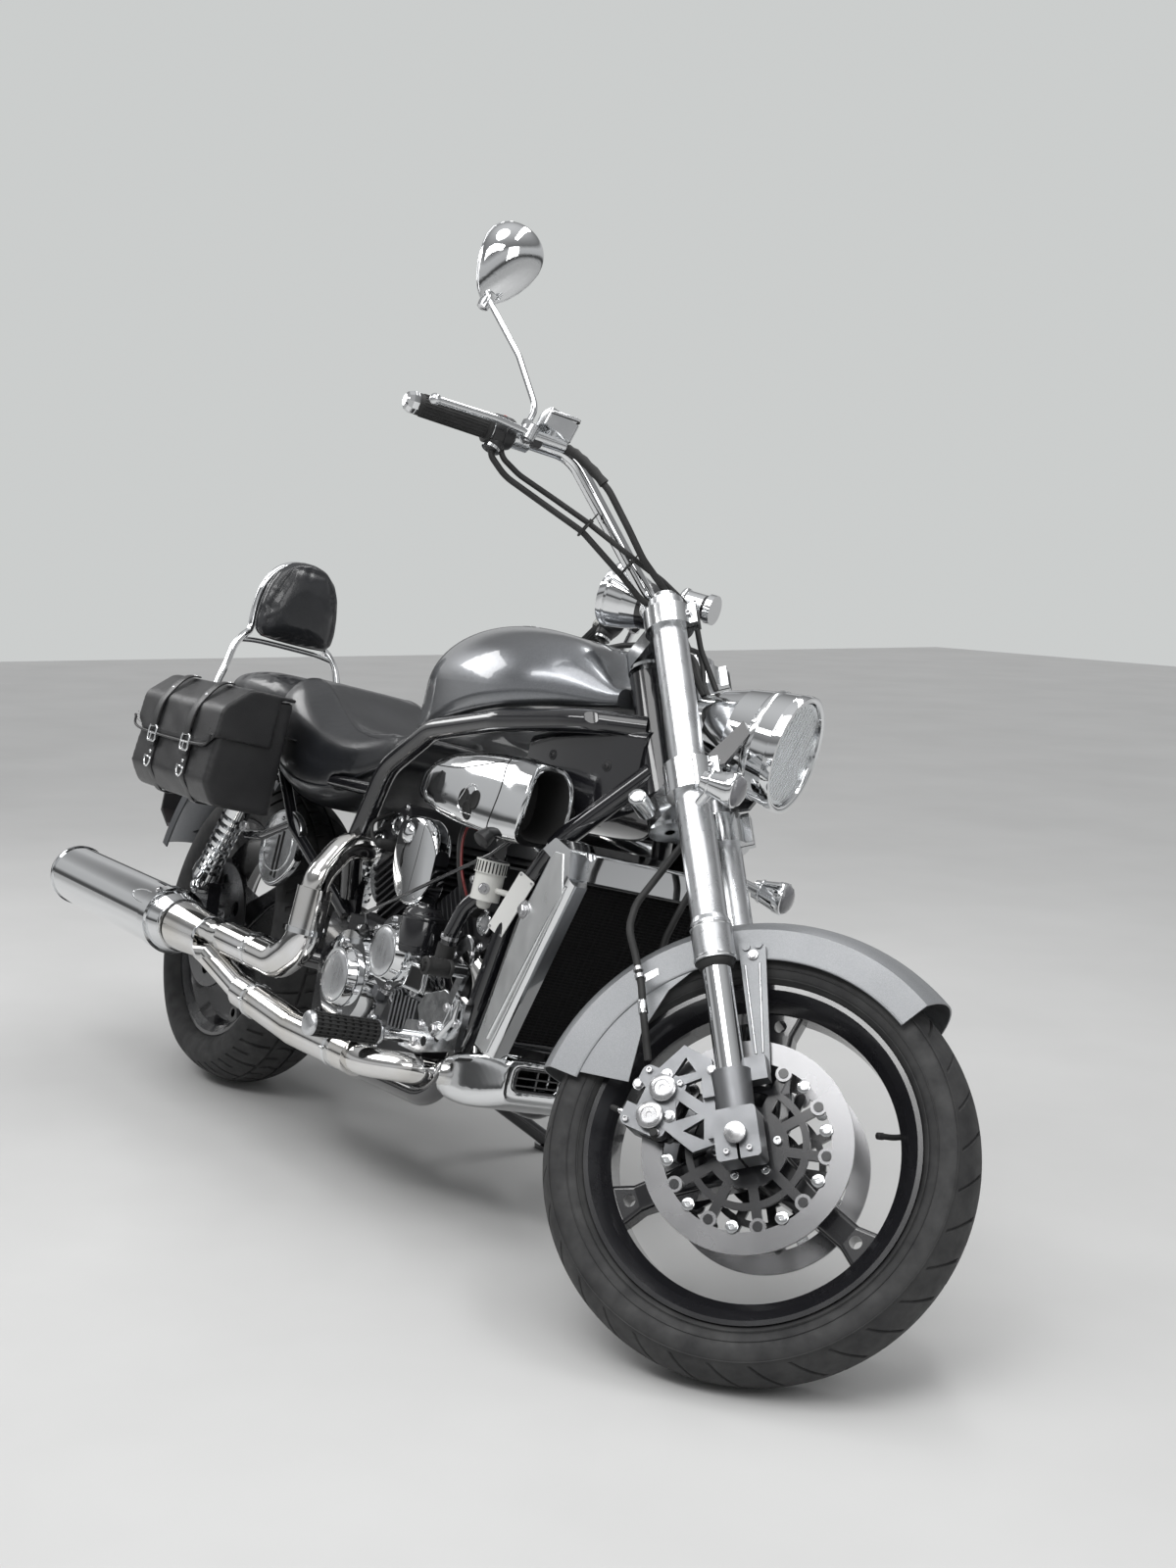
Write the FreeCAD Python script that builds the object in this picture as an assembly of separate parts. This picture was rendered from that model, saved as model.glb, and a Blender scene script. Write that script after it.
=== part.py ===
"""Cruiser motorcycle, leaning on its side stand with the steering at its left stop.

Units are millimetres. The machine is drawn upright: +X forward, +Y to its left, +Z up, with the
origin on the ground under the rear axle. Everything that steers is drawn in the fork's own frame:
origin at the front axle's centre, +X forward of the fork, +Z up along the legs. At the end each piece
is turned to the left stop if it steers, leaned onto the stand and lowered onto its tyres.
"""
import FreeCAD, Part
import math
import os

from FreeCAD import Placement, Rotation, Vector

# Driving dimensions of the whole machine
WHEELBASE = 1690.0
RAKE_DEG = 32.7
FORK_OFFSET = 62.0
LEAN_DEG = 14.0
STEER_STOP_DEG = 38.0
MIDDLE_X = 756.0
MIDDLE_Y = 140.0

# Wheels, tyres and brakes
FRONT_TYRE_R = 312.6
FRONT_TYRE_W = 120.0
FRONT_BEAD_R = 228.6
FRONT_RIM_HALF = 45.0
REAR_TYRE_R = 314.9
REAR_TYRE_W = 180.0
REAR_BEAD_R = 215.9
REAR_RIM_HALF = 64.0
FLANGE_H = 11.5
FLANGE_T = 5.0
RIM_WALL = 7.0
SPOKES = 3
FRONT_AXLE_R = 10.0
REAR_AXLE_R = 12.0
RUNNING_GAP = 0.05
SEAT_GAP = 0.3
MOVING_GAP = 5.2
DISC_R = 150.0
DISC_INNER_R = 119.0
DISC_T = 5.0
DISC_Y = 66.3
BOBBINS = 10
BOBBIN_CIRCLE_R = 113.0
BOBBIN_R = 7.0
REAR_DISC_R = 130.0
REAR_DISC_Y = -95.0
PULLEY_R = 112.0
PULLEY_Y0 = 98.0
PULLEY_Y1 = 122.0
FRONT_PULLEY_R = 46.0
FRONT_PULLEY_X = 640.0
FRONT_PULLEY_Z = 345.0
BELT_T = 6.0
BELT_GAP = 0.6
REAR_CALIPER_DEG = -35.0

# Fork and steering head, along the fork above the front axle
LEG_Y = 106.0
OUTER_R = 27.0
COLLAR_R = 30.0
STANCHION_R = 20.5
OUTER_LOW = 259.0
COLLAR_H = 58.0
OUTER_TOP = 866.0
LOWER_CLAMP_Z = 526.0
LOWER_CLAMP_H = 50.0
UPPER_CLAMP_Z = 811.0
UPPER_CLAMP_H = 35.0
HEAD_GAP = 9.0
HEAD_TUBE_R = 32.0
STEM_R = 14.0
STEM_BORE_R = 8.5
STEM_BORE_DEPTH = 60.0
FOOT_TOP = 95.0
BAR_R = 12.7
BAR_BEND = 60.0
BAR_MIDDLE_X = -30.0
BAR_MIDDLE_Z = 893.0
RISER_Y = 40.0
GRIP_R = 17.0
GRIP_L = 125.0
MIRROR_AT = (-142.0, 326.0, 1418.0)
MIRROR_W = 104.0
MIRROR_H = 142.0
MIRROR_DEPTH = 40.0
CABLE_R = 4.5
HOSE_R = 5.5
HOSE_BEND = 70.0

X_AXIS = Vector(1, 0, 0)
Y_AXIS = Vector(0, 1, 0)
Z_AXIS = Vector(0, 0, 1)
FULL_TURN = 360.0

FORK_FRAME = Placement(Vector(WHEELBASE, 0, FRONT_TYRE_R), Rotation(Y_AXIS, -RAKE_DEG))
TURN = Placement(Vector(0, 0, 0), Rotation(Z_AXIS, STEER_STOP_DEG), Vector(-FORK_OFFSET, 0, 0))

nodes = {}


def at(x, y, z):
    return Vector(x, y, z)


def rod(start, end, radius):
    """A round bar between two points."""
    return Part.makeCylinder(radius, (end - start).Length, start, end - start)


def taper(start, end, r_start, r_end):
    """A cone's frustum between two points."""
    return Part.makeCone(r_start, r_end, (end - start).Length, start, end - start)


def block(low, high):
    size = high - low
    return Part.makeBox(size.x, size.y, size.z, low)


def fused(shapes):
    """One solid out of pieces that touch or overlap."""
    shapes = list(shapes)
    whole = shapes[0].multiFuse(shapes[1:]) if len(shapes) > 1 else shapes[0]
    return whole.removeSplitter()


def gathered(shapes):
    """Solids that do not touch, kept together as one node."""
    solids = []
    for shape in shapes:
        solids.extend(shape.Solids)
    return Part.makeCompound(solids)


def biggest(shape):
    return max(shape.Solids, key=lambda solid: solid.Volume)


def mirrored(shape):
    """The same piece on the other side of the machine's middle plane."""
    return shape.mirror(at(0, 0, 0), Y_AXIS)


def both_sides(shape):
    return [shape, mirrored(shape)]


def closed_wire(points):
    return Part.makePolygon(points + points[:1])


def plate_y(outline, y0, y1):
    """A flat plate across the machine: its outline holds (x, z) corners."""
    face = Part.Face(closed_wire([at(x, y0, z) for x, z in outline]))
    return face.extrude(at(0, y1 - y0, 0))


def plate_z(outline, z0, z1):
    """A flat plate lying level: its outline holds (x, y) corners."""
    face = Part.Face(closed_wire([at(x, y, z0) for x, y in outline]))
    return face.extrude(at(0, 0, z1 - z0))


def turned(outline, angle=FULL_TURN, start=0.0):
    """A ring about the Y axis: its outline holds (radius, y) corners, and the angle opens from +Z
    towards +X."""
    face = Part.Face(closed_wire([at(0, y, r) for r, y in outline]))
    ring = face.revolve(at(0, 0, 0), Y_AXIS, angle)
    ring.rotate(at(0, 0, 0), Y_AXIS, start)
    return ring


def rounded_section(x, half, low, high, r_low, r_high, middle=0.0):
    """An upright outline across the machine at x, with rounded lower and upper corners."""
    left = middle - half
    right = middle + half
    k_low = r_low * (1 - math.sqrt(0.5))
    k_high = r_high * (1 - math.sqrt(0.5))

    def p(y, z):
        return at(x, y, z)

    edges = [
        Part.LineSegment(p(left + r_low, low), p(right - r_low, low)),
        Part.Arc(p(right - r_low, low), p(right - k_low, low + k_low), p(right, low + r_low)),
        Part.LineSegment(p(right, low + r_low), p(right, high - r_high)),
        Part.Arc(p(right, high - r_high), p(right - k_high, high - k_high), p(right - r_high, high)),
        Part.LineSegment(p(right - r_high, high), p(left + r_high, high)),
        Part.Arc(p(left + r_high, high), p(left + k_high, high - k_high), p(left, high - r_high)),
        Part.LineSegment(p(left, high - r_high), p(left, low + r_low)),
        Part.Arc(p(left, low + r_low), p(left + k_low, low + k_low), p(left + r_low, low)),
    ]
    return Part.Wire([edge.toShape() for edge in edges])


def lofted(sections):
    """A body through sections given as (x, half width, low z, high z, lower radius, upper radius)."""
    return Part.makeLoft([rounded_section(*row) for row in sections], True, False)


def bent_path(points, bend):
    """Straight runs joined by tangent arcs of one radius, less where a run is short."""
    edges = []
    start = points[0]
    for before, corner, after in zip(points, points[1:], points[2:]):
        back = (before - corner).normalize()
        ahead = (after - corner).normalize()
        turn = math.pi - back.getAngle(ahead)
        room = 0.45 * min((before - corner).Length, (after - corner).Length)
        radius = min(bend, room / math.tan(turn / 2))
        cut = radius * math.tan(turn / 2)
        to_centre = (back + ahead).normalize() * (radius / math.cos(turn / 2))
        middle = corner + to_centre * (1 - radius / to_centre.Length)
        arc_start = corner + back * cut
        arc_end = corner + ahead * cut
        edges.append(Part.LineSegment(start, arc_start).toShape())
        edges.append(Part.Arc(arc_start, middle, arc_end).toShape())
        start = arc_end
    edges.append(Part.LineSegment(start, points[-1]).toShape())
    return Part.Wire(edges)


def pipe(points, radius, bend):
    """A round bar or tube's outside bent along a route."""
    route = [at(*p) for p in points]
    path = bent_path(route, bend)
    ring = Part.Wire(Part.makeCircle(radius, route[0], route[1] - route[0]))
    return path.makePipeShell([ring], True, False)


def to_fork(shape):
    """Moves a piece drawn in the upright frame into the fork's frame."""
    moved = shape.copy()
    moved.Placement = FORK_FRAME.inverse().multiply(moved.Placement)
    return moved


def axis_point(along):
    """A point of the steering axis in the upright frame."""
    return FORK_FRAME.multVec(at(-FORK_OFFSET, 0, along))


def tyre_sizes(radius, width):
    """The tread's edge and its crown radius: (edge y, edge radius, crown radius)."""
    tuck = 0.05 * width / 2
    drop = 0.19 * width
    edge = width / 2 - tuck
    crown = (edge ** 2 + drop ** 2) / (2 * drop)
    return edge, radius - drop, crown


def wheel_low_point(centre, axle_dir, radius, width):
    """The lowest height of a leaning tyre's crown."""
    crown = tyre_sizes(radius, width)[2]
    return centre.z - ((radius - crown) * math.sqrt(1 - axle_dir.z ** 2) + crown)


def resting_placement():
    """Leans the machine to its stand and lowers it until both tyres meet the ground."""
    lean = Placement(Vector(0, 0, 0), Rotation(X_AXIS, -LEAN_DEG))
    pitch = 0.0
    lift = 0.0
    for _ in range(12):
        nod = Placement(Vector(0, 0, 0), Rotation(Y_AXIS, pitch))
        placed = Placement(at(-MIDDLE_X, -MIDDLE_Y, lift), Rotation()).multiply(lean).multiply(nod)
        rear = wheel_low_point(placed.multVec(at(0, 0, REAR_TYRE_R)),
                               placed.Rotation.multVec(Y_AXIS), REAR_TYRE_R, REAR_TYRE_W)
        steered = placed.multiply(FORK_FRAME).multiply(TURN)
        front = wheel_low_point(steered.multVec(at(0, 0, 0)),
                                steered.Rotation.multVec(Y_AXIS), FRONT_TYRE_R, FRONT_TYRE_W)
        lift -= rear
        pitch += math.degrees(math.atan((front - rear) / WHEELBASE))
    return placed


AT_REST = resting_placement()
STEERED = AT_REST.multiply(FORK_FRAME).multiply(TURN)


def keep(name, shape, placement):
    """Stores a node in the leaning, steered rest position."""
    placed = shape.copy()
    placed.Placement = placement.multiply(placed.Placement)
    nodes[name] = placed


# Wheels

def tyre(radius, width, bead_r, rim_half):
    """A tyre with round crown, full shoulders and beads between the rim's flanges."""
    edge, edge_r, _ = tyre_sizes(radius, width)
    bead = rim_half - SEAT_GAP
    flange_r = bead_r + FLANGE_H
    side_r = bead_r + 0.52 * (radius - bead_r)

    def p(y, r):
        return at(0, y, r)

    edges = [
        Part.LineSegment(p(-bead, bead_r), p(-bead, flange_r)),
        Part.Arc(p(-bead, flange_r), p(-width / 2, side_r), p(-edge, edge_r)),
        Part.Arc(p(-edge, edge_r), p(0, radius), p(edge, edge_r)),
        Part.Arc(p(edge, edge_r), p(width / 2, side_r), p(bead, flange_r)),
        Part.LineSegment(p(bead, flange_r), p(bead, bead_r)),
        Part.LineSegment(p(bead, bead_r), p(-bead, bead_r)),
    ]
    face = Part.Face(Part.Wire([e.toShape() for e in edges]))
    return face.revolve(at(0, 0, 0), Y_AXIS, FULL_TURN)


def rounded_slab(r, half_w, half_t, corner):
    """A spoke's cross-section at a radius up the Z axis: width along X, thickness along Y."""
    wire = rounded_section(0, half_w, -half_t, half_t, corner, corner)
    wire.rotate(at(0, 0, 0), Y_AXIS, -90)
    wire.rotate(at(0, 0, 0), Z_AXIS, 90)
    wire.translate(at(0, 0, r))
    return wire


def spoke(hub_r, end_r, hub_w, end_w, hub_t, end_t):
    """One cast spoke: broad at the hub, waisted, and flared where it joins the rim."""
    middle = (hub_r + end_r) / 2
    rows = [
        (hub_r, hub_w / 2, hub_t / 2),
        (middle, end_w / 2, (hub_t + end_t) / 4),
        (end_r - 34, end_w / 2, end_t / 2),
        (end_r, end_w * 0.78, end_t / 2),
    ]
    body = Part.makeLoft([rounded_slab(r, w, t, 7.0) for r, w, t in rows], True, True)
    hole = rod(at(0, -end_t, end_r - 22), at(0, end_t, end_r - 22), 9.0)
    return body.cut(hole)


def rim(bead_r, rim_half, hub_half, hub_r, bore_r, flange_hub_r, turn_deg):
    """A cast wheel: barrel with flanges, three spokes and a bored hub."""
    out = rim_half + FLANGE_T
    top = bead_r + FLANGE_H
    dip = bead_r - 22.0
    barrel = turned([
        (top, -out), (top, -rim_half), (bead_r, -rim_half), (bead_r, rim_half), (top, rim_half),
        (top, out), (top - RIM_WALL, out), (bead_r - RIM_WALL - 3, rim_half - 8), (dip, rim_half / 2),
        (dip, -rim_half / 2), (bead_r - RIM_WALL - 3, -rim_half + 8), (top - RIM_WALL, -out)])
    hub = rod(at(0, -hub_half, 0), at(0, hub_half, 0), hub_r)
    flanges = [rod(at(0, s * hub_half, 0), at(0, s * (hub_half - 8), 0), flange_hub_r) for s in (-1, 1)]
    spokes = []
    for i in range(SPOKES):
        arm = spoke(hub_r - 6, dip + 4, 62, 40, hub_half * 1.25, rim_half * 0.85)
        arm.rotate(at(0, 0, 0), Y_AXIS, turn_deg + i * FULL_TURN / SPOKES)
        spokes.append(arm)
    wheel = fused([barrel, hub] + flanges + spokes)
    return wheel.cut(rod(at(0, -hub_half - 1, 0), at(0, hub_half + 1, 0), bore_r))


def brake_rotor(radius, inner_r, y, ears):
    """A disc ring with inward ears for its bobbins."""
    ring = rod(at(0, y - DISC_T / 2, 0), at(0, y + DISC_T / 2, 0), radius)
    ring = ring.cut(rod(at(0, y - DISC_T, 0), at(0, y + DISC_T, 0), inner_r))
    lugs = []
    holes = []
    for i in range(ears):
        a = math.radians(i * FULL_TURN / ears)
        c = at(BOBBIN_CIRCLE_R * math.sin(a), y, BOBBIN_CIRCLE_R * math.cos(a))
        half = at(0, DISC_T / 2, 0)
        lugs.append(rod(c - half, c + half, BOBBIN_R + 4.5))
        holes.append(rod(c - half * 2, c + half * 2, BOBBIN_R + SEAT_GAP / 2))
    return fused([ring] + lugs).cut(Part.makeCompound(holes))


def disc_carrier(y_hub, y_disc, bore_r, ears):
    """The black spider between hub and rotor, with its bobbins."""
    side = math.copysign(1, y_disc)
    y0 = y_hub
    y1 = y_disc - side * (DISC_T / 2 + SEAT_GAP)
    ring = rod(at(0, y0, 0), at(0, y1, 0), 58.0)
    pieces = [ring]
    for i in range(ears):
        angle = i * FULL_TURN / ears
        low = at(-7, min(y0, y1), 50)
        high = at(7, max(y0, y1), BOBBIN_CIRCLE_R)
        arm = block(low, high)
        arm.rotate(at(0, 0, 0), Y_AXIS, angle)
        a = math.radians(angle)
        c = at(BOBBIN_CIRCLE_R * math.sin(a), 0, BOBBIN_CIRCLE_R * math.cos(a))
        pin = rod(c + at(0, y0, 0), c + at(0, y_disc + side * (DISC_T / 2 + 1.5), 0), BOBBIN_R)
        pieces += [arm, pin]
    web = rod(at(0, y0, 0), at(0, y1, 0), 88.0).cut(rod(at(0, -200, 0), at(0, 200, 0), 78.0))
    whole = fused(pieces + [web])
    return whole.cut(rod(at(0, -200, 0), at(0, 200, 0), bore_r))


FRONT_HUB_HALF = 57.0
FRONT_WHEEL_TURN = 20.0
REAR_HUB_HALF = 88.0


def build_front_wheel():
    wheel = rim(FRONT_BEAD_R, FRONT_RIM_HALF, FRONT_HUB_HALF, 36.0, FRONT_AXLE_R + RUNNING_GAP, 52.0,
                FRONT_WHEEL_TURN)
    keep("front_rim", wheel, STEERED)
    keep("front_tyre", tyre(FRONT_TYRE_R, FRONT_TYRE_W, FRONT_BEAD_R, FRONT_RIM_HALF), STEERED)
    rotor = brake_rotor(DISC_R, DISC_INNER_R, DISC_Y, BOBBINS)
    carrier = disc_carrier(FRONT_HUB_HALF, DISC_Y, 20.0, BOBBINS)
    keep("front_discs", gathered(both_sides(rotor)), STEERED)
    keep("front_disc_carriers", gathered(both_sides(carrier)), STEERED)


def rear_axle_at():
    return Placement(at(0, 0, REAR_TYRE_R), Rotation())


def build_rear_wheel():
    place = AT_REST.multiply(rear_axle_at())
    wheel = rim(REAR_BEAD_R, REAR_RIM_HALF, REAR_HUB_HALF, 42.0, REAR_AXLE_R + RUNNING_GAP, 60.0, 50.0)
    keep("rear_rim", wheel, place)
    keep("rear_tyre", tyre(REAR_TYRE_R, REAR_TYRE_W, REAR_BEAD_R, REAR_RIM_HALF), place)
    rotor = rod(at(0, REAR_DISC_Y - DISC_T / 2, 0), at(0, REAR_DISC_Y + DISC_T / 2, 0), REAR_DISC_R)
    hat = rod(at(0, -REAR_HUB_HALF, 0), at(0, REAR_DISC_Y - DISC_T / 2, 0), 62.0)
    bore = rod(at(0, -200, 0), at(0, 200, 0), 30.0)
    slots = []
    for i in range(6):
        slot = rod(at(0, -200, 90), at(0, 200, 90), 16.0)
        slot.rotate(at(0, 0, 0), Y_AXIS, i * 60)
        slots.append(slot)
    keep("rear_disc", fused([rotor, hat]).cut(Part.makeCompound(slots + [bore])), place)
    pulley = rod(at(0, PULLEY_Y0, 0), at(0, PULLEY_Y1, 0), PULLEY_R)
    guard = rod(at(0, PULLEY_Y1, 0), at(0, PULLEY_Y1 + 2, 0), PULLEY_R + 4)
    boss = rod(at(0, REAR_HUB_HALF, 0), at(0, PULLEY_Y0, 0), 50.0)
    windows = []
    for i in range(6):
        window = rod(at(0, 90, 74), at(0, 200, 74), 19.0)
        window.rotate(at(0, 0, 0), Y_AXIS, i * 60)
        windows.append(window)
    keep("rear_pulley", fused([pulley, guard, boss]).cut(Part.makeCompound(windows + [bore])), place)


# Fork, steering and hand controls, in the fork's frame

FOOT_HALF_X = 31.0
FOOT_HALF_Y = 25.0
CALIPER_AT_DEG = -56.0


def fork_leg_pieces():
    """Outer tube, chrome stanchion and cast foot of the left leg."""
    leg = at(0, LEG_Y, 0)
    up = Z_AXIS
    outer = rod(leg + up * OUTER_LOW, leg + up * OUTER_TOP, OUTER_R)
    collar = rod(leg + up * OUTER_LOW, leg + up * (OUTER_LOW + COLLAR_H), COLLAR_R)
    step = taper(leg + up * (OUTER_LOW + COLLAR_H), leg + up * (OUTER_LOW + COLLAR_H + 8), COLLAR_R, OUTER_R)
    cap = rod(leg + up * OUTER_TOP, leg + up * (OUTER_TOP + 8), 19.0)
    hollow = rod(leg + up * OUTER_LOW, leg + up * (OUTER_LOW + 180), STANCHION_R + SEAT_GAP)
    outer = fused([outer, collar, step, cap]).cut(hollow)
    stanchion = rod(leg + up * FOOT_TOP, leg + up * (OUTER_LOW + 178), STANCHION_R)
    body = taper(leg + up * 30, leg + up * FOOT_TOP, 25.0, 28.0)
    clamp = block(leg + at(-FOOT_HALF_X, -FOOT_HALF_Y, -34), leg + at(FOOT_HALF_X, FOOT_HALF_Y, 38))
    clamp = clamp.makeFillet(6.0, [e for e in clamp.Edges if abs(e.tangentAt(0).y) > 0.9])
    slot = block(leg + at(-2, -40, -40), leg + at(2, 40, 0))
    lug = block(at(18, STAY_Y + STAY_T, 78), at(50, LEG_Y, 112))
    rear_lug = block(leg + at(-44, -20, 8), leg + at(-20, 0, 40))
    top_lug = block(leg + at(-44, -20, 66), leg + at(-20, 0, 90))
    bore = rod(leg + at(0, -60, 0), leg + at(0, 60, 0), FRONT_AXLE_R)
    foot = fused([body, clamp, lug, rear_lug, top_lug]).cut(slot).cut(bore)
    foot = foot.cut(stanchion)
    return outer, stanchion, foot


def clamp_plate(z0, height, ring_r, web):
    """A triple clamp: two pinch rings, a boss at the stem and the web that ties them."""
    z1 = z0 + height
    rings = [rod(at(0, s * LEG_Y, z0), at(0, s * LEG_Y, z1), ring_r) for s in (-1, 1)]
    boss = rod(at(-FORK_OFFSET, 0, z0), at(-FORK_OFFSET, 0, z1), 33.0)
    bridge = plate_z(web, z0 + 3, z1 - 3)
    ears = []
    for s in (-1, 1):
        ear = block(at(24, s * LEG_Y - 13, z0), at(48, s * LEG_Y + 13, z1))
        ears.append(ear)
    body = fused(rings + [boss, bridge] + ears)
    slots = [block(at(20, s * LEG_Y - 1.5, z0 - 1), at(60, s * LEG_Y + 1.5, z1 + 1)) for s in (-1, 1)]
    legs = [rod(at(0, s * LEG_Y, z0 - 1), at(0, s * LEG_Y, z1 + 1), OUTER_R) for s in (-1, 1)]
    return body.cut(Part.makeCompound(slots)).cut(Part.makeCompound(legs))


def build_fork():
    outer, stanchion, foot = fork_leg_pieces()
    keep("fork_outer_tubes", gathered(both_sides(outer)), STEERED)
    keep("fork_stanchions", gathered(both_sides(stanchion)), STEERED)
    keep("fork_feet", gathered(both_sides(foot)), STEERED)
    web = [(-20, -LEG_Y), (20, -LEG_Y), (-8, -50), (-8, 50), (20, LEG_Y), (-20, LEG_Y), (-86, 26), (-86, -26)]
    lower = clamp_plate(LOWER_CLAMP_Z, LOWER_CLAMP_H, 39.0, web)
    stem = rod(at(-FORK_OFFSET, 0, LOWER_CLAMP_Z), at(-FORK_OFFSET, 0, UPPER_CLAMP_Z), STEM_R)
    bore = rod(at(-FORK_OFFSET, 0, LOWER_CLAMP_Z - 1),
               at(-FORK_OFFSET, 0, LOWER_CLAMP_Z + STEM_BORE_DEPTH), STEM_BORE_R)
    keep("lower_clamp", fused([lower, stem]).cut(bore), STEERED)
    upper = clamp_plate(UPPER_CLAMP_Z, UPPER_CLAMP_H, 38.0, web)
    nut = rod(at(-FORK_OFFSET, 0, UPPER_CLAMP_Z + UPPER_CLAMP_H),
              at(-FORK_OFFSET, 0, UPPER_CLAMP_Z + UPPER_CLAMP_H + 12), 20.0)
    bar = handlebar_shape()
    keep("handlebar", bar, STEERED)
    upper = fused([upper, nut] + riser_pieces()).cut(bar)
    keep("upper_clamp", upper, STEERED)
    axle = rod(at(0, -LEG_Y - 27, 0), at(0, LEG_Y + 27, 0), FRONT_AXLE_R)
    y_in = FRONT_HUB_HALF + 0.5
    y_out = LEG_Y - FOOT_HALF_Y
    spacers = [rod(at(0, s * y_in, 0), at(0, s * y_out, 0), 15.0) for s in (-1, 1)]
    heads = [rod(at(0, s * (LEG_Y + 27), 0), at(0, s * (LEG_Y + 33), 0), 13.0) for s in (-1, 1)]
    keep("front_axle", fused([axle] + spacers + heads), STEERED)
    return foot, outer, upper


def caliper(foot):
    """A floating two-piston caliper astride the disc, on a bracket with triangular windows."""
    y0 = DISC_Y - 31
    y1 = DISC_Y + 29
    body = block(at(-46, y0, 106), at(46, y1, 176))
    body = body.makeFillet(12.0, [e for e in body.Edges if abs(e.tangentAt(0).y) > 0.9])
    bosses = [rod(at(x, y1, 134), at(x, y1 + 9, 134), 18.0) for x in (-21, 21)]
    notch = block(at(-14, y0 - 1, 160), at(14, y1 + 1, 180))
    body = fused([body] + bosses).cut(notch)
    body.rotate(at(0, 0, 0), Y_AXIS, CALIPER_AT_DEG)
    gap = rod(at(0, DISC_Y - 7.5, 0), at(0, DISC_Y + 7.5, 0), DISC_R + 6)
    carrier_room = rod(at(0, 0, 0), at(0, DISC_Y + 9.5, 0), BOBBIN_CIRCLE_R + BOBBIN_R + 6)
    body = body.cut(gap).cut(carrier_room)
    outline = [(-33, 2), (-26, 122), (-62, 150), (-112, 118), (-112, 42), (-70, -4)]
    bracket = plate_y(outline, LEG_Y - 20, LEG_Y - 9)
    windows = [
        [(-50, 108), (-86, 106), (-62, 132)],
        [(-44, 98), (-78, 92), (-46, 62)],
        [(-56, 48), (-84, 76), (-88, 44)],
        [(-48, 40), (-80, 28), (-52, 10)],
    ]
    for window in windows:
        bracket = bracket.cut(plate_y(window, LEG_Y - 30, LEG_Y + 5))
    return fused([body, bracket]).cut(foot)


def build_calipers(foot):
    keep("front_calipers", gathered(both_sides(caliper(foot))), STEERED)


FENDER_R = 346.0
FENDER_HALF = 71.0
FENDER_T = 2.5
FENDER_EDGE_R = 272.0
FENDER_REAR_DEG = -58.0
FENDER_FRONT_DEG = 62.0
STAY_Y = 74.0
STAY_T = 4.0


def fender_band(radius, half, edge_r, shoulder, wall, rear_deg, front_deg):
    """A U-shaped band about the axle: crowned top, upright sides down to the edge radius."""
    r_side = radius - shoulder

    def p(y, r):
        return at(0, y, r)

    edges = [
        Part.LineSegment(p(-half, edge_r), p(-half, r_side)),
        Part.Arc(p(-half, r_side), p(0, radius), p(half, r_side)),
        Part.LineSegment(p(half, r_side), p(half, edge_r)),
        Part.LineSegment(p(half, edge_r), p(half - wall, edge_r)),
        Part.LineSegment(p(half - wall, edge_r), p(half - wall, r_side - wall / 2)),
        Part.Arc(p(half - wall, r_side - wall / 2), p(0, radius - wall), p(wall - half, r_side - wall / 2)),
        Part.LineSegment(p(wall - half, r_side - wall / 2), p(wall - half, edge_r)),
        Part.LineSegment(p(wall - half, edge_r), p(-half, edge_r)),
    ]
    face = Part.Face(Part.Wire([e.toShape() for e in edges]))
    band = face.revolve(at(0, 0, 0), Y_AXIS, front_deg - rear_deg)
    band.rotate(at(0, 0, 0), Y_AXIS, rear_deg)
    return band


def build_front_fender():
    band = fender_band(FENDER_R, FENDER_HALF, FENDER_EDGE_R, 30.0, FENDER_T, FENDER_REAR_DEG,
                       FENDER_FRONT_DEG)
    skirt = plate_y([(-262, 166), (-155, 122), (-128, 190), (-80, 246), (-10, 285), (-10, 310),
                     (-200, 320), (-320, 200)], FENDER_HALF - FENDER_T, FENDER_HALF)
    skirt = skirt.common(rod(at(0, 0, 0), at(0, 100, 0), FENDER_EDGE_R + 4))
    stay = plate_y([(31, 292), (70, 280), (50, 94), (28, 94)], STAY_Y, STAY_Y + STAY_T)
    bosses = [rod(at(x, FENDER_HALF - FENDER_T, 284), at(x, STAY_Y + 7, 284), 6.0) for x in (42, 60)]
    pieces = [band]
    for half in [skirt, stay] + bosses:
        pieces += both_sides(half)
    keep("front_fender", fused(pieces), STEERED)


def handlebar_route():
    """Half of the handlebar, from its middle to the left end."""
    return [(BAR_MIDDLE_X, 0, BAR_MIDDLE_Z), (BAR_MIDDLE_X, 62, BAR_MIDDLE_Z), (-96, 215, 1103),
            (-285, 415, 1125)]


def along_end_run(distance):
    """A point of the left grip's straight run, measured back from the bar's end."""
    route = handlebar_route()
    inner = at(*route[-2])
    outer = at(*route[-1])
    return outer + (inner - outer).normalize() * distance


def handlebar_shape():
    half = handlebar_route()
    other = [(x, -y, z) for x, y, z in reversed(half[1:])]
    return pipe(other + half[1:], BAR_R, BAR_BEND)


def riser_pieces():
    """The two posts with round clamps that hold the bar."""
    base = UPPER_CLAMP_Z + UPPER_CLAMP_H
    pieces = []
    for s in (-1, 1):
        y = s * RISER_Y
        pieces.append(taper(at(-38, y, base - 3), at(BAR_MIDDLE_X, y, 884), 17.0, 16.0))
        pieces.append(rod(at(BAR_MIDDLE_X, y - 15, BAR_MIDDLE_Z), at(BAR_MIDDLE_X, y + 15, BAR_MIDDLE_Z), 23.0))
    return pieces


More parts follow.
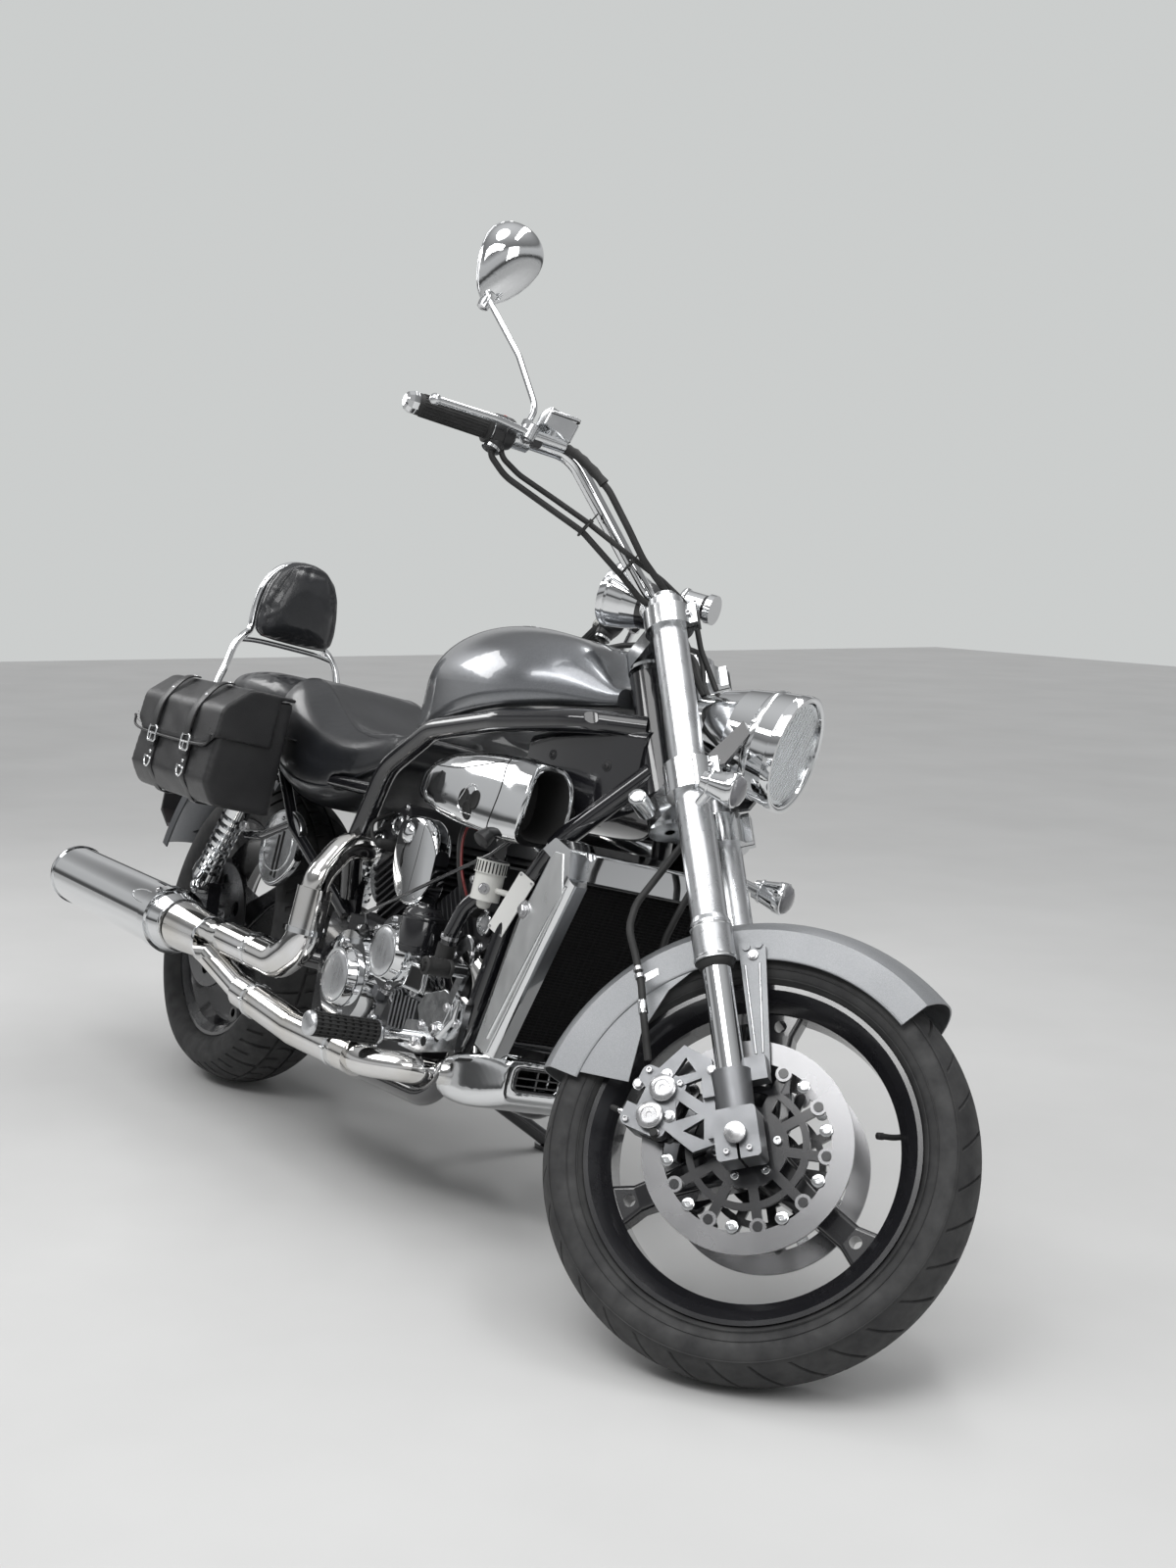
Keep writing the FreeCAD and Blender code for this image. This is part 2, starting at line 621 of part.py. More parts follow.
def grip_pieces():
    tip = along_end_run(0)
    inner = along_end_run(GRIP_L)
    start = along_end_run(6)
    grip = rod(start, inner, GRIP_R)
    flange = rod(inner, along_end_run(GRIP_L + 4), GRIP_R + 6)
    grip = fused([grip, flange]).cut(rod(tip, along_end_run(GRIP_L + 10), BAR_R))
    return grip


def build_grips():
    keep("grips", gathered(both_sides(grip_pieces())), STEERED)


LEVEL_UP = at(math.sin(math.radians(RAKE_DEG)), 0, math.cos(math.radians(RAKE_DEG)))
LEVEL_AHEAD = at(math.cos(math.radians(RAKE_DEG)), 0, -math.sin(math.radians(RAKE_DEG)))
PERCH_IN = GRIP_L + 45.0
PERCH_OUT = GRIP_L + 72.0
LEVER_REACH = 58.0
RESERVOIR = (54.0, 40.0, 30.0)


def grip_direction():
    """From the bar's end inward along the left grip."""
    return (along_end_run(10) - along_end_run(0)).normalize()


def level_ahead():
    """Square to the grip and level with the ground, ahead of it."""
    return LEVEL_UP.cross(grip_direction()).normalize()


def perch_middle():
    return (along_end_run(PERCH_IN) + along_end_run(PERCH_OUT)) * 0.5


def reservoir_block():
    """The brake fluid box, level, inboard of the perch and ahead of the bar."""
    inward = grip_direction()
    length, width, height = RESERVOIR
    centre = perch_middle() + inward * 34 + level_ahead() * 34 + LEVEL_UP * 26
    box = block(at(-length / 2, -width / 2, -height / 2), at(length / 2, width / 2, height / 2))
    box = box.makeFillet(5.0, [e for e in box.Edges if abs(e.tangentAt(0).z) > 0.9])
    box.Placement = Placement(centre, Rotation(inward, level_ahead(), LEVEL_UP, "ZXY"))
    return box


def hand_control():
    """Left-side switch housing, lever perch with reservoir and ball-end lever."""
    ahead = level_ahead()
    inward = grip_direction()
    near = along_end_run(GRIP_L + 5)
    far = along_end_run(GRIP_L + 42)
    housing = rod(near, far, 22.0)
    belly = rod((near + far) * 0.5, (near + far) * 0.5 - LEVEL_UP * 34, 15.0)
    middle = perch_middle()
    perch = rod(along_end_run(PERCH_IN), along_end_run(PERCH_OUT), 19.0)
    pivot = middle + ahead * 36
    arm = rod(middle, pivot, 11.0)
    boss = rod(pivot - LEVEL_UP * 12, pivot + LEVEL_UP * 12, 11.0)
    tip = along_end_run(14) + ahead * LEVER_REACH - LEVEL_UP * 4
    knee = along_end_run(GRIP_L - 10) + ahead * (LEVER_REACH - 6)
    lever = pipe([tuple(pivot), tuple(knee), tuple(tip)], 6.0, 60.0)
    ball = Part.makeSphere(9.0, tip)
    cylinder_body = rod(pivot - ahead * 4 + inward * 2, pivot - ahead * 4 + inward * 62, 11.0)
    stalk = rod(middle + inward * 34 + ahead * 32, middle + inward * 34 + ahead * 32 + LEVEL_UP * 22, 9.0)
    whole = fused([housing, belly, rod(far, along_end_run(PERCH_IN), 16.0), perch, arm, boss, lever, ball,
                   cylinder_body, stalk, reservoir_block()])
    return biggest(whole.cut(rod(along_end_run(0), along_end_run(GRIP_L + 90), BAR_R)).cut(grip_pieces()))


def build_hand_controls():
    keep("hand_controls", gathered(both_sides(hand_control())), STEERED)


MIRROR_ROWS = [(-0.50, 0.10), (-0.40, 0.38), (-0.22, 0.70), (0.0, 0.93), (0.17, 1.0), (0.34, 0.88),
               (0.46, 0.56), (0.50, 0.26)]


def mirror_section(height, share):
    """Half an ellipse across the head: flat in front, domed behind."""
    z = height * MIRROR_H
    half = share * MIRROR_W / 2
    curve = Part.ArcOfEllipse(Part.Ellipse(at(0, 0, z), half, half * 2 * MIRROR_DEPTH / MIRROR_W), 0, math.pi)
    return Part.Wire([curve.toShape(), Part.LineSegment(at(-half, 0, z), at(half, 0, z)).toShape()])


def mirror_piece(control):
    """A stem rising from the lever perch to a teardrop head: broad above, pointed at the stem."""
    foot = perch_middle() + LEVEL_UP * 17
    centre = at(*MIRROR_AT)
    facing = at(-0.60, -0.61, 0.51).normalize()
    upward = (LEVEL_UP - facing * LEVEL_UP.dot(facing)).normalize()
    stem_end = centre - upward * (MIRROR_H * 0.46) - facing * (MIRROR_DEPTH * 0.25)
    knee = (foot + stem_end) * 0.5 + at(22, 0, 6)
    stem = pipe([tuple(foot), tuple(foot + LEVEL_UP * 40), tuple(knee), tuple(stem_end)], 5.0, 40.0)
    base = rod(foot - LEVEL_UP * 2, foot + LEVEL_UP * 14, 8.0)
    egg = Part.makeLoft([mirror_section(*row) for row in MIRROR_ROWS], True, False)
    egg.Placement = Placement(centre, Rotation(upward.cross(facing), facing * -1, upward, "ZYX"))
    return fused([stem, base, egg]).cut(control)


def build_mirrors():
    head = mirrored(mirror_piece(hand_control()))
    keep("mirrors", biggest(head.cut(in_frame("handlebar", STEERED))), STEERED)


def build_headlight():
    """A teardrop shell with a visor rim, drawn level in the upright frame."""
    axis = at(1, 0, -0.03).normalize()
    middle = at(1472, 0, 905)
    profile = [(0, -183), (20, -179), (42, -157), (61, -122), (76, -80), (86, -36), (92, 0), (92, 14),
               (84, 14), (82, 2), (30, -18), (0, -22)]
    face = Part.Face(closed_wire([at(0, r, y) for r, y in profile]))
    shell = face.revolve(at(0, 0, 0), Z_AXIS, FULL_TURN)
    shell.Placement = Placement(middle, Rotation(Z_AXIS, axis))
    lens = Part.makeCylinder(81.5, 6.0, middle + axis * 4, axis)
    shell_f = to_fork(shell)
    keep("headlight_shell", shell_f, STEERED)
    keep("headlight_lens", to_fork(lens), STEERED)
    arms = []
    for s in (-1, 1):
        arm = plate_y([(24, 594), (90, 640), (96, 616), (52, 576), (24, 578)], s * 78, s * 88)
        arms.append(arm.cut(shell_f))
    return [biggest(arm) for arm in arms]


def build_instruments():
    """The teardrop speedometer pod and the small round gauge ahead of the bar."""
    rows = [(0, -96), (16, -90), (34, -62), (46, -26), (52, 0), (52, 12), (44, 12), (44, 6), (0, 6)]
    face = Part.Face(closed_wire([at(0, r, y) for r, y in rows]))
    pod = face.revolve(at(0, 0, 0), Z_AXIS, FULL_TURN)
    pod.Placement = Placement(at(-92, 0, 965), Rotation(Z_AXIS, at(-0.75, 0, 0.55)))
    bracket = pipe([(-60, 0, 940), (-44, 0, 915), (-32, 0, 905)], 9.0, 20.0)
    return fused([pod, bracket])


INDICATORS = [(-1, 0.0), (1, 46.0)]


def indicator(side, drop, outer):
    """A front indicator on its stalk: the left one hangs lower by the drop."""
    back = at(30, side * 158, 520 - drop)
    ahead = LEVEL_AHEAD
    stalk = rod(at(6, side * 120, 500 - drop * 0.4), at(40, side * 152, 509 - drop), 8.0)
    body = taper(back, back + ahead * 42, 15.0, 25.0)
    lens = rod(back + ahead * 41, back + ahead * 54, 24.0)
    return fused([stalk, body, lens]).cut(outer if side > 0 else mirrored(outer))


# Routes in the fork's frame, of the right side where both sides have one
SWITCH_CABLE = [(-197, -308, 1095), (-203, -306, 1076), (-190, -282, 1048), (-150, -236, 1018),
                (-100, -186, 978), (-62, -124, 925), (-42, -90, 893), (-14, -66, 870), (8, -42, 842),
                (10, -34, 795), (24, -22, 735)]
THROTTLE_CABLE = [(-186, -300, 1097), (-188, -296, 1074), (-170, -270, 1052), (-132, -226, 1026),
                  (-88, -186, 990), (-36, -142, 938), (-2, -98, 912), (22, -68, 884), (34, -52, 850),
                  (34, -44, 805), (46, -28, 735)]
BRAKE_HOSE = [(-104, -262, 1094), (-78, -244, 1076), (-44, -215, 1022), (-28, -180, 966),
              (-18, -148, 926), (-3, -112, 898), (13, -74, 868), (15, -58, 842), (12, -57, 806),
              (6, -62, 760), (-2, -66, 690), (-1, -64, 630), (8, -59, 580), (8, -59, 512),
              (-34, -67, 468), (-78, -69, 424), (-110, -80, 386), (-124, -90, 346), (-116, -100, 298),
              (-112, -103, 250), (-114, -103, 200), (-118, -92, 140)]
CLUTCH_CABLE = [(-104, 262, 1094), (-78, 244, 1076), (-44, 215, 1022), (-28, 180, 966), (-18, 148, 926),
                (-3, 112, 898), (13, 74, 868), (16, 58, 838), (15, 48, 790), (30, 28, 735)]
LEFT_HOSE = [(-14, 44, 531), (-22, 52, 505), (-44, 66, 466), (-78, 69, 424), (-110, 80, 386),
             (-124, 90, 346), (-116, 100, 298), (-112, 103, 250), (-114, 103, 200), (-118, 92, 140)]
CLOCK_AT = (24.0, 62.0, 950.0)
CLOCK_R = 21.0
CLOCK_L = 52.0


def clock():
    """The small round gauge beside the pod, on an arm from the bar."""
    centre = at(*CLOCK_AT)
    can = rod(centre - LEVEL_AHEAD * (CLOCK_L / 2), centre + LEVEL_AHEAD * (CLOCK_L / 2), CLOCK_R)
    ring = rod(centre + LEVEL_AHEAD * (CLOCK_L / 2 - 8), centre + LEVEL_AHEAD * (CLOCK_L / 2 + 3), CLOCK_R + 4)
    arm = rod(centre, at(BAR_MIDDLE_X, 58, BAR_MIDDLE_Z), 6.0)
    return fused([can, ring, arm])


def in_frame(name, placement):
    """A finished node taken back into the frame that it was drawn in."""
    shape = nodes[name].copy()
    shape.Placement = placement.inverse().multiply(shape.Placement)
    return shape


def build_cables():
    """Cables and hoses of both hand controls: down the bar, past the upper clamp into the lamp's shell or
    on to the calipers."""
    wiring = pipe(SWITCH_CABLE, CABLE_R + 0.5, HOSE_BEND)
    lines = [wiring, mirrored(wiring)]
    lines += [pipe(route, CABLE_R, HOSE_BEND) for route in (THROTTLE_CABLE, CLUTCH_CABLE)]
    lines += [pipe(route, HOSE_R, HOSE_BEND) for route in (BRAKE_HOSE, LEFT_HOSE)]
    ends = [in_frame(name, STEERED) for name in ("hand_controls", "headlight_shell", "lower_clamp",
                                                 "front_calipers")]
    keep("cables", gathered([biggest(line.cut(Part.makeCompound(ends))) for line in lines]), STEERED)


def build_steering_trim(arms, outer, upper):
    pod = build_instruments()
    bar = handlebar_shape()
    pod = biggest(pod.cut(bar).cut(upper))
    gauge = biggest(clock().cut(bar).cut(upper))
    keep("instrument_pod", gathered([pod, gauge]), STEERED)
    keep("headlight_arms", gathered(arms), STEERED)
    keep("front_indicators", gathered([biggest(indicator(s, drop, outer)) for s, drop in INDICATORS]),
         STEERED)


# Frame, drawn upright

HEAD_LOW = LOWER_CLAMP_Z + LOWER_CLAMP_H + HEAD_GAP
HEAD_HIGH = UPPER_CLAMP_Z - HEAD_GAP
BEARING_H = 14.0
HEAD_BORE_R = 20.0
PIVOT_X = 540.0
PIVOT_Z = 330.0
PIVOT_R = 12.0
PLATE_Y0 = 80.0
PLATE_Y1 = 92.0
TOP_TUBE_R = 19.0
DOWN_TUBE_R = 17.0
RAIL_R = 13.0
CRADLE_Y = 112.0
TOP_TUBE = [(1262, 22, 872), (1196, 100, 862), (1010, 138, 836), (800, 140, 799), (660, 136, 716),
            (575, 122, 560), (548, 92, 470)]
DOWN_TUBE = [(1300, 20, 806), (1208, 100, 668), (1138, CRADLE_Y, 545), (1096, CRADLE_Y, 345),
             (1044, CRADLE_Y, 204), (620, CRADLE_Y, 188), (560, 92, 250)]
SEAT_RAIL = [(640, 128, 672), (430, 124, 668), (210, 128, 690), (20, 131, 748), (-190, 131, 768)]
BRACE = [(205, 128, 676), (330, 130, 560), (560, 98, 432)]
BRACE_ARM = [(318, 130, 566), (215, 134, 528), (140, 136, 520)]


def head_tube():
    low = axis_point(HEAD_LOW)
    high = axis_point(HEAD_HIGH)
    step = (high - low).normalize() * BEARING_H
    tube = rod(low, high, HEAD_TUBE_R)
    tube = tube.cut(rod(low + step, high - step, HEAD_BORE_R))
    return tube.cut(rod(low - step, high + step, STEM_R + SEAT_GAP))


def neck_body():
    """The black side panels of the neck, narrow at the head and broad behind."""
    rows = [(1045, 92, 705, 828, 14, 14), (1150, 84, 690, 850, 14, 14), (1285, 36, 742, 868, 14, 14)]
    return lofted(rows)


def build_frame():
    pieces = []
    for y_sign in (-1, 1):
        def side(route):
            return [(x, y_sign * y, z) for x, y, z in route]
        pieces.append(pipe(side(TOP_TUBE), TOP_TUBE_R, 120.0))
        pieces.append(pipe(side(DOWN_TUBE), DOWN_TUBE_R, 110.0))
        pieces.append(pipe(side(SEAT_RAIL), RAIL_R, 90.0))
        pieces.append(pipe(side(BRACE), RAIL_R - 2, 60.0))
        pieces.append(pipe(side(BRACE_ARM), RAIL_R - 3, 40.0))
        outline = [(500, 232), (590, 225), (598, 330), (572, 500), (530, 520), (492, 420), (486, 330)]
        pieces.append(plate_y(outline, y_sign * PLATE_Y0, y_sign * PLATE_Y1))
        gusset = [(150, 700), (235, 690), (222, 640), (185, 632), (168, 660)]
        pieces.append(plate_y(gusset, y_sign * 122, y_sign * 138))
    head = head_tube()
    low = axis_point(HEAD_LOW)
    high = axis_point(HEAD_HIGH)
    core = rod(low, high, HEAD_TUBE_R - 1)
    shell = [piece.cut(core) for piece in pieces + [neck_body()]]
    crosses = [
        rod(at(-150, -131, 764), at(-150, 131, 764), RAIL_R),
        rod(at(400, -124, 668), at(400, 124, 668), RAIL_R),
        rod(at(610, -CRADLE_Y, 188), at(610, CRADLE_Y, 188), DOWN_TUBE_R),
        rod(at(1090, -CRADLE_Y, 330), at(1090, CRADLE_Y, 330), RAIL_R),
    ]
    whole = fused([head] + shell + crosses)
    pivot = rod(at(PIVOT_X, -100, PIVOT_Z), at(PIVOT_X, 100, PIVOT_Z), PIVOT_R)
    whole = whole.cut(pivot)
    keep("frame", whole, AT_REST)
    return whole


# Swingarm, shocks, belt

ARM_Y = 147.0
ARM_R = 20.0


def build_swingarm():
    pieces = []
    for s in (-1, 1):
        route = [(PIVOT_X - 8, s * 48, PIVOT_Z), (462, s * 52, PIVOT_Z), (352, s * 138, 328),
                 (40, s * ARM_Y, 318)]
        pieces.append(pipe(route, ARM_R, 60.0))
        end = [(80, 296), (80, 342), (66, 404), (34, 404), (-20, 350), (-52, 340), (-52, 290), (-10, 284)]
        pieces.append(plate_y(end, s * (ARM_Y - 14), s * (ARM_Y + 13)))
    sleeve = rod(at(PIVOT_X, -PLATE_Y0 + 1, PIVOT_Z), at(PIVOT_X, PLATE_Y0 - 1, PIVOT_Z), 24.0)
    bridge = rod(at(395, -110, PIVOT_Z), at(395, 110, PIVOT_Z), 16.0)
    arm = fused(pieces + [sleeve, bridge])
    arm = arm.cut(rod(at(PIVOT_X, -200, PIVOT_Z), at(PIVOT_X, 200, PIVOT_Z), PIVOT_R))
    axle_cut = rod(at(0, -250, REAR_TYRE_R), at(0, 250, REAR_TYRE_R), REAR_AXLE_R)
    arm = arm.cut(axle_cut)
    bolt = rod(at(PIVOT_X, -PLATE_Y1 - 2, PIVOT_Z), at(PIVOT_X, PLATE_Y1 + 2, PIVOT_Z), PIVOT_R)
    caps = [rod(at(PIVOT_X, s * PLATE_Y1, PIVOT_Z), at(PIVOT_X, s * (PLATE_Y1 + 5), PIVOT_Z), 18.0)
            for s in (-1, 1)]
    axle = rod(at(0, -ARM_Y - 22, REAR_TYRE_R), at(0, ARM_Y + 22, REAR_TYRE_R), REAR_AXLE_R)
    nuts = [rod(at(0, s * (ARM_Y + 13), REAR_TYRE_R), at(0, s * (ARM_Y + 26), REAR_TYRE_R), 18.0)
            for s in (-1, 1)]
    spacers = [rod(at(0, -ARM_Y + 14, REAR_TYRE_R), at(0, -REAR_HUB_HALF - 0.5, REAR_TYRE_R), 18.0),
               rod(at(0, REAR_HUB_HALF + 0.5, REAR_TYRE_R), at(0, ARM_Y - 14, REAR_TYRE_R), 18.0)]
    keep("swingarm", gathered([arm, fused([bolt] + caps)]), AT_REST)
    keep("rear_axle", fused([axle] + nuts + spacers), AT_REST)


def build_rear_caliper(swingarm):
    """The rear caliper astride its disc, on a plate that hangs on the axle inside the swingarm."""
    y0 = REAR_DISC_Y - 31
    y1 = REAR_DISC_Y + 22
    body = block(at(-40, y0, REAR_DISC_R - 46), at(40, y1, REAR_DISC_R + 14))
    body = body.makeFillet(12.0, [e for e in body.Edges if abs(e.tangentAt(0).y) > 0.9])
    slot = rod(at(0, REAR_DISC_Y - 7.5, 0), at(0, REAR_DISC_Y + 7.5, 0), REAR_DISC_R + 6)
    hub_room = rod(at(0, REAR_DISC_Y, 0), at(0, 0, 0), 70.0)
    body = body.cut(slot).cut(hub_room)
    plate = plate_y([(-30, 0), (-36, REAR_DISC_R - 20), (36, REAR_DISC_R - 20), (30, 0)], y0 - 5, y0)
    plate = fused([plate, rod(at(0, y0 - 5, 0), at(0, y0, 0), 32.0)])
    plate = plate.cut(rod(at(0, -200, 0), at(0, 0, 0), 18.0 + SEAT_GAP))
    whole = fused([body, plate])
    whole.rotate(at(0, 0, 0), Y_AXIS, REAR_CALIPER_DEG)
    whole.translate(at(0, 0, REAR_TYRE_R))
    keep("rear_caliper", biggest(whole.cut(swingarm)), AT_REST)


SHOCK_Y = 172.0
SHOCK_TOP = (200.0, 655.0)
SHOCK_LOW = (50.0, 392.0)
COILS = 7


def shock():
    """A covered shock: chrome cap, open coils over the damper and the lower eye."""
    top = at(SHOCK_TOP[0], SHOCK_Y, SHOCK_TOP[1])
    low = at(SHOCK_LOW[0], SHOCK_Y, SHOCK_LOW[1])
    span = top - low

    def along(share):
        return low + span * share

    eyes = [rod(point + at(0, -11, 0), point + at(0, 11, 0), 15.0) for point in (top, low)]
    damper = rod(along(0.02), along(0.98), 13.0)
    cover = rod(along(0.62), along(0.93), 27.0)
    seat = rod(along(0.10), along(0.16), 28.0)
    body = rod(along(0.12), along(0.34), 19.0)
    coils = []
    for i in range(COILS):
        start = 0.18 + i * 0.44 / COILS
        coils.append(rod(along(start), along(start + 0.028), 25.0))
    studs = [rod(top + at(0, -38, 0), top, 8.0), rod(low + at(0, -14, 0), low, 8.0)]
    whole = fused([damper, cover, seat, body] + eyes + coils)
    return fused([whole] + studs)


def build_shocks(neighbours):
    keep("shocks", gathered([piece.cut(neighbours) for piece in both_sides(shock())]), AT_REST)


def build_belt():
    """The drive belt, a closed band round both pulleys."""
    rear_c = (0.0, REAR_TYRE_R)
    front_c = (FRONT_PULLEY_X, FRONT_PULLEY_Z)
    outer = belt_outline(rear_c, PULLEY_R + BELT_GAP + BELT_T, front_c, FRONT_PULLEY_R + BELT_GAP + BELT_T)
    inner = belt_outline(rear_c, PULLEY_R + BELT_GAP, front_c, FRONT_PULLEY_R + BELT_GAP)
    belt = outer.cut(inner)
    keep("drive_belt", belt, AT_REST)


def belt_outline(centre_a, r_a, centre_b, r_b):
    """The area wrapped by a taut band round two circles, extruded over the belt's width."""
    dx = centre_b[0] - centre_a[0]
    dz = centre_b[1] - centre_a[1]
    length = math.hypot(dx, dz)
    tilt = math.atan2(dz, dx)
    wrap = math.acos((r_a - r_b) / length)

    def on(centre, radius, angle):
        return at(centre[0] + radius * math.cos(angle), PULLEY_Y0 + 1, centre[1] + radius * math.sin(angle))

    edges = [
        Part.LineSegment(on(centre_a, r_a, tilt + wrap), on(centre_b, r_b, tilt + wrap)),
        Part.Arc(on(centre_b, r_b, tilt + wrap), on(centre_b, r_b, tilt), on(centre_b, r_b, tilt - wrap)),
        Part.LineSegment(on(centre_b, r_b, tilt - wrap), on(centre_a, r_a, tilt - wrap)),
        Part.Arc(on(centre_a, r_a, tilt - wrap), on(centre_a, r_a, tilt + math.pi),
                 on(centre_a, r_a, tilt + wrap)),
    ]
    face = Part.Face(Part.Wire([e.toShape() for e in edges]))
    return face.extrude(at(0, PULLEY_Y1 - PULLEY_Y0 - 2, 0))


# Engine

CRANK = (800.0, 380.0)
CYLINDER_HALF_Y = 92.0
CYLINDER_HALF = 76.0
BARREL_START = 118.0
BARREL_FINS = 7
FIN_PITCH = 14.0
FIN_T = 4.0
HEAD_H = 72.0


def engine_case():
    low = block(at(604, -92, 240), at(980, 92, 452))
    right = block(at(622, -120, 236), at(980, 0, 446))
    left = block(at(720, 0, 236), at(980, 120, 446))
    case = fused([low, right, left])
    nose = lofted([(950, 96, 262, 430, 30, 30), (1010, 80, 290, 400, 30, 30)])
    shaft = rod(at(FRONT_PULLEY_X, 80, FRONT_PULLEY_Z), at(FRONT_PULLEY_X, PULLEY_Y1, FRONT_PULLEY_Z), 16.0)
    pulley = rod(at(FRONT_PULLEY_X, PULLEY_Y0, FRONT_PULLEY_Z),
                 at(FRONT_PULLEY_X, PULLEY_Y1, FRONT_PULLEY_Z), FRONT_PULLEY_R)
    return fused([case, nose, shaft, pulley])


def cylinder(tilt_deg):
    """A finned barrel with its head, drawn upright over the crankshaft and then tilted."""
    core = block(at(-CYLINDER_HALF + 9, -CYLINDER_HALF_Y + 9, BARREL_START),
                 at(CYLINDER_HALF - 9, CYLINDER_HALF_Y - 9, BARREL_START + BARREL_FINS * FIN_PITCH + 20))
    fins = []
    for i in range(BARREL_FINS):
        z = BARREL_START + 10 + i * FIN_PITCH
        fin = block(at(-CYLINDER_HALF, -CYLINDER_HALF_Y, z), at(CYLINDER_HALF, CYLINDER_HALF_Y, z + FIN_T))
        fins.append(fin.makeFillet(12.0, [e for e in fin.Edges if abs(e.tangentAt(0).z) > 0.9]))
    z_head = BARREL_START + BARREL_FINS * FIN_PITCH + 14
    head = block(at(-CYLINDER_HALF + 4, -CYLINDER_HALF_Y + 3, z_head),
                 at(CYLINDER_HALF - 4, CYLINDER_HALF_Y - 3, z_head + HEAD_H))
    head = head.makeChamfer(14.0, [e for e in head.Edges if abs(e.tangentAt(0).y) > 0.9
                                   and e.CenterOfMass.z > z_head + HEAD_H / 2])
    cam = [rod(at(x, -CYLINDER_HALF_Y - 4, z_head + 40), at(x, CYLINDER_HALF_Y + 4, z_head + 40), 22.0)
           for x in (-34, 34)]
    whole = fused([core, head] + fins + cam)
    whole.rotate(at(0, 0, 0), Y_AXIS, tilt_deg)
    whole.translate(at(CRANK[0], 0, CRANK[1]))
    return whole


def round_cover(x, z, y_out, r, cap_r, depth):
    """A raised round engine cover with a dished cap, standing out to the right."""
    drum = taper(at(x, -118, z), at(x, -y_out, z), r, r - 10)
    cap = taper(at(x, -y_out, z), at(x, -y_out - depth, z), cap_r, cap_r - 5)
    return fused([drum, cap])


OIL_CAN = at(915, -138, 428)
OIL_CAN_R = 36.0
OIL_CAN_H = 62.0
BOTTLE_AT = at(1075, -128, 546)
BOTTLE_R = 24.0
BOTTLE_H = 44.0
COOLANT_HOSE = [(1050, -120, 552), (1032, -134, 528), (1018, -142, 474), (1008, -138, 425),
                (1000, -118, 392), (990, -84, 368)]


def build_coolant(solids):
    """The expansion bottle beside the front cylinder and the hose down to the pump."""
    top = BOTTLE_AT + Z_AXIS * BOTTLE_H
    bottle = fused([rod(BOTTLE_AT, top, BOTTLE_R), rod(top, top + Z_AXIS * 22, BOTTLE_R + 3)])
    stay = rod(BOTTLE_AT + at(0, 0, 20), at(1140, -CRADLE_Y, BOTTLE_AT.z + 20), 5.0)
    bottle = biggest(fused([bottle, stay]).cut(solids))
    keep("coolant_bottle", bottle, AT_REST)
    hose = pipe(COOLANT_HOSE, 13.0, 60.0).cut(solids).cut(bottle)
    keep("coolant_hose", biggest(hose), AT_REST)


def build_engine(frame):
    case = engine_case().cut(frame)
    rear = cylinder(-35.0)
    front = cylinder(55.0)
    barrels = [biggest(piece.cut(case).cut(frame)) for piece in (rear, front)]
    keep("engine_block", case, AT_REST)
    case_box = block(at(895, -150, 366), at(985, -118, 412))
    case_box = case_box.makeFillet(6.0, [e for e in case_box.Edges if e.CenterOfMass.y < -149])
    clutch = fused([round_cover(735, 345, 168, 92, 52, 14), round_cover(872, 415, 160, 74, 48, 16), case_box])
    clutch = clutch.cut(case)
    can = fused([rod(OIL_CAN, OIL_CAN + Z_AXIS * OIL_CAN_H, OIL_CAN_R),
                 taper(OIL_CAN + Z_AXIS * OIL_CAN_H, OIL_CAN + Z_AXIS * (OIL_CAN_H + 14), OIL_CAN_R, 24.0)])
    can = biggest(can.cut(Part.makeCompound([clutch, case] + barrels)))
    keep("cylinders", gathered(barrels + [can]), AT_REST)
    tall = lofted_cover()
    tall = tall.cut(Part.makeCompound(barrels + [case]))
    alternator = taper(at(850, 118, 350), at(850, 170, 350), 92.0, 80.0)
    alternator = fused([alternator, taper(at(850, 170, 350), at(850, 182, 350), 50.0, 44.0)]).cut(case)
    cup = rod(at(FRONT_PULLEY_X, 93, FRONT_PULLEY_Z), at(FRONT_PULLEY_X, 146, FRONT_PULLEY_Z), 72.0)
    pocket = rod(at(FRONT_PULLEY_X, 92, FRONT_PULLEY_Z), at(FRONT_PULLEY_X, 130, FRONT_PULLEY_Z), 62.0)
    mouth = block(at(PIVOT_X - 60, 92, FRONT_PULLEY_Z - 80), at(FRONT_PULLEY_X, 130, FRONT_PULLEY_Z + 80))
    cup = cup.cut(pocket).cut(mouth).cut(case)
    keep("engine_covers", gathered([clutch, alternator, cup] + tall.Solids), AT_REST)
    return barrels, case


def lofted_cover():
    """The tall chrome covers in the cylinders' V, one each side."""
    rows = [(742, 16, 604, 632, 5, 12), (790, 20, 505, 650, 5, 14), (850, 20, 500, 642, 5, 14),
            (884, 14, 540, 600, 5, 12)]
    right = Part.makeLoft([rounded_section(*row, -112) for row in rows], True, False)
    return Part.makeCompound(both_sides(right))


# Tank, seats and covers

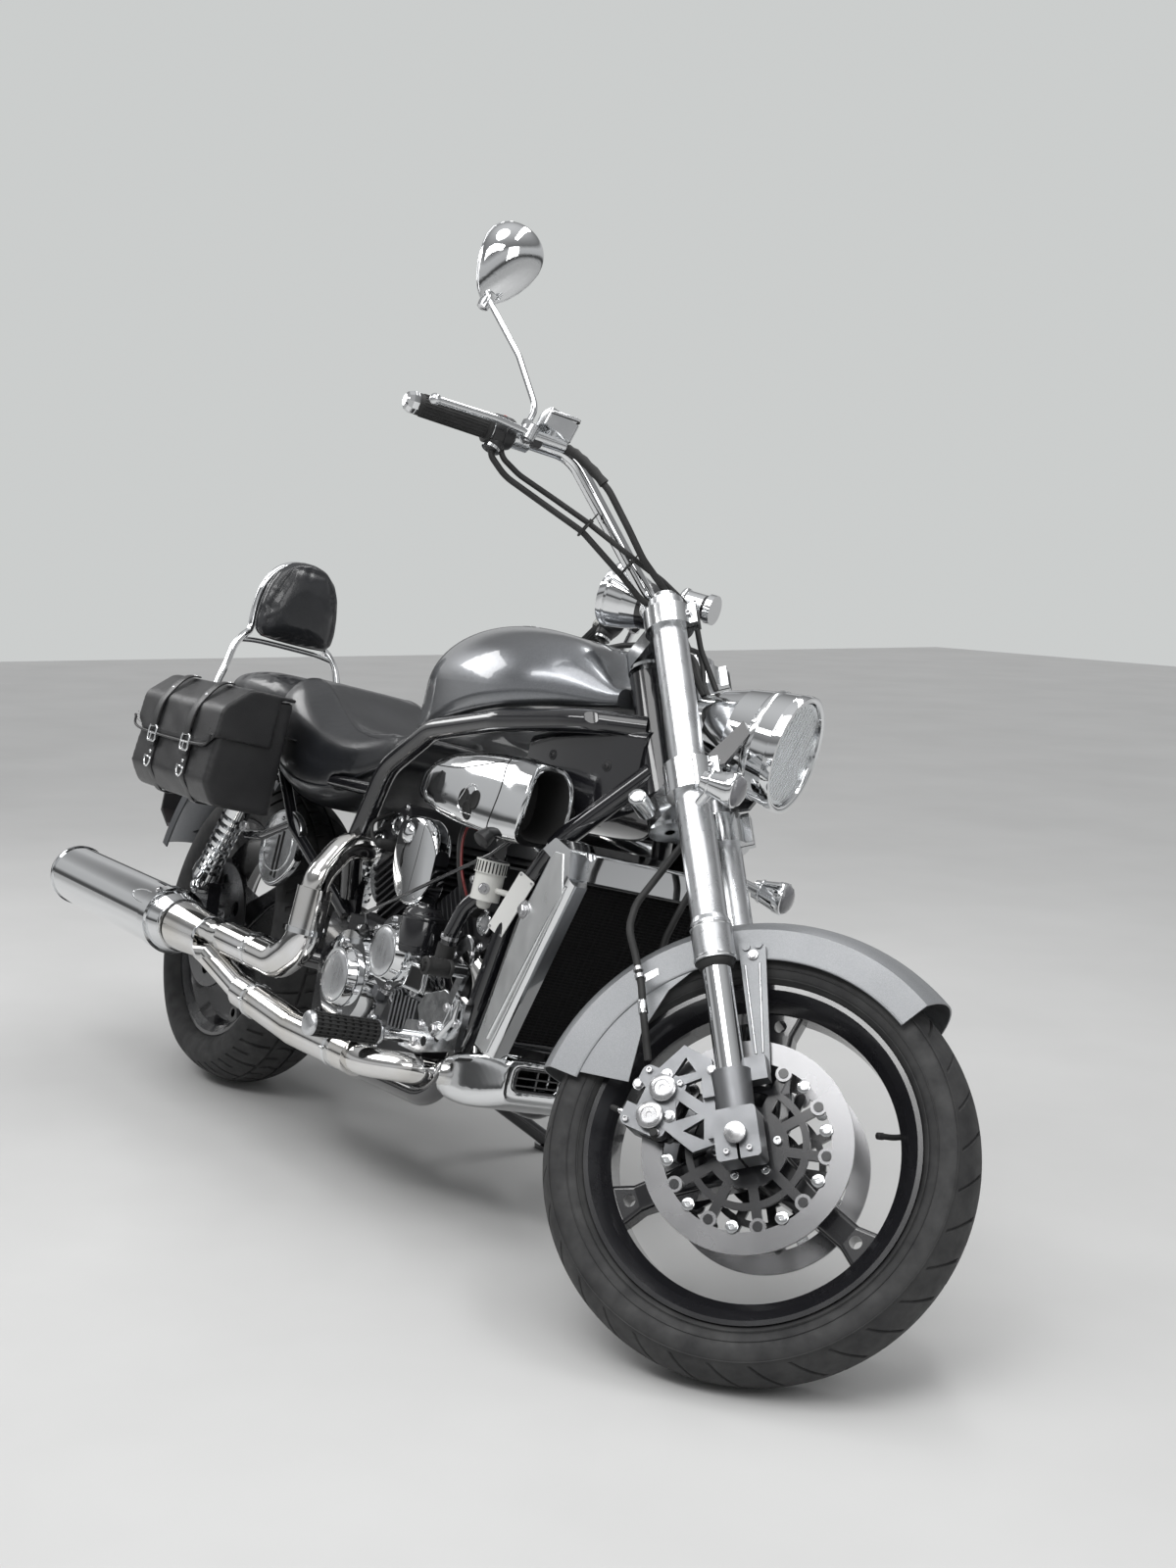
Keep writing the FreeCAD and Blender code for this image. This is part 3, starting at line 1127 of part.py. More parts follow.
CLAMP_SWEEP_R = 42.0
TANK = [
    (612, 62, 788, 896, 18, 50), (660, 96, 784, 958, 20, 80), (760, 132, 800, 996, 24, 108),
    (900, 154, 838, 1010, 26, 120), (1010, 152, 860, 1004, 26, 110), (1096, 122, 876, 984, 24, 80),
    (1152, 76, 888, 944, 14, 36), (1192, 42, 898, 928, 10, 14),
]
RIDER_SEAT = [
    (128, 118, 720, 806, 20, 50), (180, 150, 668, 842, 50, 60), (250, 166, 628, 846, 80, 66),
    (350, 168, 610, 806, 90, 60), (450, 150, 628, 768, 80, 50), (550, 118, 684, 776, 40, 40),
    (604, 84, 726, 784, 24, 26),
]
PASSENGER_SEAT = [
    (-250, 70, 776, 812, 10, 22), (-190, 104, 772, 838, 12, 34), (-60, 120, 766, 852, 14, 40),
    (60, 112, 762, 846, 14, 38), (122, 96, 756, 830, 14, 34),
]


CAP_AT = at(850, 0, 986)
CAP_R = 33.0


def build_tank_and_seats(frame, barrels):
    solids = Part.makeCompound([frame] + barrels)
    head_room = rod(axis_point(HEAD_LOW), axis_point(HEAD_HIGH + 2), HEAD_TUBE_R + SEAT_GAP)
    clamp_room = rod(axis_point(HEAD_HIGH), axis_point(UPPER_CLAMP_Z + 80), CLAMP_SWEEP_R)
    tank = lofted(TANK).cut(solids).cut(head_room).cut(clamp_room)
    tank = biggest(tank)
    keep("fuel_tank", tank, AT_REST)
    cap = fused([rod(CAP_AT, CAP_AT + Z_AXIS * 24, CAP_R),
                 taper(CAP_AT + Z_AXIS * 24, CAP_AT + Z_AXIS * 27, CAP_R, CAP_R - 5)])
    keep("fuel_cap", biggest(cap.cut(tank)), AT_REST)
    rider = lofted(RIDER_SEAT)
    rear_room = rider.cut(solids)
    fender = rear_fender_shape()
    rear_room = rear_room.cut(fender)
    passenger = lofted(PASSENGER_SEAT).cut(rider).cut(solids).cut(fender)
    keep("rider_seat", biggest(rear_room), AT_REST)
    keep("passenger_seat", biggest(passenger), AT_REST)


REAR_FENDER_R = REAR_TYRE_R + 69.1
REAR_FENDER_HALF = 112.0
REAR_FENDER_AT = (-10.0, REAR_TYRE_R + 37.1)
REAR_FENDER_BACK = REAR_FENDER_AT[0] - REAR_FENDER_R
FLAP_HALF = 92.0


def rear_fender_shape():
    band = fender_band(REAR_FENDER_R, REAR_FENDER_HALF, 318.0, 40.0, 3.0, -76.0, 34.0)
    band.translate(at(REAR_FENDER_AT[0], 0, REAR_FENDER_AT[1]))
    return band


def build_rear_fender(frame):
    back = REAR_FENDER_BACK
    flap = plate_y([(back + 6, 470), (back + 10, 470), (back - 46, 505), (back - 52, 560), (back - 56, 560),
                    (back - 52, 500)], -FLAP_HALF, FLAP_HALF)
    mount = block(at(back - 1, -40, 468), at(back + 26, 40, 496))
    whole = fused([rear_fender_shape(), mount, flap]).cut(frame)
    keep("rear_fender", biggest(whole), AT_REST)
    lamp = lofted([(back - 58, 34, 640, 672, 10, 14), (back - 6, 56, 622, 694, 16, 24),
                   (back + 64, 60, 610, 706, 16, 24)])
    lamp = lamp.cut(rod(at(REAR_FENDER_AT[0], -200, REAR_FENDER_AT[1]),
                        at(REAR_FENDER_AT[0], 200, REAR_FENDER_AT[1]), REAR_FENDER_R))
    stalks = []
    for s in (-1, 1):
        stalk = rod(at(back - 1, s * 40, 600), at(back - 1, s * 130, 600), 8.0)
        body = taper(at(back + 14, s * 150, 600), at(back - 18, s * 150, 600), 16.0, 25.0)
        lens = rod(at(back - 18, s * 150, 600), at(back - 30, s * 150, 600), 25.0)
        stalks.append(fused([stalk, body, lens]).cut(whole))
    keep("rear_lamps", gathered([biggest(lamp)] + [biggest(stalk) for stalk in stalks]), AT_REST)


SISSY_FOOT = (-160.0, 144.0, 768.0)
PAD_X = -172.0


def build_backrest(frame):
    """The bent chrome bar, its cross brace and the arch-shaped pad."""
    y = SISSY_FOOT[1] + 6
    half = [(-150, y, 770), (-168, 162, 850), (-186, 150, 930), (-206, 100, 962), (-196, 92, 1040)]
    top = [(-186, 56, 1092)]
    right = [(x, -yy, z) for x, yy, z in half + top]
    left = [(x, yy, z) for x, yy, z in reversed(half + top)]
    hoop = pipe(right + left, 8.0, 40.0)
    brace = rod(at(-190, -136, 938), at(-190, 136, 938), 6.0)
    feet = [block(at(-185, s * SISSY_FOOT[1] - 4, 756), at(-60, s * SISSY_FOOT[1] + 14, 786)) for s in (-1, 1)]
    bar = fused([hoop, brace] + feet).cut(frame)
    keep("sissy_bar", biggest(bar), AT_REST)
    outline = [(-104, 956), (104, 956), (116, 975), (112, 1030), (92, 1078), (50, 1104), (-50, 1104),
               (-92, 1078), (-112, 1030), (-116, 975)]
    face = Part.Face(closed_wire([at(PAD_X - 20, yy, z) for yy, z in outline]))
    pad = face.extrude(at(44, 0, 0))
    pad = pad.makeChamfer(9.0, [e for e in pad.Edges if e.CenterOfMass.x > PAD_X + 20])
    keep("backrest_pad", biggest(pad.cut(bar)), AT_REST)


def build_side_covers(frame):
    """Oval chrome covers below the seat."""
    rows = [(205, 8, 500, 545, 6, 6), (255, 9, 440, 585, 7, 7), (320, 9, 450, 590, 7, 7), (368, 8, 500, 560, 6, 6)]
    right = Part.makeLoft([rounded_section(*row, -126) for row in rows], True, False)
    right = biggest(right.cut(frame))
    keep("side_covers", gathered(both_sides(right)), AT_REST)


# Intake scoops, radiator and chrome shrouds

SCOOP_IN = 93.0


def scoop(avoid):
    """The chrome intake scoop: pointed behind, open mouth ahead."""
    rows = [(782, 6, 694, 714, 5, 5), (860, 24, 676, 752, 10, 16), (1000, 44, 656, 782, 12, 24),
            (1120, 47, 648, 786, 12, 24), (1215, 45, 652, 778, 12, 22)]
    wires = []
    for x, half, low, high, r_low, r_high in rows:
        wires.append(rounded_section(x, half, low, high, r_low, r_high, -(SCOOP_IN + half)))
    body = Part.makeLoft(wires, True, False)
    mouth = [rounded_section(x, 36, 668, 764, 8, 16, -(SCOOP_IN + 45)) for x in (1150, 1230)]
    body = body.cut(Part.makeLoft(mouth, True, True))
    recess = [rod(at(958 + dx, -210, 716 + dz), at(958 + dx, -SCOOP_IN - 72, 716 + dz), 15.0)
              for dx, dz in ((-20, 2), (20, 2), (0, -14))]
    body = body.cut(Part.makeCompound(recess))
    return body.cut(avoid)


def build_scoops(frame, barrels):
    avoid = Part.makeCompound([frame] + barrels)
    right = biggest(scoop(avoid))
    keep("intake_scoops", gathered(both_sides(right)), AT_REST)


RADIATOR_ROOM = 145.4
RADIATOR_HALF = 124.0
SHROUD_HALF = 160.0
RAD_LOW = (WHEELBASE - FRONT_TYRE_R - RADIATOR_ROOM, 345.0)
RAD_HIGH = (RAD_LOW[0] + 98.0, 625.0)


def leaning_box(half_y, low, high, front, back):
    """A box along the radiator's slope, from `back` behind its front face to `front` ahead."""
    (x0, z0), (x1, z1) = low, high
    return plate_y([(x0 + front, z0), (x1 + front, z1), (x1 - back, z1), (x0 - back, z0)], -half_y, half_y)


def build_radiator(frame, room):
    x = RAD_LOW[0]
    core = leaning_box(RADIATOR_HALF, RAD_LOW, RAD_HIGH, 0, 42)
    top_tank = rod(at(x + 74, -RADIATOR_HALF, 632), at(x + 74, RADIATOR_HALF, 632), 20.0)
    fan = rod(at(x, 0, 480), at(x - 36, 0, 492), 90.0)
    radiator = fused([core, top_tank, fan])
    stays = [rod(at(x + 30, s * 100, 600), at(x - 36, s * 104, 640), 9.0) for s in (-1, 1)]
    radiator = fused([radiator] + stays).cut(frame)
    keep("radiator", biggest(radiator), AT_REST)
    sides = []
    for s in (-1, 1):
        outline = [(x - 36, 330), (x + 8, 322), (x + 120, 612), (x + 94, 664), (x + 64, 662), (x + 12, 545)]
        side = plate_y(outline, s * (RADIATOR_HALF + 1), s * SHROUD_HALF)
        front = [e for e in side.Edges if e.CenterOfMass.x > x + 50 and e.CenterOfMass.z < 600
                 and abs(e.CenterOfMass.y) > SHROUD_HALF - 1]
        sides.append(side.makeFillet(16.0, front))
    shell = plate_y([(x + 30, 654), (x + 119, 622), (x + 104, 664), (x + 58, 676)], -SHROUD_HALF, SHROUD_HALF)
    ridge = [e for e in shell.Edges if abs(e.tangentAt(0).y) > 0.9 and e.CenterOfMass.z > 660]
    shell = shell.makeFillet(9.0, ridge)
    shroud = fused(sides + [shell]).cut(radiator).cut(frame).cut(room)
    keep("radiator_shroud", biggest(shroud), AT_REST)
    rows = [(985, 96, 232, 262, 12, 6), (1080, 136, 222, 290, 20, 8), (1180, 142, 232, 318, 24, 10),
            (1252, 126, 258, 326, 20, 16)]
    pan = lofted(rows).cut(frame).cut(shroud)
    vents = [block(at(1225, s * 66 - 40, 280), at(1300, s * 66 + 40, 312)) for s in (-1, 1)]
    pan = pan.cut(Part.makeCompound(vents))
    keep("belly_pan", biggest(pan), AT_REST)


# Exhaust

MUFFLER_Y = -250.0
MUFFLER_Z = 324.0
MUFFLER_R = 62.0
HEADER_R = 25.0
SLIVER = 15000.0


def build_exhaust(avoid):
    rear = [(596, -84, 566), (600, -150, 566), (622, -202, 500), (620, -204, 372), (560, -208, 330),
            (330, -222, 332), (205, -240, 328)]
    down = [(1006, -84, 446), (1046, -72, 420), (1046, -60, 264)]
    front = [(1010, -70, 246), (985, -158, 245), (946, -205, 239), (690, -210, 235), (450, -216, 252),
             (300, -228, 290), (200, -246, 316)]
    shields = Part.makeCompound([
        pipe([(625, -203, 478), (624, -205, 372), (560, -209, 328), (352, -221, 331)], HEADER_R + 7, 60.0),
        pipe([(920, -206, 238.6), (690, -211, 235), (460, -216, 251)], HEADER_R + 6, 60.0)])
    collector = taper(at(305, -232, 319), at(200, MUFFLER_Y + 1, MUFFLER_Z), 42.0, 49.0)
    rear_pipe = pipe(rear, HEADER_R, 60.0).cut(shields).cut(collector)
    front_pipe = pipe(front, HEADER_R, 60.0).cut(shields).cut(collector).cut(rear_pipe)
    pieces = [collector] + [shield.cut(collector) for shield in shields.Solids] + [rear_pipe, front_pipe]
    pieces.append(pipe(down, HEADER_R, 60.0))
    cone = taper(at(196, MUFFLER_Y, MUFFLER_Z), at(140, MUFFLER_Y, MUFFLER_Z), 50.0, MUFFLER_R)
    body = rod(at(140, MUFFLER_Y, MUFFLER_Z), at(-432, MUFFLER_Y, MUFFLER_Z), MUFFLER_R)
    band = rod(at(150, MUFFLER_Y, MUFFLER_Z), at(120, MUFFLER_Y, MUFFLER_Z), MUFFLER_R + 4)
    tip = rod(at(-433, MUFFLER_Y, MUFFLER_Z), at(-372, MUFFLER_Y, MUFFLER_Z), MUFFLER_R - 8)
    outlet = rod(at(-373, MUFFLER_Y, MUFFLER_Z), at(-300, MUFFLER_Y, MUFFLER_Z), 20.0)
    hanger = plate_y([(215, 350), (250, 350), (262, 552), (236, 552)], -196, -190)
    lug = rod(at(248, -196, 540), at(248, -130, 540), 8.0)
    muffler = fused([cone, body, band, hanger, lug]).cut(tip).cut(outlet).cut(avoid)
    lengths = []
    for piece in pieces:
        lengths += [solid for solid in piece.cut(avoid).cut(muffler).Solids if solid.Volume > SLIVER]
    keep("muffler", biggest(muffler), AT_REST)
    keep("exhaust_headers", gathered(lengths), AT_REST)


# Foot controls and side stand

PEG_X = 950.0
PEG_Z = 290.0


def foot_control():
    """The left forward control: bracket, lever with its pad, and the peg's stub."""
    bracket = plate_y([(930, 272), (990, 272), (1110, 302), (1116, 380), (1088, 388), (1010, 330),
                       (940, 318)], 129, 141)
    tie = rod(at(1096, 100, 345), at(1096, 141, 345), 12.0)
    stub = rod(at(PEG_X, 130, PEG_Z), at(PEG_X, 212, PEG_Z), 11.0)
    arm = plate_y([(1052, 322), (1074, 330), (1112, 430), (1094, 436)], 145, 153)
    pivot = rod(at(1062, 135, 326), at(1062, 157, 326), 13.0)
    pad = rod(at(1102, 150, 430), at(1102, 226, 430), 11.0)
    return fused([bracket, tie, stub, arm, pivot, pad])


def peg_rubber():
    rubber = rod(at(PEG_X, 196, PEG_Z), at(PEG_X, 320, PEG_Z), 19.0)
    ribs = []
    for i in range(8):
        y = 206 + i * 14
        groove = rod(at(PEG_X, y, PEG_Z), at(PEG_X, y + 5, PEG_Z), 30.0)
        groove = groove.cut(rod(at(PEG_X, y - 1, PEG_Z), at(PEG_X, y + 6, PEG_Z), 16.5))
        ribs.append(groove)
    rubber = rubber.cut(Part.makeCompound(ribs))
    return rubber


def build_foot_controls(frame):
    left = foot_control()
    right = mirrored(left)
    pieces = [piece.cut(frame) for piece in (left, right)]
    keep("foot_controls", gathered([biggest(piece) for piece in pieces]), AT_REST)
    stubs = Part.makeCompound(pieces)
    rubber = peg_rubber()
    keep("footpeg_rubbers", gathered([piece.cut(stubs) for piece in both_sides(rubber)]), AT_REST)


STAND_PIVOT = (705.0, 152.0, 186.0)
STAND_FOOT = (748.0, 352.0)
STAND_R = 14.0


def build_side_stand(frame):
    """The stand reaches from its bracket to the ground, drawn in the leaning position."""
    pivot = AT_REST.multVec(at(*STAND_PIVOT))
    foot = at(STAND_FOOT[0] - MIDDLE_X, STAND_FOOT[1] - MIDDLE_Y, 9)
    leg = rod(pivot, foot, STAND_R)
    reach = (foot - pivot).normalize()
    hinge = reach.cross(at(-1, 0, 0)).normalize()
    hub = rod(pivot - hinge * 12, pivot + hinge * 12, 19.0)
    pad = block(foot + at(-32, -26, -9), foot + at(32, 30, 1))
    pad = pad.makeFillet(10.0, [e for e in pad.Edges if abs(e.tangentAt(0).z) > 0.9])
    stand = fused([leg, hub, pad])
    ground = block(foot + at(-200, -200, -59), foot + at(200, 200, -9))
    stand = stand.cut(ground)
    bolt = rod(pivot - hinge * 40, pivot + hinge * 30, 7.0)
    stand = stand.cut(rod(pivot - hinge * 40, pivot + hinge * 40, 7.0 + RUNNING_GAP))
    nodes["side_stand"] = stand
    ears = []
    for s in (-1, 1):
        a = pivot + hinge * (s * 15.0)
        b = pivot + hinge * (s * 22.0)
        ears.append(rod(a, b, 19.0))
    carrier = at(STAND_PIVOT[0], CRADLE_Y, STAND_PIVOT[2] + 4)
    world = AT_REST.multVec(carrier)
    links = [rod(world, pivot + hinge * (s * 18.5), 8.0) for s in (-1, 1)]
    swing = rod(pivot - hinge * 15, pivot + hinge * 15, 27.0)
    placed_frame = frame.copy()
    placed_frame.Placement = AT_REST.multiply(placed_frame.Placement)
    clevis = fused(ears + links).cut(swing)
    nodes["frame"] = fused([placed_frame, clevis, bolt])


# Saddlebags

BAG_IN = 214.0
BAG_OUT = 358.0
BAG_X0 = 2.0
BAG_X1 = 388.0
BAG_LOW = 572.0
BAG_HIGH = 792.0
BAG_WALL = 8.0
BAG_CORNER = 20.0
LID_T = 7.0
LID_GAP = 1.0


def bag_outline(grow, low, high):
    """The bag seen from behind, as (y, z) corners: bellied out below, narrow at the top."""
    return [
        (BAG_IN - grow, low), (BAG_OUT - 26 + grow, low), (BAG_OUT + grow, low + 40),
        (BAG_OUT - 10 + grow, high - 46), (BAG_OUT - 60 + grow, high), (BAG_IN - grow, high)]


def bag_form(grow, low, high, x0, x1, radius):
    """A block of the bag's outline with its outer long edges and upright corners rounded."""
    face = Part.Face(closed_wire([at(x0, y, z) for y, z in bag_outline(grow, low, high)]))
    form = face.extrude(at(x1 - x0, 0, 0))
    outer = [e for e in form.Edges if abs(e.tangentAt(0).x) > 0.9 and e.CenterOfMass.y > BAG_IN + 30]
    return form.makeFillet(radius, outer)


def build_bags():
    shell = bag_form(0, BAG_LOW, BAG_HIGH, BAG_X0, BAG_X1, BAG_CORNER)
    room = bag_form(-BAG_WALL, BAG_LOW + BAG_WALL, BAG_HIGH + BAG_WALL + 2, BAG_X0 + BAG_WALL,
                    BAG_X1 - BAG_WALL, BAG_CORNER - BAG_WALL)
    straps = [block(at(x, 196, 640), at(x + 24, BAG_IN, 700)) for x in (60, 300)]
    bag = fused([shell.cut(room)] + straps)
    over = LID_T + LID_GAP
    cover = bag_form(over, BAG_LOW, BAG_HIGH + over, BAG_X0 - over, BAG_X1 + over, BAG_CORNER + over)
    hollow = bag_form(LID_GAP, BAG_LOW - 20, BAG_HIGH + LID_GAP, BAG_X0 - LID_GAP, BAG_X1 + LID_GAP,
                      BAG_CORNER + LID_GAP)
    keep_zone = plate_y([(BAG_X0 - over, 700), (BAG_X0 + 40, 676), (BAG_X1 - 40, 676), (BAG_X1 + over, 700),
                         (BAG_X1 + over, 830), (BAG_X0 - over, 830)], BAG_IN + 30, BAG_OUT + 20)
    lid = cover.cut(hollow).common(keep_zone)
    top = cover.cut(hollow).common(block(at(BAG_X0 - over, BAG_IN, BAG_HIGH), at(BAG_X1 + over, BAG_OUT, 840)))
    lid = biggest(fused([lid, top]))
    keep("left_bag", bag, AT_REST)
    keep("right_bag", mirrored(bag), AT_REST)
    keep("left_bag_lid", lid, AT_REST)
    keep("right_bag_lid", mirrored(lid), AT_REST)


def fork_room():
    """What the fork's outer tubes need to themselves at both ends of the steering."""
    at_lock = AT_REST.inverse().multiply(STEERED)
    tubes = []
    for side in (-1, 1):
        tube = rod(at(0, side * LEG_Y, OUTER_LOW), at(0, side * LEG_Y, OUTER_TOP), OUTER_R + MOVING_GAP)
        tube.Placement = at_lock.multiply(tube.Placement)
        tubes += both_sides(tube)
    return Part.makeCompound(tubes)


def build_chassis():
    room = fork_room()
    frame = biggest(build_frame().cut(room))
    build_swingarm()
    arm = in_frame("swingarm", AT_REST)
    build_rear_caliper(arm)
    build_shocks(Part.makeCompound([frame, arm]))
    build_belt()
    barrels, case = build_engine(frame)
    build_coolant(Part.makeCompound([frame, case] + barrels))
    build_tank_and_seats(frame, barrels)
    build_rear_fender(frame)
    build_backrest(frame)
    build_side_covers(frame)
    build_scoops(frame, barrels)
    build_radiator(frame, room)
    build_exhaust(Part.makeCompound([frame, case, in_frame("belly_pan", AT_REST)] + barrels))
    build_foot_controls(frame)
    build_side_stand(frame)
    build_bags()


def export_all():
    os.makedirs("parts", exist_ok=True)
    for name, shape in nodes.items():
        shape.exportStep("parts/" + name + ".step")
        print(name, "solids", len(shape.Solids), "volume %.0f" % shape.Volume, "valid", shape.isValid())


build_front_wheel()
build_rear_wheel()
foot, outer, upper = build_fork()
build_calipers(foot)
build_front_fender()
build_grips()
build_hand_controls()
build_mirrors()
build_steering_trim(build_headlight(), outer, upper)
build_cables()
build_chassis()
export_all()
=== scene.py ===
"""Cruiser motorcycle on its side stand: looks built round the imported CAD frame."""
import math

import bmesh
import bpy
from mathutils import Matrix, Vector


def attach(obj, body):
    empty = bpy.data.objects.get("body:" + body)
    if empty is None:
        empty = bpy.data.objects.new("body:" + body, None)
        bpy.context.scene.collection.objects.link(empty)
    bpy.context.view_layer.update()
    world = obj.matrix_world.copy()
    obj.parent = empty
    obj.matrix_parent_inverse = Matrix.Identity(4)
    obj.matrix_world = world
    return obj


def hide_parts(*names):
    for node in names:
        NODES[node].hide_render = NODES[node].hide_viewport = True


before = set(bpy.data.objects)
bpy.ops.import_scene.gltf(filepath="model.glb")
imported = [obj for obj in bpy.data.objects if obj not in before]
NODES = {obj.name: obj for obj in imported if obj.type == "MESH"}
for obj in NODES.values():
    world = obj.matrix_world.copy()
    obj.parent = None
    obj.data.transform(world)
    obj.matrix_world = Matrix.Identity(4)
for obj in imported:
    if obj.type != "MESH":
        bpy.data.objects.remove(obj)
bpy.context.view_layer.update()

# Placements of the CAD drawing frames in the model frame. Drawing units are millimetres.
UPRIGHT = Matrix((
    (0.9999794, 0.0, 0.0064111, -0.756), (-0.001551, 0.9702957, 0.2419169, -0.140),
    (-0.0062207, -0.2419219, 0.9702758, 0.003689), (0, 0, 0, 1)))
STEERED = Matrix((
    (0.6658352, -0.5202075, -0.5348342, 0.924864), (0.6993329, 0.6849442, 0.2044136, -0.031661),
    (0.2599941, -0.5101329, 0.8198582, 0.280429), (0, 0, 0, 1)))
REAR_WHEEL = UPRIGHT @ Matrix.Translation((0, 0, 0.3149))
MM = 0.001
MACHINE = UPRIGHT @ Matrix.Scale(MM, 4)

# Directions of the drawing frames, and a distance that is outside of the machine.
AHEAD, LEFT, RIGHT, UP = Vector((1, 0, 0)), Vector((0, 1, 0)), Vector((0, -1, 0)), Vector((0, 0, 1))
OUTSIDE = 400


# Camera, floor and light

CAMERA_AT = (3.06849, -1.70618, 1.13846)
CAMERA_RIGHT = Vector((0.53898, 0.842077, 0.020171))
CAMERA_UP = Vector((-0.113473, 0.048859, 0.992339))
CAMERA_LENS = 45.587
CAMERA_SENSOR = 36.0
CAMERA_REACH = 100.0


def camera():
    """The photographer's place, solved from the photo."""
    data = bpy.data.cameras.new("camera")
    data.sensor_width = CAMERA_SENSOR
    data.lens = CAMERA_LENS
    data.clip_end = CAMERA_REACH
    cam = bpy.data.objects.new("camera", data)
    turn = Matrix((CAMERA_RIGHT, CAMERA_UP, CAMERA_RIGHT.cross(CAMERA_UP))).transposed()
    cam.matrix_world = Matrix.Translation(CAMERA_AT) @ turn.to_4x4()
    bpy.context.scene.collection.objects.link(cam)
    bpy.context.scene.camera = cam


def tree(material):
    material.use_nodes = True
    return material.node_tree.nodes, material.node_tree.links


# Greys of the room from below to above, as (share of the height, grey).
ROOM_GREYS = [(0.0, 0.42), (0.47, 0.50), (0.5, 0.09), (0.525, 0.12), (0.56, 0.66), (0.64, 0.74), (0.70, 0.26),
              (0.78, 0.40), (1.0, 0.95)]
ROOM_STRENGTH = 0.70
BACKDROP = (0.60, 0.615, 0.61, 1)


def world_light():
    """A grey room: pale above, a darker band of walls at the horizon, so that bright metal has contrast."""
    world = bpy.data.worlds.new("room")
    bpy.context.scene.world = world
    nodes, links = tree(world)
    background = nodes["Background"]
    where = nodes.new("ShaderNodeTexCoord")
    split = nodes.new("ShaderNodeSeparateXYZ")
    ramp = nodes.new("ShaderNodeValToRGB")
    links.new(where.outputs["Generated"], split.inputs[0])
    scale = nodes.new("ShaderNodeMapRange")
    scale.inputs["From Min"].default_value = -1.0
    links.new(split.outputs["Z"], scale.inputs["Value"])
    links.new(scale.outputs["Result"], ramp.inputs["Fac"])
    for place, grey in ROOM_GREYS:
        stop = ramp.color_ramp.elements.new(place) if place not in (0.0, 1.0) else \
            ramp.color_ramp.elements[0 if place == 0.0 else -1]
        stop.position = place
        stop.color = (grey, grey * 1.01, grey * 1.02, 1)
    links.new(ramp.outputs["Color"], background.inputs["Color"])
    background.inputs["Strength"].default_value = ROOM_STRENGTH
    plain = nodes.new("ShaderNodeBackground")
    plain.inputs["Color"].default_value = BACKDROP
    plain.inputs["Strength"].default_value = 1.0
    rays = nodes.new("ShaderNodeLightPath")
    mix = nodes.new("ShaderNodeMixShader")
    links.new(rays.outputs["Is Camera Ray"], mix.inputs["Fac"])
    links.new(background.outputs[0], mix.inputs[1])
    links.new(plain.outputs[0], mix.inputs[2])
    links.new(mix.outputs[0], nodes["World Output"].inputs["Surface"])


def lamp(name, place, target, size, power):
    data = bpy.data.lights.new(name, "AREA")
    data.shape = "RECTANGLE"
    data.size, data.size_y = size
    data.energy = power
    lamp_object = bpy.data.objects.new(name, data)
    lamp_object.location = place
    aim = Vector(target) - Vector(place)
    lamp_object.rotation_mode = "QUATERNION"
    lamp_object.rotation_quaternion = aim.to_track_quat("-Z", "Y")
    bpy.context.scene.collection.objects.link(lamp_object)


SUN_POWER = 0.9
SUN_SPREAD = math.radians(40)
SUN_TILT = (math.radians(24), math.radians(14), 0)
FLOOR_HALF = 14.0


def studio():
    """The hall's lamps, a wide sun and the plain floor."""
    lamp("tube_a", (0.6, 0.9, 3.2), (0.1, 0.0, 0.5), (3.6, 0.35), 32)
    lamp("tube_b", (0.9, -2.2, 2.9), (0.2, 0.0, 0.5), (3.4, 0.45), 34)
    lamp("front_soft", (3.6, -0.4, 2.3), (0.5, 0.0, 0.6), (1.6, 1.2), 20)
    lamp("rear_soft", (-3.0, -1.2, 2.4), (-0.4, 0.0, 0.6), (1.6, 1.2), 24)
    sky = bpy.data.lights.new("sky_soft", "SUN")
    sky.energy = SUN_POWER
    sky.angle = SUN_SPREAD
    sky_object = bpy.data.objects.new("sky_soft", sky)
    sky_object.rotation_euler = SUN_TILT
    bpy.context.scene.collection.objects.link(sky_object)
    mesh = bpy.data.meshes.new("floor")
    s = FLOOR_HALF
    mesh.from_pydata([(-s, -s, 0), (s, -s, 0), (s, s, 0), (-s, s, 0)], [], [(0, 1, 2, 3)])
    floor = bpy.data.objects.new("floor", mesh)
    bpy.context.scene.collection.objects.link(floor)
    m = Look("floor_concrete", (0.60, 0.60, 0.595), rough=0.72)
    m.tint(m.noise(1.3, 4.0), (0.575, 0.575, 0.57), (0.625, 0.625, 0.62))
    mesh.materials.append(m.material)
    bpy.context.scene.view_settings.view_transform = "Standard"


# Materials

NOISE_ROUGH = 0.55


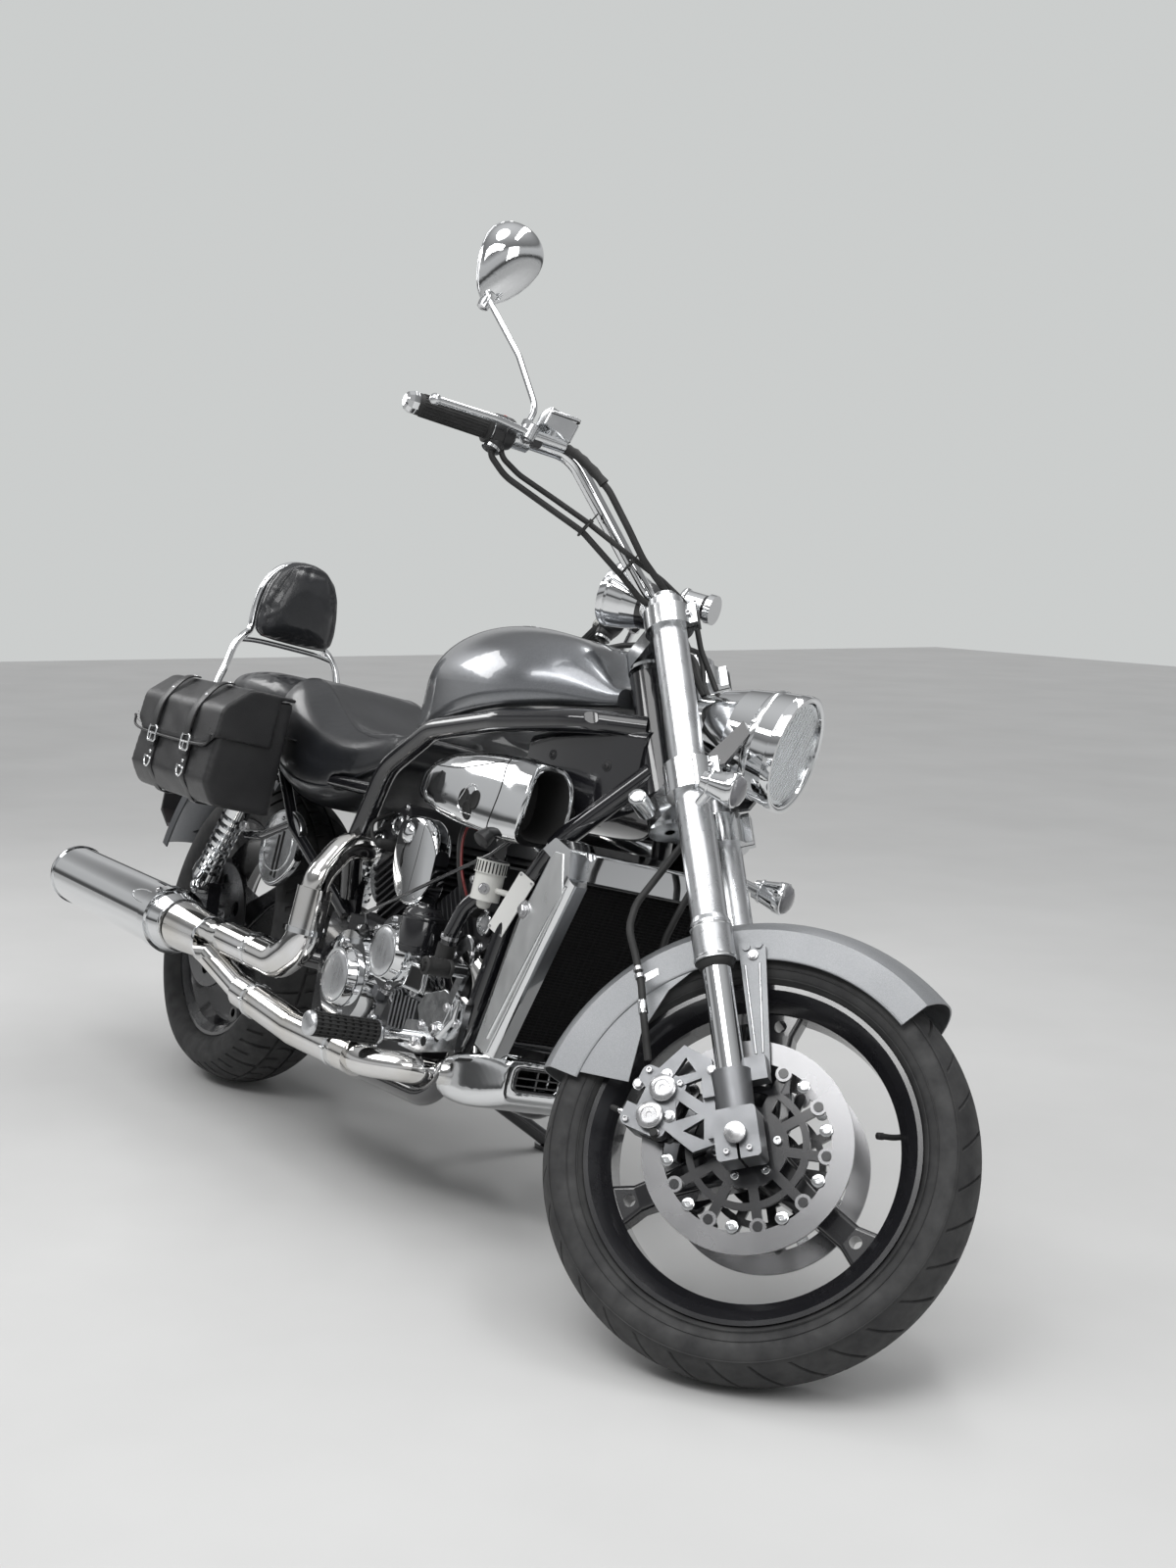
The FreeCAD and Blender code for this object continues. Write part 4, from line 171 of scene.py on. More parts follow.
class Look:
    """A procedural material: one shader with noise-driven colour, roughness and bump."""

    def __init__(self, name, color, metal=0.0, rough=0.5, coat=0.0, coat_rough=0.04, ior=1.5, through=0.0):
        self.material = bpy.data.materials.new(name)
        self.nodes, self.links = tree(self.material)
        self.shader = self.nodes["Principled BSDF"]
        values = {"Base Color": (*color, 1.0), "Metallic": metal, "Roughness": rough, "Coat Weight": coat,
                  "Coat Roughness": coat_rough, "IOR": ior, "Transmission Weight": through}
        for key, value in values.items():
            self.shader.inputs[key].default_value = value
        self.material.diffuse_color = (*color, 1.0)
        self.where = self.nodes.new("ShaderNodeTexCoord")
        self.normal = None

    def space(self, scale):
        mapping = self.nodes.new("ShaderNodeMapping")
        mapping.inputs["Scale"].default_value = scale if hasattr(scale, "__len__") else (scale,) * 3
        self.links.new(self.where.outputs["Object"], mapping.inputs["Vector"])
        return mapping.outputs["Vector"]

    def noise(self, scale, detail=3.0):
        node = self.nodes.new("ShaderNodeTexNoise")
        node.inputs["Scale"].default_value = 1.0
        node.inputs["Detail"].default_value = detail
        node.inputs["Roughness"].default_value = NOISE_ROUGH
        self.links.new(self.space(scale), node.inputs["Vector"])
        return node.outputs["Fac"]

    def cells(self, scale, what="Distance"):
        node = self.nodes.new("ShaderNodeTexVoronoi")
        node.inputs["Scale"].default_value = 1.0
        self.links.new(self.space(scale), node.inputs["Vector"])
        return node.outputs[what]

    def wave(self, scale):
        """Level lines."""
        node = self.nodes.new("ShaderNodeTexWave")
        node.bands_direction = "Z"
        node.inputs["Scale"].default_value = scale
        self.links.new(self.where.outputs["Object"], node.inputs["Vector"])
        return node.outputs["Fac"]

    def ramp(self, value, low, high, start=0.3, end=0.7):
        node = self.nodes.new("ShaderNodeValToRGB")
        first, last = node.color_ramp.elements
        first.position, last.position = start, end
        first.color = (*low, 1) if hasattr(low, "__len__") else (low, low, low, 1)
        last.color = (*high, 1) if hasattr(high, "__len__") else (high, high, high, 1)
        self.links.new(value, node.inputs["Fac"])
        return node.outputs["Color"]

    def tint(self, value, low, high, start=0.3, end=0.7):
        self.links.new(self.ramp(value, low, high, start, end), self.shader.inputs["Base Color"])

    def gloss(self, value, low, high, start=0.3, end=0.7):
        self.links.new(self.ramp(value, low, high, start, end), self.shader.inputs["Roughness"])

    def bump(self, value, strength, distance):
        node = self.nodes.new("ShaderNodeBump")
        node.inputs["Strength"].default_value = strength
        node.inputs["Distance"].default_value = distance
        self.links.new(value, node.inputs["Height"])
        if self.normal:
            self.links.new(self.normal, node.inputs["Normal"])
        self.normal = node.outputs["Normal"]
        self.links.new(self.normal, self.shader.inputs["Normal"])


METAL_GRAIN = 0.0006
SMOOTHEST = 0.02


def metal_look(name, color, rough, streak=(14.0, 14.0, 14.0), spread=0.05, bump=0.0, grain=900.0):
    """A bare metal whose roughness wanders in streaks, with a fine grain where bump is set."""
    m = Look(name, color, metal=1.0, rough=rough)
    m.gloss(m.noise(streak, 5.0), max(SMOOTHEST, rough - spread), rough + spread)
    if bump:
        m.bump(m.noise(grain, 2.0), bump, METAL_GRAIN)
    return m


def make_looks():
    """Every material by its short name."""
    looks = {}
    looks["chrome"] = metal_look("chrome", (0.80, 0.81, 0.82), 0.06, spread=0.035)
    warm = metal_look("chrome_heated", (0.80, 0.79, 0.77), 0.09, spread=0.05)
    warm.tint(warm.noise(9.0, 3.0), (0.72, 0.70, 0.66), (0.82, 0.82, 0.83))
    looks["chrome_heated"] = warm
    looks["satin"] = metal_look("satin_aluminium", (0.66, 0.67, 0.685), 0.30, (90, 90, 4), 0.06, 0.05, 1400.0)
    looks["cast"] = metal_look("cast_aluminium", (0.25, 0.255, 0.265), 0.44, (30, 30, 30), 0.08, 0.30, 1100.0)
    looks["polished"] = metal_look("polished_aluminium", (0.74, 0.75, 0.76), 0.16, (40, 40, 40), 0.05)
    looks["plate"] = metal_look("bright_plate", (0.86, 0.87, 0.87), 0.30, (40, 40, 6), 0.06, 0.04, 900.0)
    looks["steel"] = metal_look("plain_steel", (0.52, 0.52, 0.53), 0.28, (60, 60, 60), 0.08)
    disc = metal_look("disc_steel", (0.24, 0.24, 0.245), 0.27, (5, 5, 5), 0.06)
    disc.bump(disc.noise((700, 700, 700), 1.0), 0.10, 0.0004)
    looks["disc"] = disc
    paint = Look("silver_grey_paint", (0.20, 0.21, 0.225), metal=0.85, rough=0.30, coat=1.0, coat_rough=0.05)
    paint.tint(paint.cells(2600.0, what="Color"), (0.15, 0.157, 0.17), (0.28, 0.29, 0.305), 0.2, 0.8)
    paint.gloss(paint.noise(5.0, 4.0), 0.27, 0.36)
    looks["paint"] = paint
    pale = Look("satin_grey_paint", (0.26, 0.27, 0.28), metal=0.45, rough=0.46, coat=0.3, coat_rough=0.25)
    pale.tint(pale.cells(2400.0, what="Color"), (0.21, 0.215, 0.225), (0.29, 0.30, 0.31), 0.2, 0.8)
    pale.gloss(pale.noise(6.0, 4.0), 0.42, 0.52)
    looks["pale_paint"] = pale
    black = Look("gloss_black", (0.009, 0.009, 0.011), rough=0.16, coat=1.0, coat_rough=0.04)
    black.gloss(black.noise(7.0, 4.0), 0.13, 0.22)
    looks["black"] = black
    looks["wheel"] = Look("wheel_black", (0.012, 0.012, 0.014), rough=0.24, coat=0.8, coat_rough=0.08)
    looks["wheel"].gloss(looks["wheel"].noise(12.0, 4.0), 0.2, 0.32)
    wrinkle = Look("wrinkle_black", (0.018, 0.018, 0.020), rough=0.42)
    wrinkle.bump(wrinkle.noise(1500.0, 3.0), 0.30, 0.0006)
    wrinkle.gloss(wrinkle.noise(20.0, 3.0), 0.36, 0.50)
    looks["wrinkle"] = wrinkle
    plastic = Look("black_plastic", (0.016, 0.016, 0.017), rough=0.40)
    plastic.bump(plastic.noise(1800.0, 2.0), 0.18, 0.0004)
    plastic.gloss(plastic.noise(25.0, 3.0), 0.34, 0.48)
    looks["plastic"] = plastic
    rubber = Look("black_rubber", (0.014, 0.014, 0.014), rough=0.62)
    rubber.tint(rubber.noise(30.0, 4.0), (0.010, 0.010, 0.010), (0.024, 0.024, 0.024))
    rubber.bump(rubber.noise(1300.0, 2.0), 0.15, 0.0005)
    looks["rubber"] = rubber
    tyre = Look("tyre_rubber", (0.022, 0.022, 0.023), rough=0.70)
    tyre.tint(tyre.noise(26.0, 5.0), (0.016, 0.016, 0.017), (0.040, 0.040, 0.040))
    tyre.gloss(tyre.noise(40.0, 3.0), 0.58, 0.80)
    tyre.bump(tyre.noise(1200.0, 2.0), 0.18, 0.0005)
    looks["tyre"] = tyre
    seat = Look("seat_leather", (0.012, 0.013, 0.016), rough=0.30, coat=0.55, coat_rough=0.16)
    seat.bump(seat.cells(520.0), 0.30, 0.0007)
    seat.bump(seat.noise(28.0, 4.0), 0.10, 0.004)
    seat.gloss(seat.noise(14.0, 4.0), 0.28, 0.44)
    seat.tint(seat.noise(9.0, 4.0), (0.008, 0.009, 0.011), (0.017, 0.018, 0.021))
    looks["seat"] = seat
    bag = Look("bag_leather", (0.020, 0.020, 0.021), rough=0.40, coat=0.15, coat_rough=0.3)
    bag.bump(bag.cells(430.0), 0.36, 0.0009)
    bag.bump(bag.noise(16.0, 4.0), 0.14, 0.006)
    bag.gloss(bag.noise(11.0, 4.0), 0.32, 0.50)
    bag.tint(bag.noise(7.0, 4.0), (0.008, 0.008, 0.009), (0.022, 0.022, 0.023))
    looks["bag"] = bag
    lens = Look("clear_lens", (0.95, 0.97, 0.98), rough=0.03, through=1.0, ior=1.45)
    looks["lens"] = lens
    looks["smoke"] = Look("smoked_lens", (0.16, 0.16, 0.17), rough=0.10, coat=1.0)
    looks["smoke"].bump(looks["smoke"].wave(120.0), 0.25, 0.001)
    looks["red"] = Look("red_lens", (0.36, 0.012, 0.012), rough=0.12, coat=1.0)
    looks["red"].bump(looks["red"].wave(150.0), 0.3, 0.001)
    looks["reservoir"] = Look("milky_plastic", (0.62, 0.60, 0.54), rough=0.35)
    looks["reservoir"].tint(looks["reservoir"].noise(20.0, 2.0), (0.55, 0.53, 0.47), (0.68, 0.66, 0.60))
    core = Look("radiator_core", (0.010, 0.010, 0.011), rough=0.55)
    core.bump(core.wave(260.0), 0.8, 0.003)
    looks["core"] = core
    looks["white_plastic"] = Look("white_plastic", (0.66, 0.66, 0.63), rough=0.3)
    looks["white_plastic"].gloss(looks["white_plastic"].noise(18.0, 3.0), 0.26, 0.38)
    looks["white_paint"] = Look("dial_white", (0.75, 0.75, 0.73), rough=0.4)
    looks["stitch"] = Look("stitch_thread", (0.035, 0.035, 0.037), rough=0.7)
    looks["button_red"] = Look("button_red", (0.45, 0.02, 0.015), rough=0.4)
    looks["wire_red"] = Look("wire_red", (0.16, 0.012, 0.012), rough=0.45)
    looks["mirror"] = metal_look("mirror_glass", (0.86, 0.87, 0.88), 0.02, spread=0.01)
    # Near-black look: the real colour of black dials, hands, seams and the box face, and painted shade in
    # holes, slots, recesses and openings.
    looks["dark"] = Look("black_and_painted_shade", (0.004, 0.004, 0.004), rough=0.8)
    return looks


# Mesh pieces. Geometry is a pair (points, faces) in the millimetres of a drawing frame.

def joined(*groups):
    """Several geometries as one."""
    points, faces = [], []
    for group_points, group_faces in groups:
        base = len(points)
        points.extend(group_points)
        faces.extend(tuple(i + base for i in face) for face in group_faces)
    return points, faces


def moved(geometry, matrix):
    points, faces = geometry
    return [matrix @ Vector(p) for p in points], faces


def mirrored(geometry):
    """The same pieces on the other side of the machine's middle plane."""
    points, faces = geometry
    return [Vector((p[0], -p[1], p[2])) for p in points], [tuple(reversed(f)) for f in faces]


def both(geometry):
    return joined(geometry, mirrored(geometry))


PIECES = {}
BEVELLED_FROM = math.radians(40)


def piece(name, geometry, look, place, body, smooth, bevel=0.0, replaces=()):
    """A mesh object in the model frame that rides on a body; smooth is the sharpest angle shaded as round."""
    points, faces = geometry
    world = place @ Matrix.Scale(MM, 4)
    mesh = bpy.data.meshes.new(name)
    mesh.from_pydata([world @ Vector(p) for p in points], [], faces)
    mesh.validate()
    mesh.materials.append(LOOKS[look].material)
    item = bpy.data.objects.new(name, mesh)
    bpy.context.scene.collection.objects.link(item)
    mesh.shade_smooth()
    mesh.set_sharp_from_angle(angle=math.radians(smooth))
    if bevel:
        modifier = item.modifiers.new("edge", "BEVEL")
        modifier.width = bevel * MM
        modifier.segments = 2
        modifier.limit_method = "ANGLE"
        modifier.angle_limit = BEVELLED_FROM
        modifier.harden_normals = False
    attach(item, body)
    if replaces:
        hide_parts(*replaces)
    PIECES[name] = item
    return item


def fork_piece(name, geometry, look, smooth, bevel=0.0):
    return piece(name, geometry, look, STEERED, "steering", smooth, bevel)


def chassis_piece(name, geometry, look, smooth, bevel=0.0, replaces=()):
    return piece(name, geometry, look, UPRIGHT, "chassis", smooth, bevel, replaces)


def turns(count):
    """The angles of a full circle's equal steps."""
    return [2 * math.pi * k / count for k in range(count)]


def axes_along(direction, hint=(0, 0, 1)):
    """Two unit vectors square to a direction."""
    forward = Vector(direction).normalized()
    side = forward.cross(Vector(hint))
    if side.length < 1e-3:
        side = forward.cross(Vector((1, 0, 0)))
    side.normalize()
    return side, side.cross(forward).normalized()


def lathe(profile, at, axis, count=40, tall=1.0):
    """A turned piece: profile rows of (height along the axis, radius), closed where the radius is 0.
    A tall value over 1 makes it oval."""
    at = Vector(at)
    axis = Vector(axis).normalized()
    u, v = axes_along(axis)
    points, faces, rings = [], [], []
    for height, radius in profile:
        centre = at + axis * height
        if radius <= 1e-6:
            rings.append([len(points)] * count)
            points.append(centre)
            continue
        rings.append(list(range(len(points), len(points) + count)))
        for i in range(count):
            a = 2 * math.pi * i / count
            points.append(centre + u * (radius * math.cos(a)) + v * (radius * tall * math.sin(a)))
    for low, high in zip(rings, rings[1:]):
        for i in range(count):
            j = (i + 1) % count
            face = [low[i], low[j], high[j], high[i]]
            clean = [k for n, k in enumerate(face) if k != face[n - 1]]
            if len(clean) > 2:
                faces.append(tuple(clean))
    for ring, flip in ((rings[0], True), (rings[-1], False)):
        if ring[0] != ring[1]:
            faces.append(tuple(reversed(ring)) if flip else tuple(ring))
    return points, faces


def smooth_line(points, per_span=8, closed=False):
    """Points along a smooth curve through the given ones."""
    pts = [Vector(p) for p in points]
    n = len(pts)
    out = []
    spans = n if closed else n - 1
    for i in range(spans):
        p0 = pts[(i - 1) % n] if closed or i > 0 else pts[0] * 2 - pts[1]
        p1, p2 = pts[i % n], pts[(i + 1) % n]
        p3 = pts[(i + 2) % n] if closed or i + 2 < n else pts[-1] * 2 - pts[-2]
        for k in range(per_span):
            t = k / per_span
            out.append(0.5 * ((2 * p1) + (p2 - p0) * t + (2 * p0 - 5 * p1 + 4 * p2 - p3) * t * t
                              + (3 * p1 - p0 - 3 * p2 + p3) * t ** 3))
    if not closed:
        out.append(pts[-1])
    return out


def tube(points, radius, count=12, closed=False):
    """A round tube along points; radius may be one number or one for each point."""
    pts = [Vector(p) for p in points]
    n = len(pts)
    radii = radius if hasattr(radius, "__len__") else [radius] * n
    verts, faces = [], []
    tangent = (pts[1] - pts[0]).normalized()
    u, v = axes_along(tangent)
    for i, p in enumerate(pts):
        after = pts[(i + 1) % n] if closed or i + 1 < n else p
        before = pts[i - 1] if closed or i > 0 else p
        ahead = (after - before).normalized()
        turn = tangent.rotation_difference(ahead)
        u, v, tangent = turn @ u, turn @ v, ahead
        for k in range(count):
            a = 2 * math.pi * k / count
            verts.append(p + (u * math.cos(a) + v * math.sin(a)) * radii[i])
    rings = n if closed else n - 1
    for i in range(rings):
        a0, b0 = i * count, ((i + 1) % n) * count
        for k in range(count):
            m = (k + 1) % count
            faces.append((a0 + k, a0 + m, b0 + m, b0 + k))
    if not closed:
        faces.append(tuple(reversed(range(count))))
        faces.append(tuple(range((n - 1) * count, n * count)))
    return verts, faces


def hose(points, radius):
    return tube(smooth_line(points), radius)


def prism(outline, origin, across, upward, depth):
    """A plate: outline of (a, b) corners along two directions, as deep as given along their normal."""
    origin, across, upward = Vector(origin), Vector(across).normalized(), Vector(upward).normalized()
    normal = across.cross(upward).normalized()
    n = len(outline)
    low = [origin + across * a + upward * b for a, b in outline]
    verts = low + [p + normal * depth for p in low]
    faces = [tuple(reversed(range(n))), tuple(range(n, 2 * n))]
    for i in range(n):
        j = (i + 1) % n
        faces.append((i, j, j + n, i + n))
    return verts, faces


def brick(low, high):
    (x0, y0, z0), (x1, y1, z1) = low, high
    return prism([(x0, y0), (x1, y0), (x1, y1), (x0, y1)], (0, 0, z0), (1, 0, 0), (0, 1, 0), z1 - z0)


def round_outline(half_a, half_b, radius, steps=5):
    """A rectangle with rounded corners, about its middle."""
    out = []
    corners = ((half_a, half_b, 0), (-half_a, half_b, 90), (-half_a, -half_b, 180), (half_a, -half_b, 270))
    for ca, cb, start in corners:
        sa, sb = (1 if ca > 0 else -1), (1 if cb > 0 else -1)
        for k in range(steps + 1):
            t = math.radians(start + 90 * k / steps)
            out.append((ca - sa * radius + radius * math.cos(t), cb - sb * radius + radius * math.sin(t)))
    return out


def hex_bolt(at, axis, radius, height=None, washer=True):
    """A flanged hexagon head, standing on its seat."""
    height = height or radius * 0.9
    at, axis = Vector(at), Vector(axis).normalized()
    parts = []
    if washer:
        flange = [(0, radius * 1.35), (radius * 0.22, radius * 1.3), (radius * 0.3, radius * 0.9)]
        parts.append(lathe(flange, at, axis, 20))
    head = [(radius * 0.2, radius * 0.98), (height * 0.86, radius), (height, radius * 0.86)]
    parts.append(lathe(head, at, axis, 6))
    return joined(*parts)


def cap_screw(at, axis, radius, height=None):
    """A round socket-head screw with its hexagon socket sunk in."""
    height = height or radius * 1.1
    rows = [(0, radius), (height * 0.85, radius), (height, radius * 0.88), (height, radius * 0.5),
            (height * 0.45, radius * 0.46), (height * 0.45, 0)]
    return lathe(rows, at, axis, 18)


def dome_screw(at, axis, radius):
    rows = [(0, radius), (radius * 0.35, radius * 0.86), (radius * 0.5, radius * 0.55),
            (radius * 0.52, radius * 0.38), (radius * 0.3, radius * 0.36), (radius * 0.3, 0)]
    return lathe(rows, at, axis, 18)


def ring_of(count, radius, centre, axis, make, start=0.0):
    """Repeats a fastener round a circle: make(point) gives its geometry."""
    centre, axis = Vector(centre), Vector(axis).normalized()
    u, v = axes_along(axis)
    parts = []
    for turn in turns(count):
        a = turn + math.radians(start)
        parts.append(make(centre + u * radius * math.cos(a) + v * radius * math.sin(a)))
    return joined(*parts)


def stitches(points, pitch=5.0, length=3.4, width=0.9, closed=False):
    """A row of short raised threads along points."""
    pts = [Vector(p) for p in points]
    if closed:
        pts.append(pts[0])
    parts = []
    spent, next_at = 0.0, pitch / 2
    for a, b in zip(pts, pts[1:]):
        run = (b - a).length
        if run < 1e-6:
            continue
        ahead = (b - a) / run
        while next_at <= spent + run:
            p = a + ahead * (next_at - spent)
            u, v = axes_along(ahead)
            half = ahead * (length / 2)
            ring = [u * width, v * width, -u * width, -v * width]
            verts = [p - half] + [p + r for r in ring] + [p + half]
            faces = [(0, 2, 1), (0, 3, 2), (0, 4, 3), (0, 1, 4), (5, 1, 2), (5, 2, 3), (5, 3, 4), (5, 4, 1)]
            parts.append((verts, faces))
            next_at += pitch
        spent += run
    return joined(*parts)


def ribbon(path, across, width, thick):
    """A strap along a path: as wide as given along one direction, its back on the path."""
    pts = [Vector(p) for p in path]
    across = Vector(across).normalized()
    verts, faces = [], []
    for i, p in enumerate(pts):
        ahead = (pts[min(i + 1, len(pts) - 1)] - pts[max(i - 1, 0)]).normalized()
        up = ahead.cross(across).normalized()
        for a, b in ((-0.5, 0), (0.5, 0), (0.5, 0.8), (0.42, 1), (-0.42, 1), (-0.5, 0.8)):
            verts.append(p + across * (a * width) + up * (b * thick))
    n = 6
    for i in range(len(pts) - 1):
        for k in range(n):
            m = (k + 1) % n
            faces.append((i * n + k, i * n + m, (i + 1) * n + m, (i + 1) * n + k))
    faces.append(tuple(reversed(range(n))))
    faces.append(tuple(range((len(pts) - 1) * n, len(pts) * n)))
    return verts, faces


# Wheels and brakes

def arc_through(p, q, r, steps):
    """Points of the circle's arc from p through q to r."""
    (ax, ay), (bx, by), (cx, cy) = p, q, r
    d = 2 * (ax * (by - cy) + bx * (cy - ay) + cx * (ay - by))
    a2, b2, c2 = ax * ax + ay * ay, bx * bx + by * by, cx * cx + cy * cy
    ux = (a2 * (by - cy) + b2 * (cy - ay) + c2 * (ay - by)) / d
    uy = (a2 * (cx - bx) + b2 * (ax - cx) + c2 * (bx - ax)) / d
    radius = math.hypot(ax - ux, ay - uy)
    start, middle, end = (math.atan2(y - uy, x - ux) for x, y in (p, q, r))
    span = (end - start) % (2 * math.pi)
    if (middle - start) % (2 * math.pi) > span:
        span -= 2 * math.pi
    turns = [start + span * i / steps for i in range(steps + 1)]
    return [(ux + radius * math.cos(t), uy + radius * math.sin(t)) for t in turns]


def tyre_geometry(radius, width, bead_r, rim_half, periods, shares, columns, grooves, sweep):
    """A tyre about the Y axis. The mesh's columns are sheared by sweep(share), so that grooves have clean
    walls. A groove is (first column, last column, from share, to share, depth), with shares across the crown
    from -1 to 1."""
    edge = width / 2 * 0.95
    drop = 0.19 * width
    crown = (edge ** 2 + drop ** 2) / (2 * drop)
    flange_r = bead_r + 11.5
    side_r = bead_r + 0.52 * (radius - bead_r)
    side = arc_through((edge, radius - drop), (width / 2, side_r), (rim_half - 0.3, flange_r), 10)
    rows = [(None, -y, r) for y, r in reversed(side[1:])]
    rows += [(s, s * edge, radius - crown + math.sqrt(crown ** 2 - (s * edge) ** 2)) for s in shares]
    rows += [(None, y, r) for y, r in side[1:]]
    count = periods * len(columns)
    points, faces = [], []
    for share, y, r in rows:
        s = share if share is not None else math.copysign(1.0, y)
        for i in range(count):
            block, place = divmod(i, len(columns))
            f = columns[place]
            deep = 0.0
            for first, last, low, high, depth in grooves:
                if share is not None and first < f < last and low < share < high:
                    deep = max(deep, depth)
            a = 2 * math.pi * (block + f) / periods + sweep(abs(s)) / radius
            points.append(((r - deep) * math.sin(a), y, (r - deep) * math.cos(a)))
    for row in range(len(rows) - 1):
        for i in range(count):
            j = (i + 1) % count
            faces.append((row * count + i, row * count + j, (row + 1) * count + j, (row + 1) * count + i))
    return points, faces


def circle(radius, y, count=120):
    return [(radius * math.sin(2 * math.pi * i / count), y, radius * math.cos(2 * math.pi * i / count))
            for i in range(count)]


def paired(values):
    """Each value with a close neighbour, for a steep step there."""
    out = []
    for v in values:
        out += [v - 0.006, v + 0.006]
    return out


def front_tyre():
    shares = sorted([-1 + 0.1 * i for i in range(21)] + paired([0.07, 0.55, 0.93, -0.07, -0.55, -0.93]))
    columns = [0.0, 0.05, 0.07, 0.14, 0.16, 0.3, 0.42, 0.5, 0.55, 0.57, 0.64, 0.66, 0.8, 0.92]
    grooves = [(0.06, 0.15, 0.07, 0.93, 3.4), (0.56, 0.65, -0.93, -0.07, 3.4)]
    body = tyre_geometry(312.4, 119.6, 228.6, 45.0, 33, shares, columns, grooves, lambda s: 42 * s ** 1.4)
    rings = [tube(circle(r, side * y), 0.9, 6, True) for r, y in ((248, 55.0), (262, 59.0), (289, 59.3))
             for side in (-1, 1)]
    piece("tyre_front", joined(body, *rings), "tyre", STEERED, "front_wheel", 28, replaces=("front_tyre",))


def rear_tyre():
    shares = sorted([-1 + 0.1 * i for i in range(21)] + paired([0.24, 0.30, -0.24, -0.30, 0.95, -0.95, 0.62,
                                                                -0.62]))
    columns = [0.0, 0.04, 0.06, 0.15, 0.17, 0.3, 0.42, 0.5, 0.54, 0.56, 0.65, 0.67, 0.8, 0.92]
    grooves = [(0.05, 0.16, 0.30, 0.95, 5.0), (0.55, 0.66, -0.95, -0.30, 5.0), (-1, 2, 0.24, 0.30, 5.0),
               (-1, 2, -0.30, -0.24, 5.0), (0.55, 0.66, 0.62, 0.95, 5.0), (0.05, 0.16, -0.95, -0.62, 5.0),
               (0.05, 0.16, -0.24, 0.10, 4.0), (0.55, 0.66, -0.10, 0.24, 4.0)]
    body = tyre_geometry(314.7, 179.4, 215.9, 64.0, 27, shares, columns, grooves, lambda s: 30 * s)
    rings = [tube(circle(r, side * y), 1.0, 6, True) for r, y in ((240, 80.0), (256, 87.0))
             for side in (-1, 1)]
    piece("tyre_rear", joined(body, *rings), "tyre", REAR_WHEEL, "rear_wheel", 28, replaces=("rear_tyre",))


def node_copy(name, node):
    """A CAD node's mesh as an object of its own, in the same place."""
    item = bpy.data.objects.new(name, NODES[node].data.copy())
    item.matrix_world = NODES[node].matrix_world
    bpy.context.scene.collection.objects.link(item)
    return item


def applied(item):
    """Replaces the object's mesh by the one that its modifiers give."""
    graph = bpy.context.evaluated_depsgraph_get()
    made = bpy.data.meshes.new_from_object(item.evaluated_get(graph))
    item.modifiers.clear()
    item.data = made
    return made


def gridded(item, voxel, steps):
    """Remeshes an object in even cells and relaxes it."""
    remesh = item.modifiers.new("grid", "REMESH")
    remesh.mode = "VOXEL"
    remesh.voxel_size = voxel * MM
    relax = item.modifiers.new("relax", "SMOOTH")
    relax.factor = 0.5
    relax.iterations = steps
    return applied(item)


WELD = 0.00002
DRILL_REACH = 130


def drilled(name, node, spots, place, body):
    """The disc's own mesh with a cut for its cooling holes, their walls in a dark look that paints the shade
    inside the holes. The cut takes nothing
    away so far: it adds edges, but the disc stays whole."""
    disc = node_copy(name, node)
    welded = bmesh.new()
    welded.from_mesh(disc.data)
    bmesh.ops.remove_doubles(welded, verts=welded.verts, dist=WELD)
    welded.to_mesh(disc.data)
    welded.free()
    low, high = -DRILL_REACH, DRILL_REACH
    cutters = [lathe([(low, 0), (low, r), (high, r), (high, 0)], (x, 0, z), LEFT, 12) for x, z, r in spots]
    points, faces = joined(*cutters)
    world = place @ Matrix.Scale(MM, 4)
    mesh = bpy.data.meshes.new("cutter")
    mesh.from_pydata([world @ Vector(p) for p in points], [], faces)
    cutter = bpy.data.objects.new("cutter", mesh)
    bpy.context.scene.collection.objects.link(cutter)
    modifier = disc.modifiers.new("holes", "BOOLEAN")
    modifier.object = cutter
    modifier.solver = "EXACT"
    modifier.use_hole_tolerant = True
    made = applied(disc)
    bpy.data.objects.remove(cutter)
    made.materials.clear()
    made.materials.append(LOOKS["disc"].material)
    made.materials.append(LOOKS["dark"].material)
    axis = place.to_3x3() @ LEFT
    near = min(math.hypot(x, z) - 2 * r for x, z, r in spots) * MM
    far = max(math.hypot(x, z) + 1.5 * r for x, z, r in spots) * MM
    # Hole walls take the dark look: painted shade inside the holes.
    for face in made.polygons:
        arm = disc.matrix_world @ face.center - place.to_translation()
        arm = arm - axis * arm.dot(axis)
        if abs((disc.matrix_world.to_3x3() @ face.normal).dot(axis)) < 0.5 and near < arm.length < far:
            face.material_index = 1
    made.shade_smooth()
    made.set_sharp_from_angle(angle=math.radians(30))
    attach(disc, body)
    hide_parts(node)


def hole_ring(groups, rows):
    """Slanting groups of holes: rows of (radius, lag in degrees, hole's radius)."""
    spots = []
    for i in range(groups):
        for radius, lag, hole in rows:
            a = math.radians(360.0 * i / groups + lag)
            spots.append((radius * math.sin(a), radius * math.cos(a), hole))
    return spots


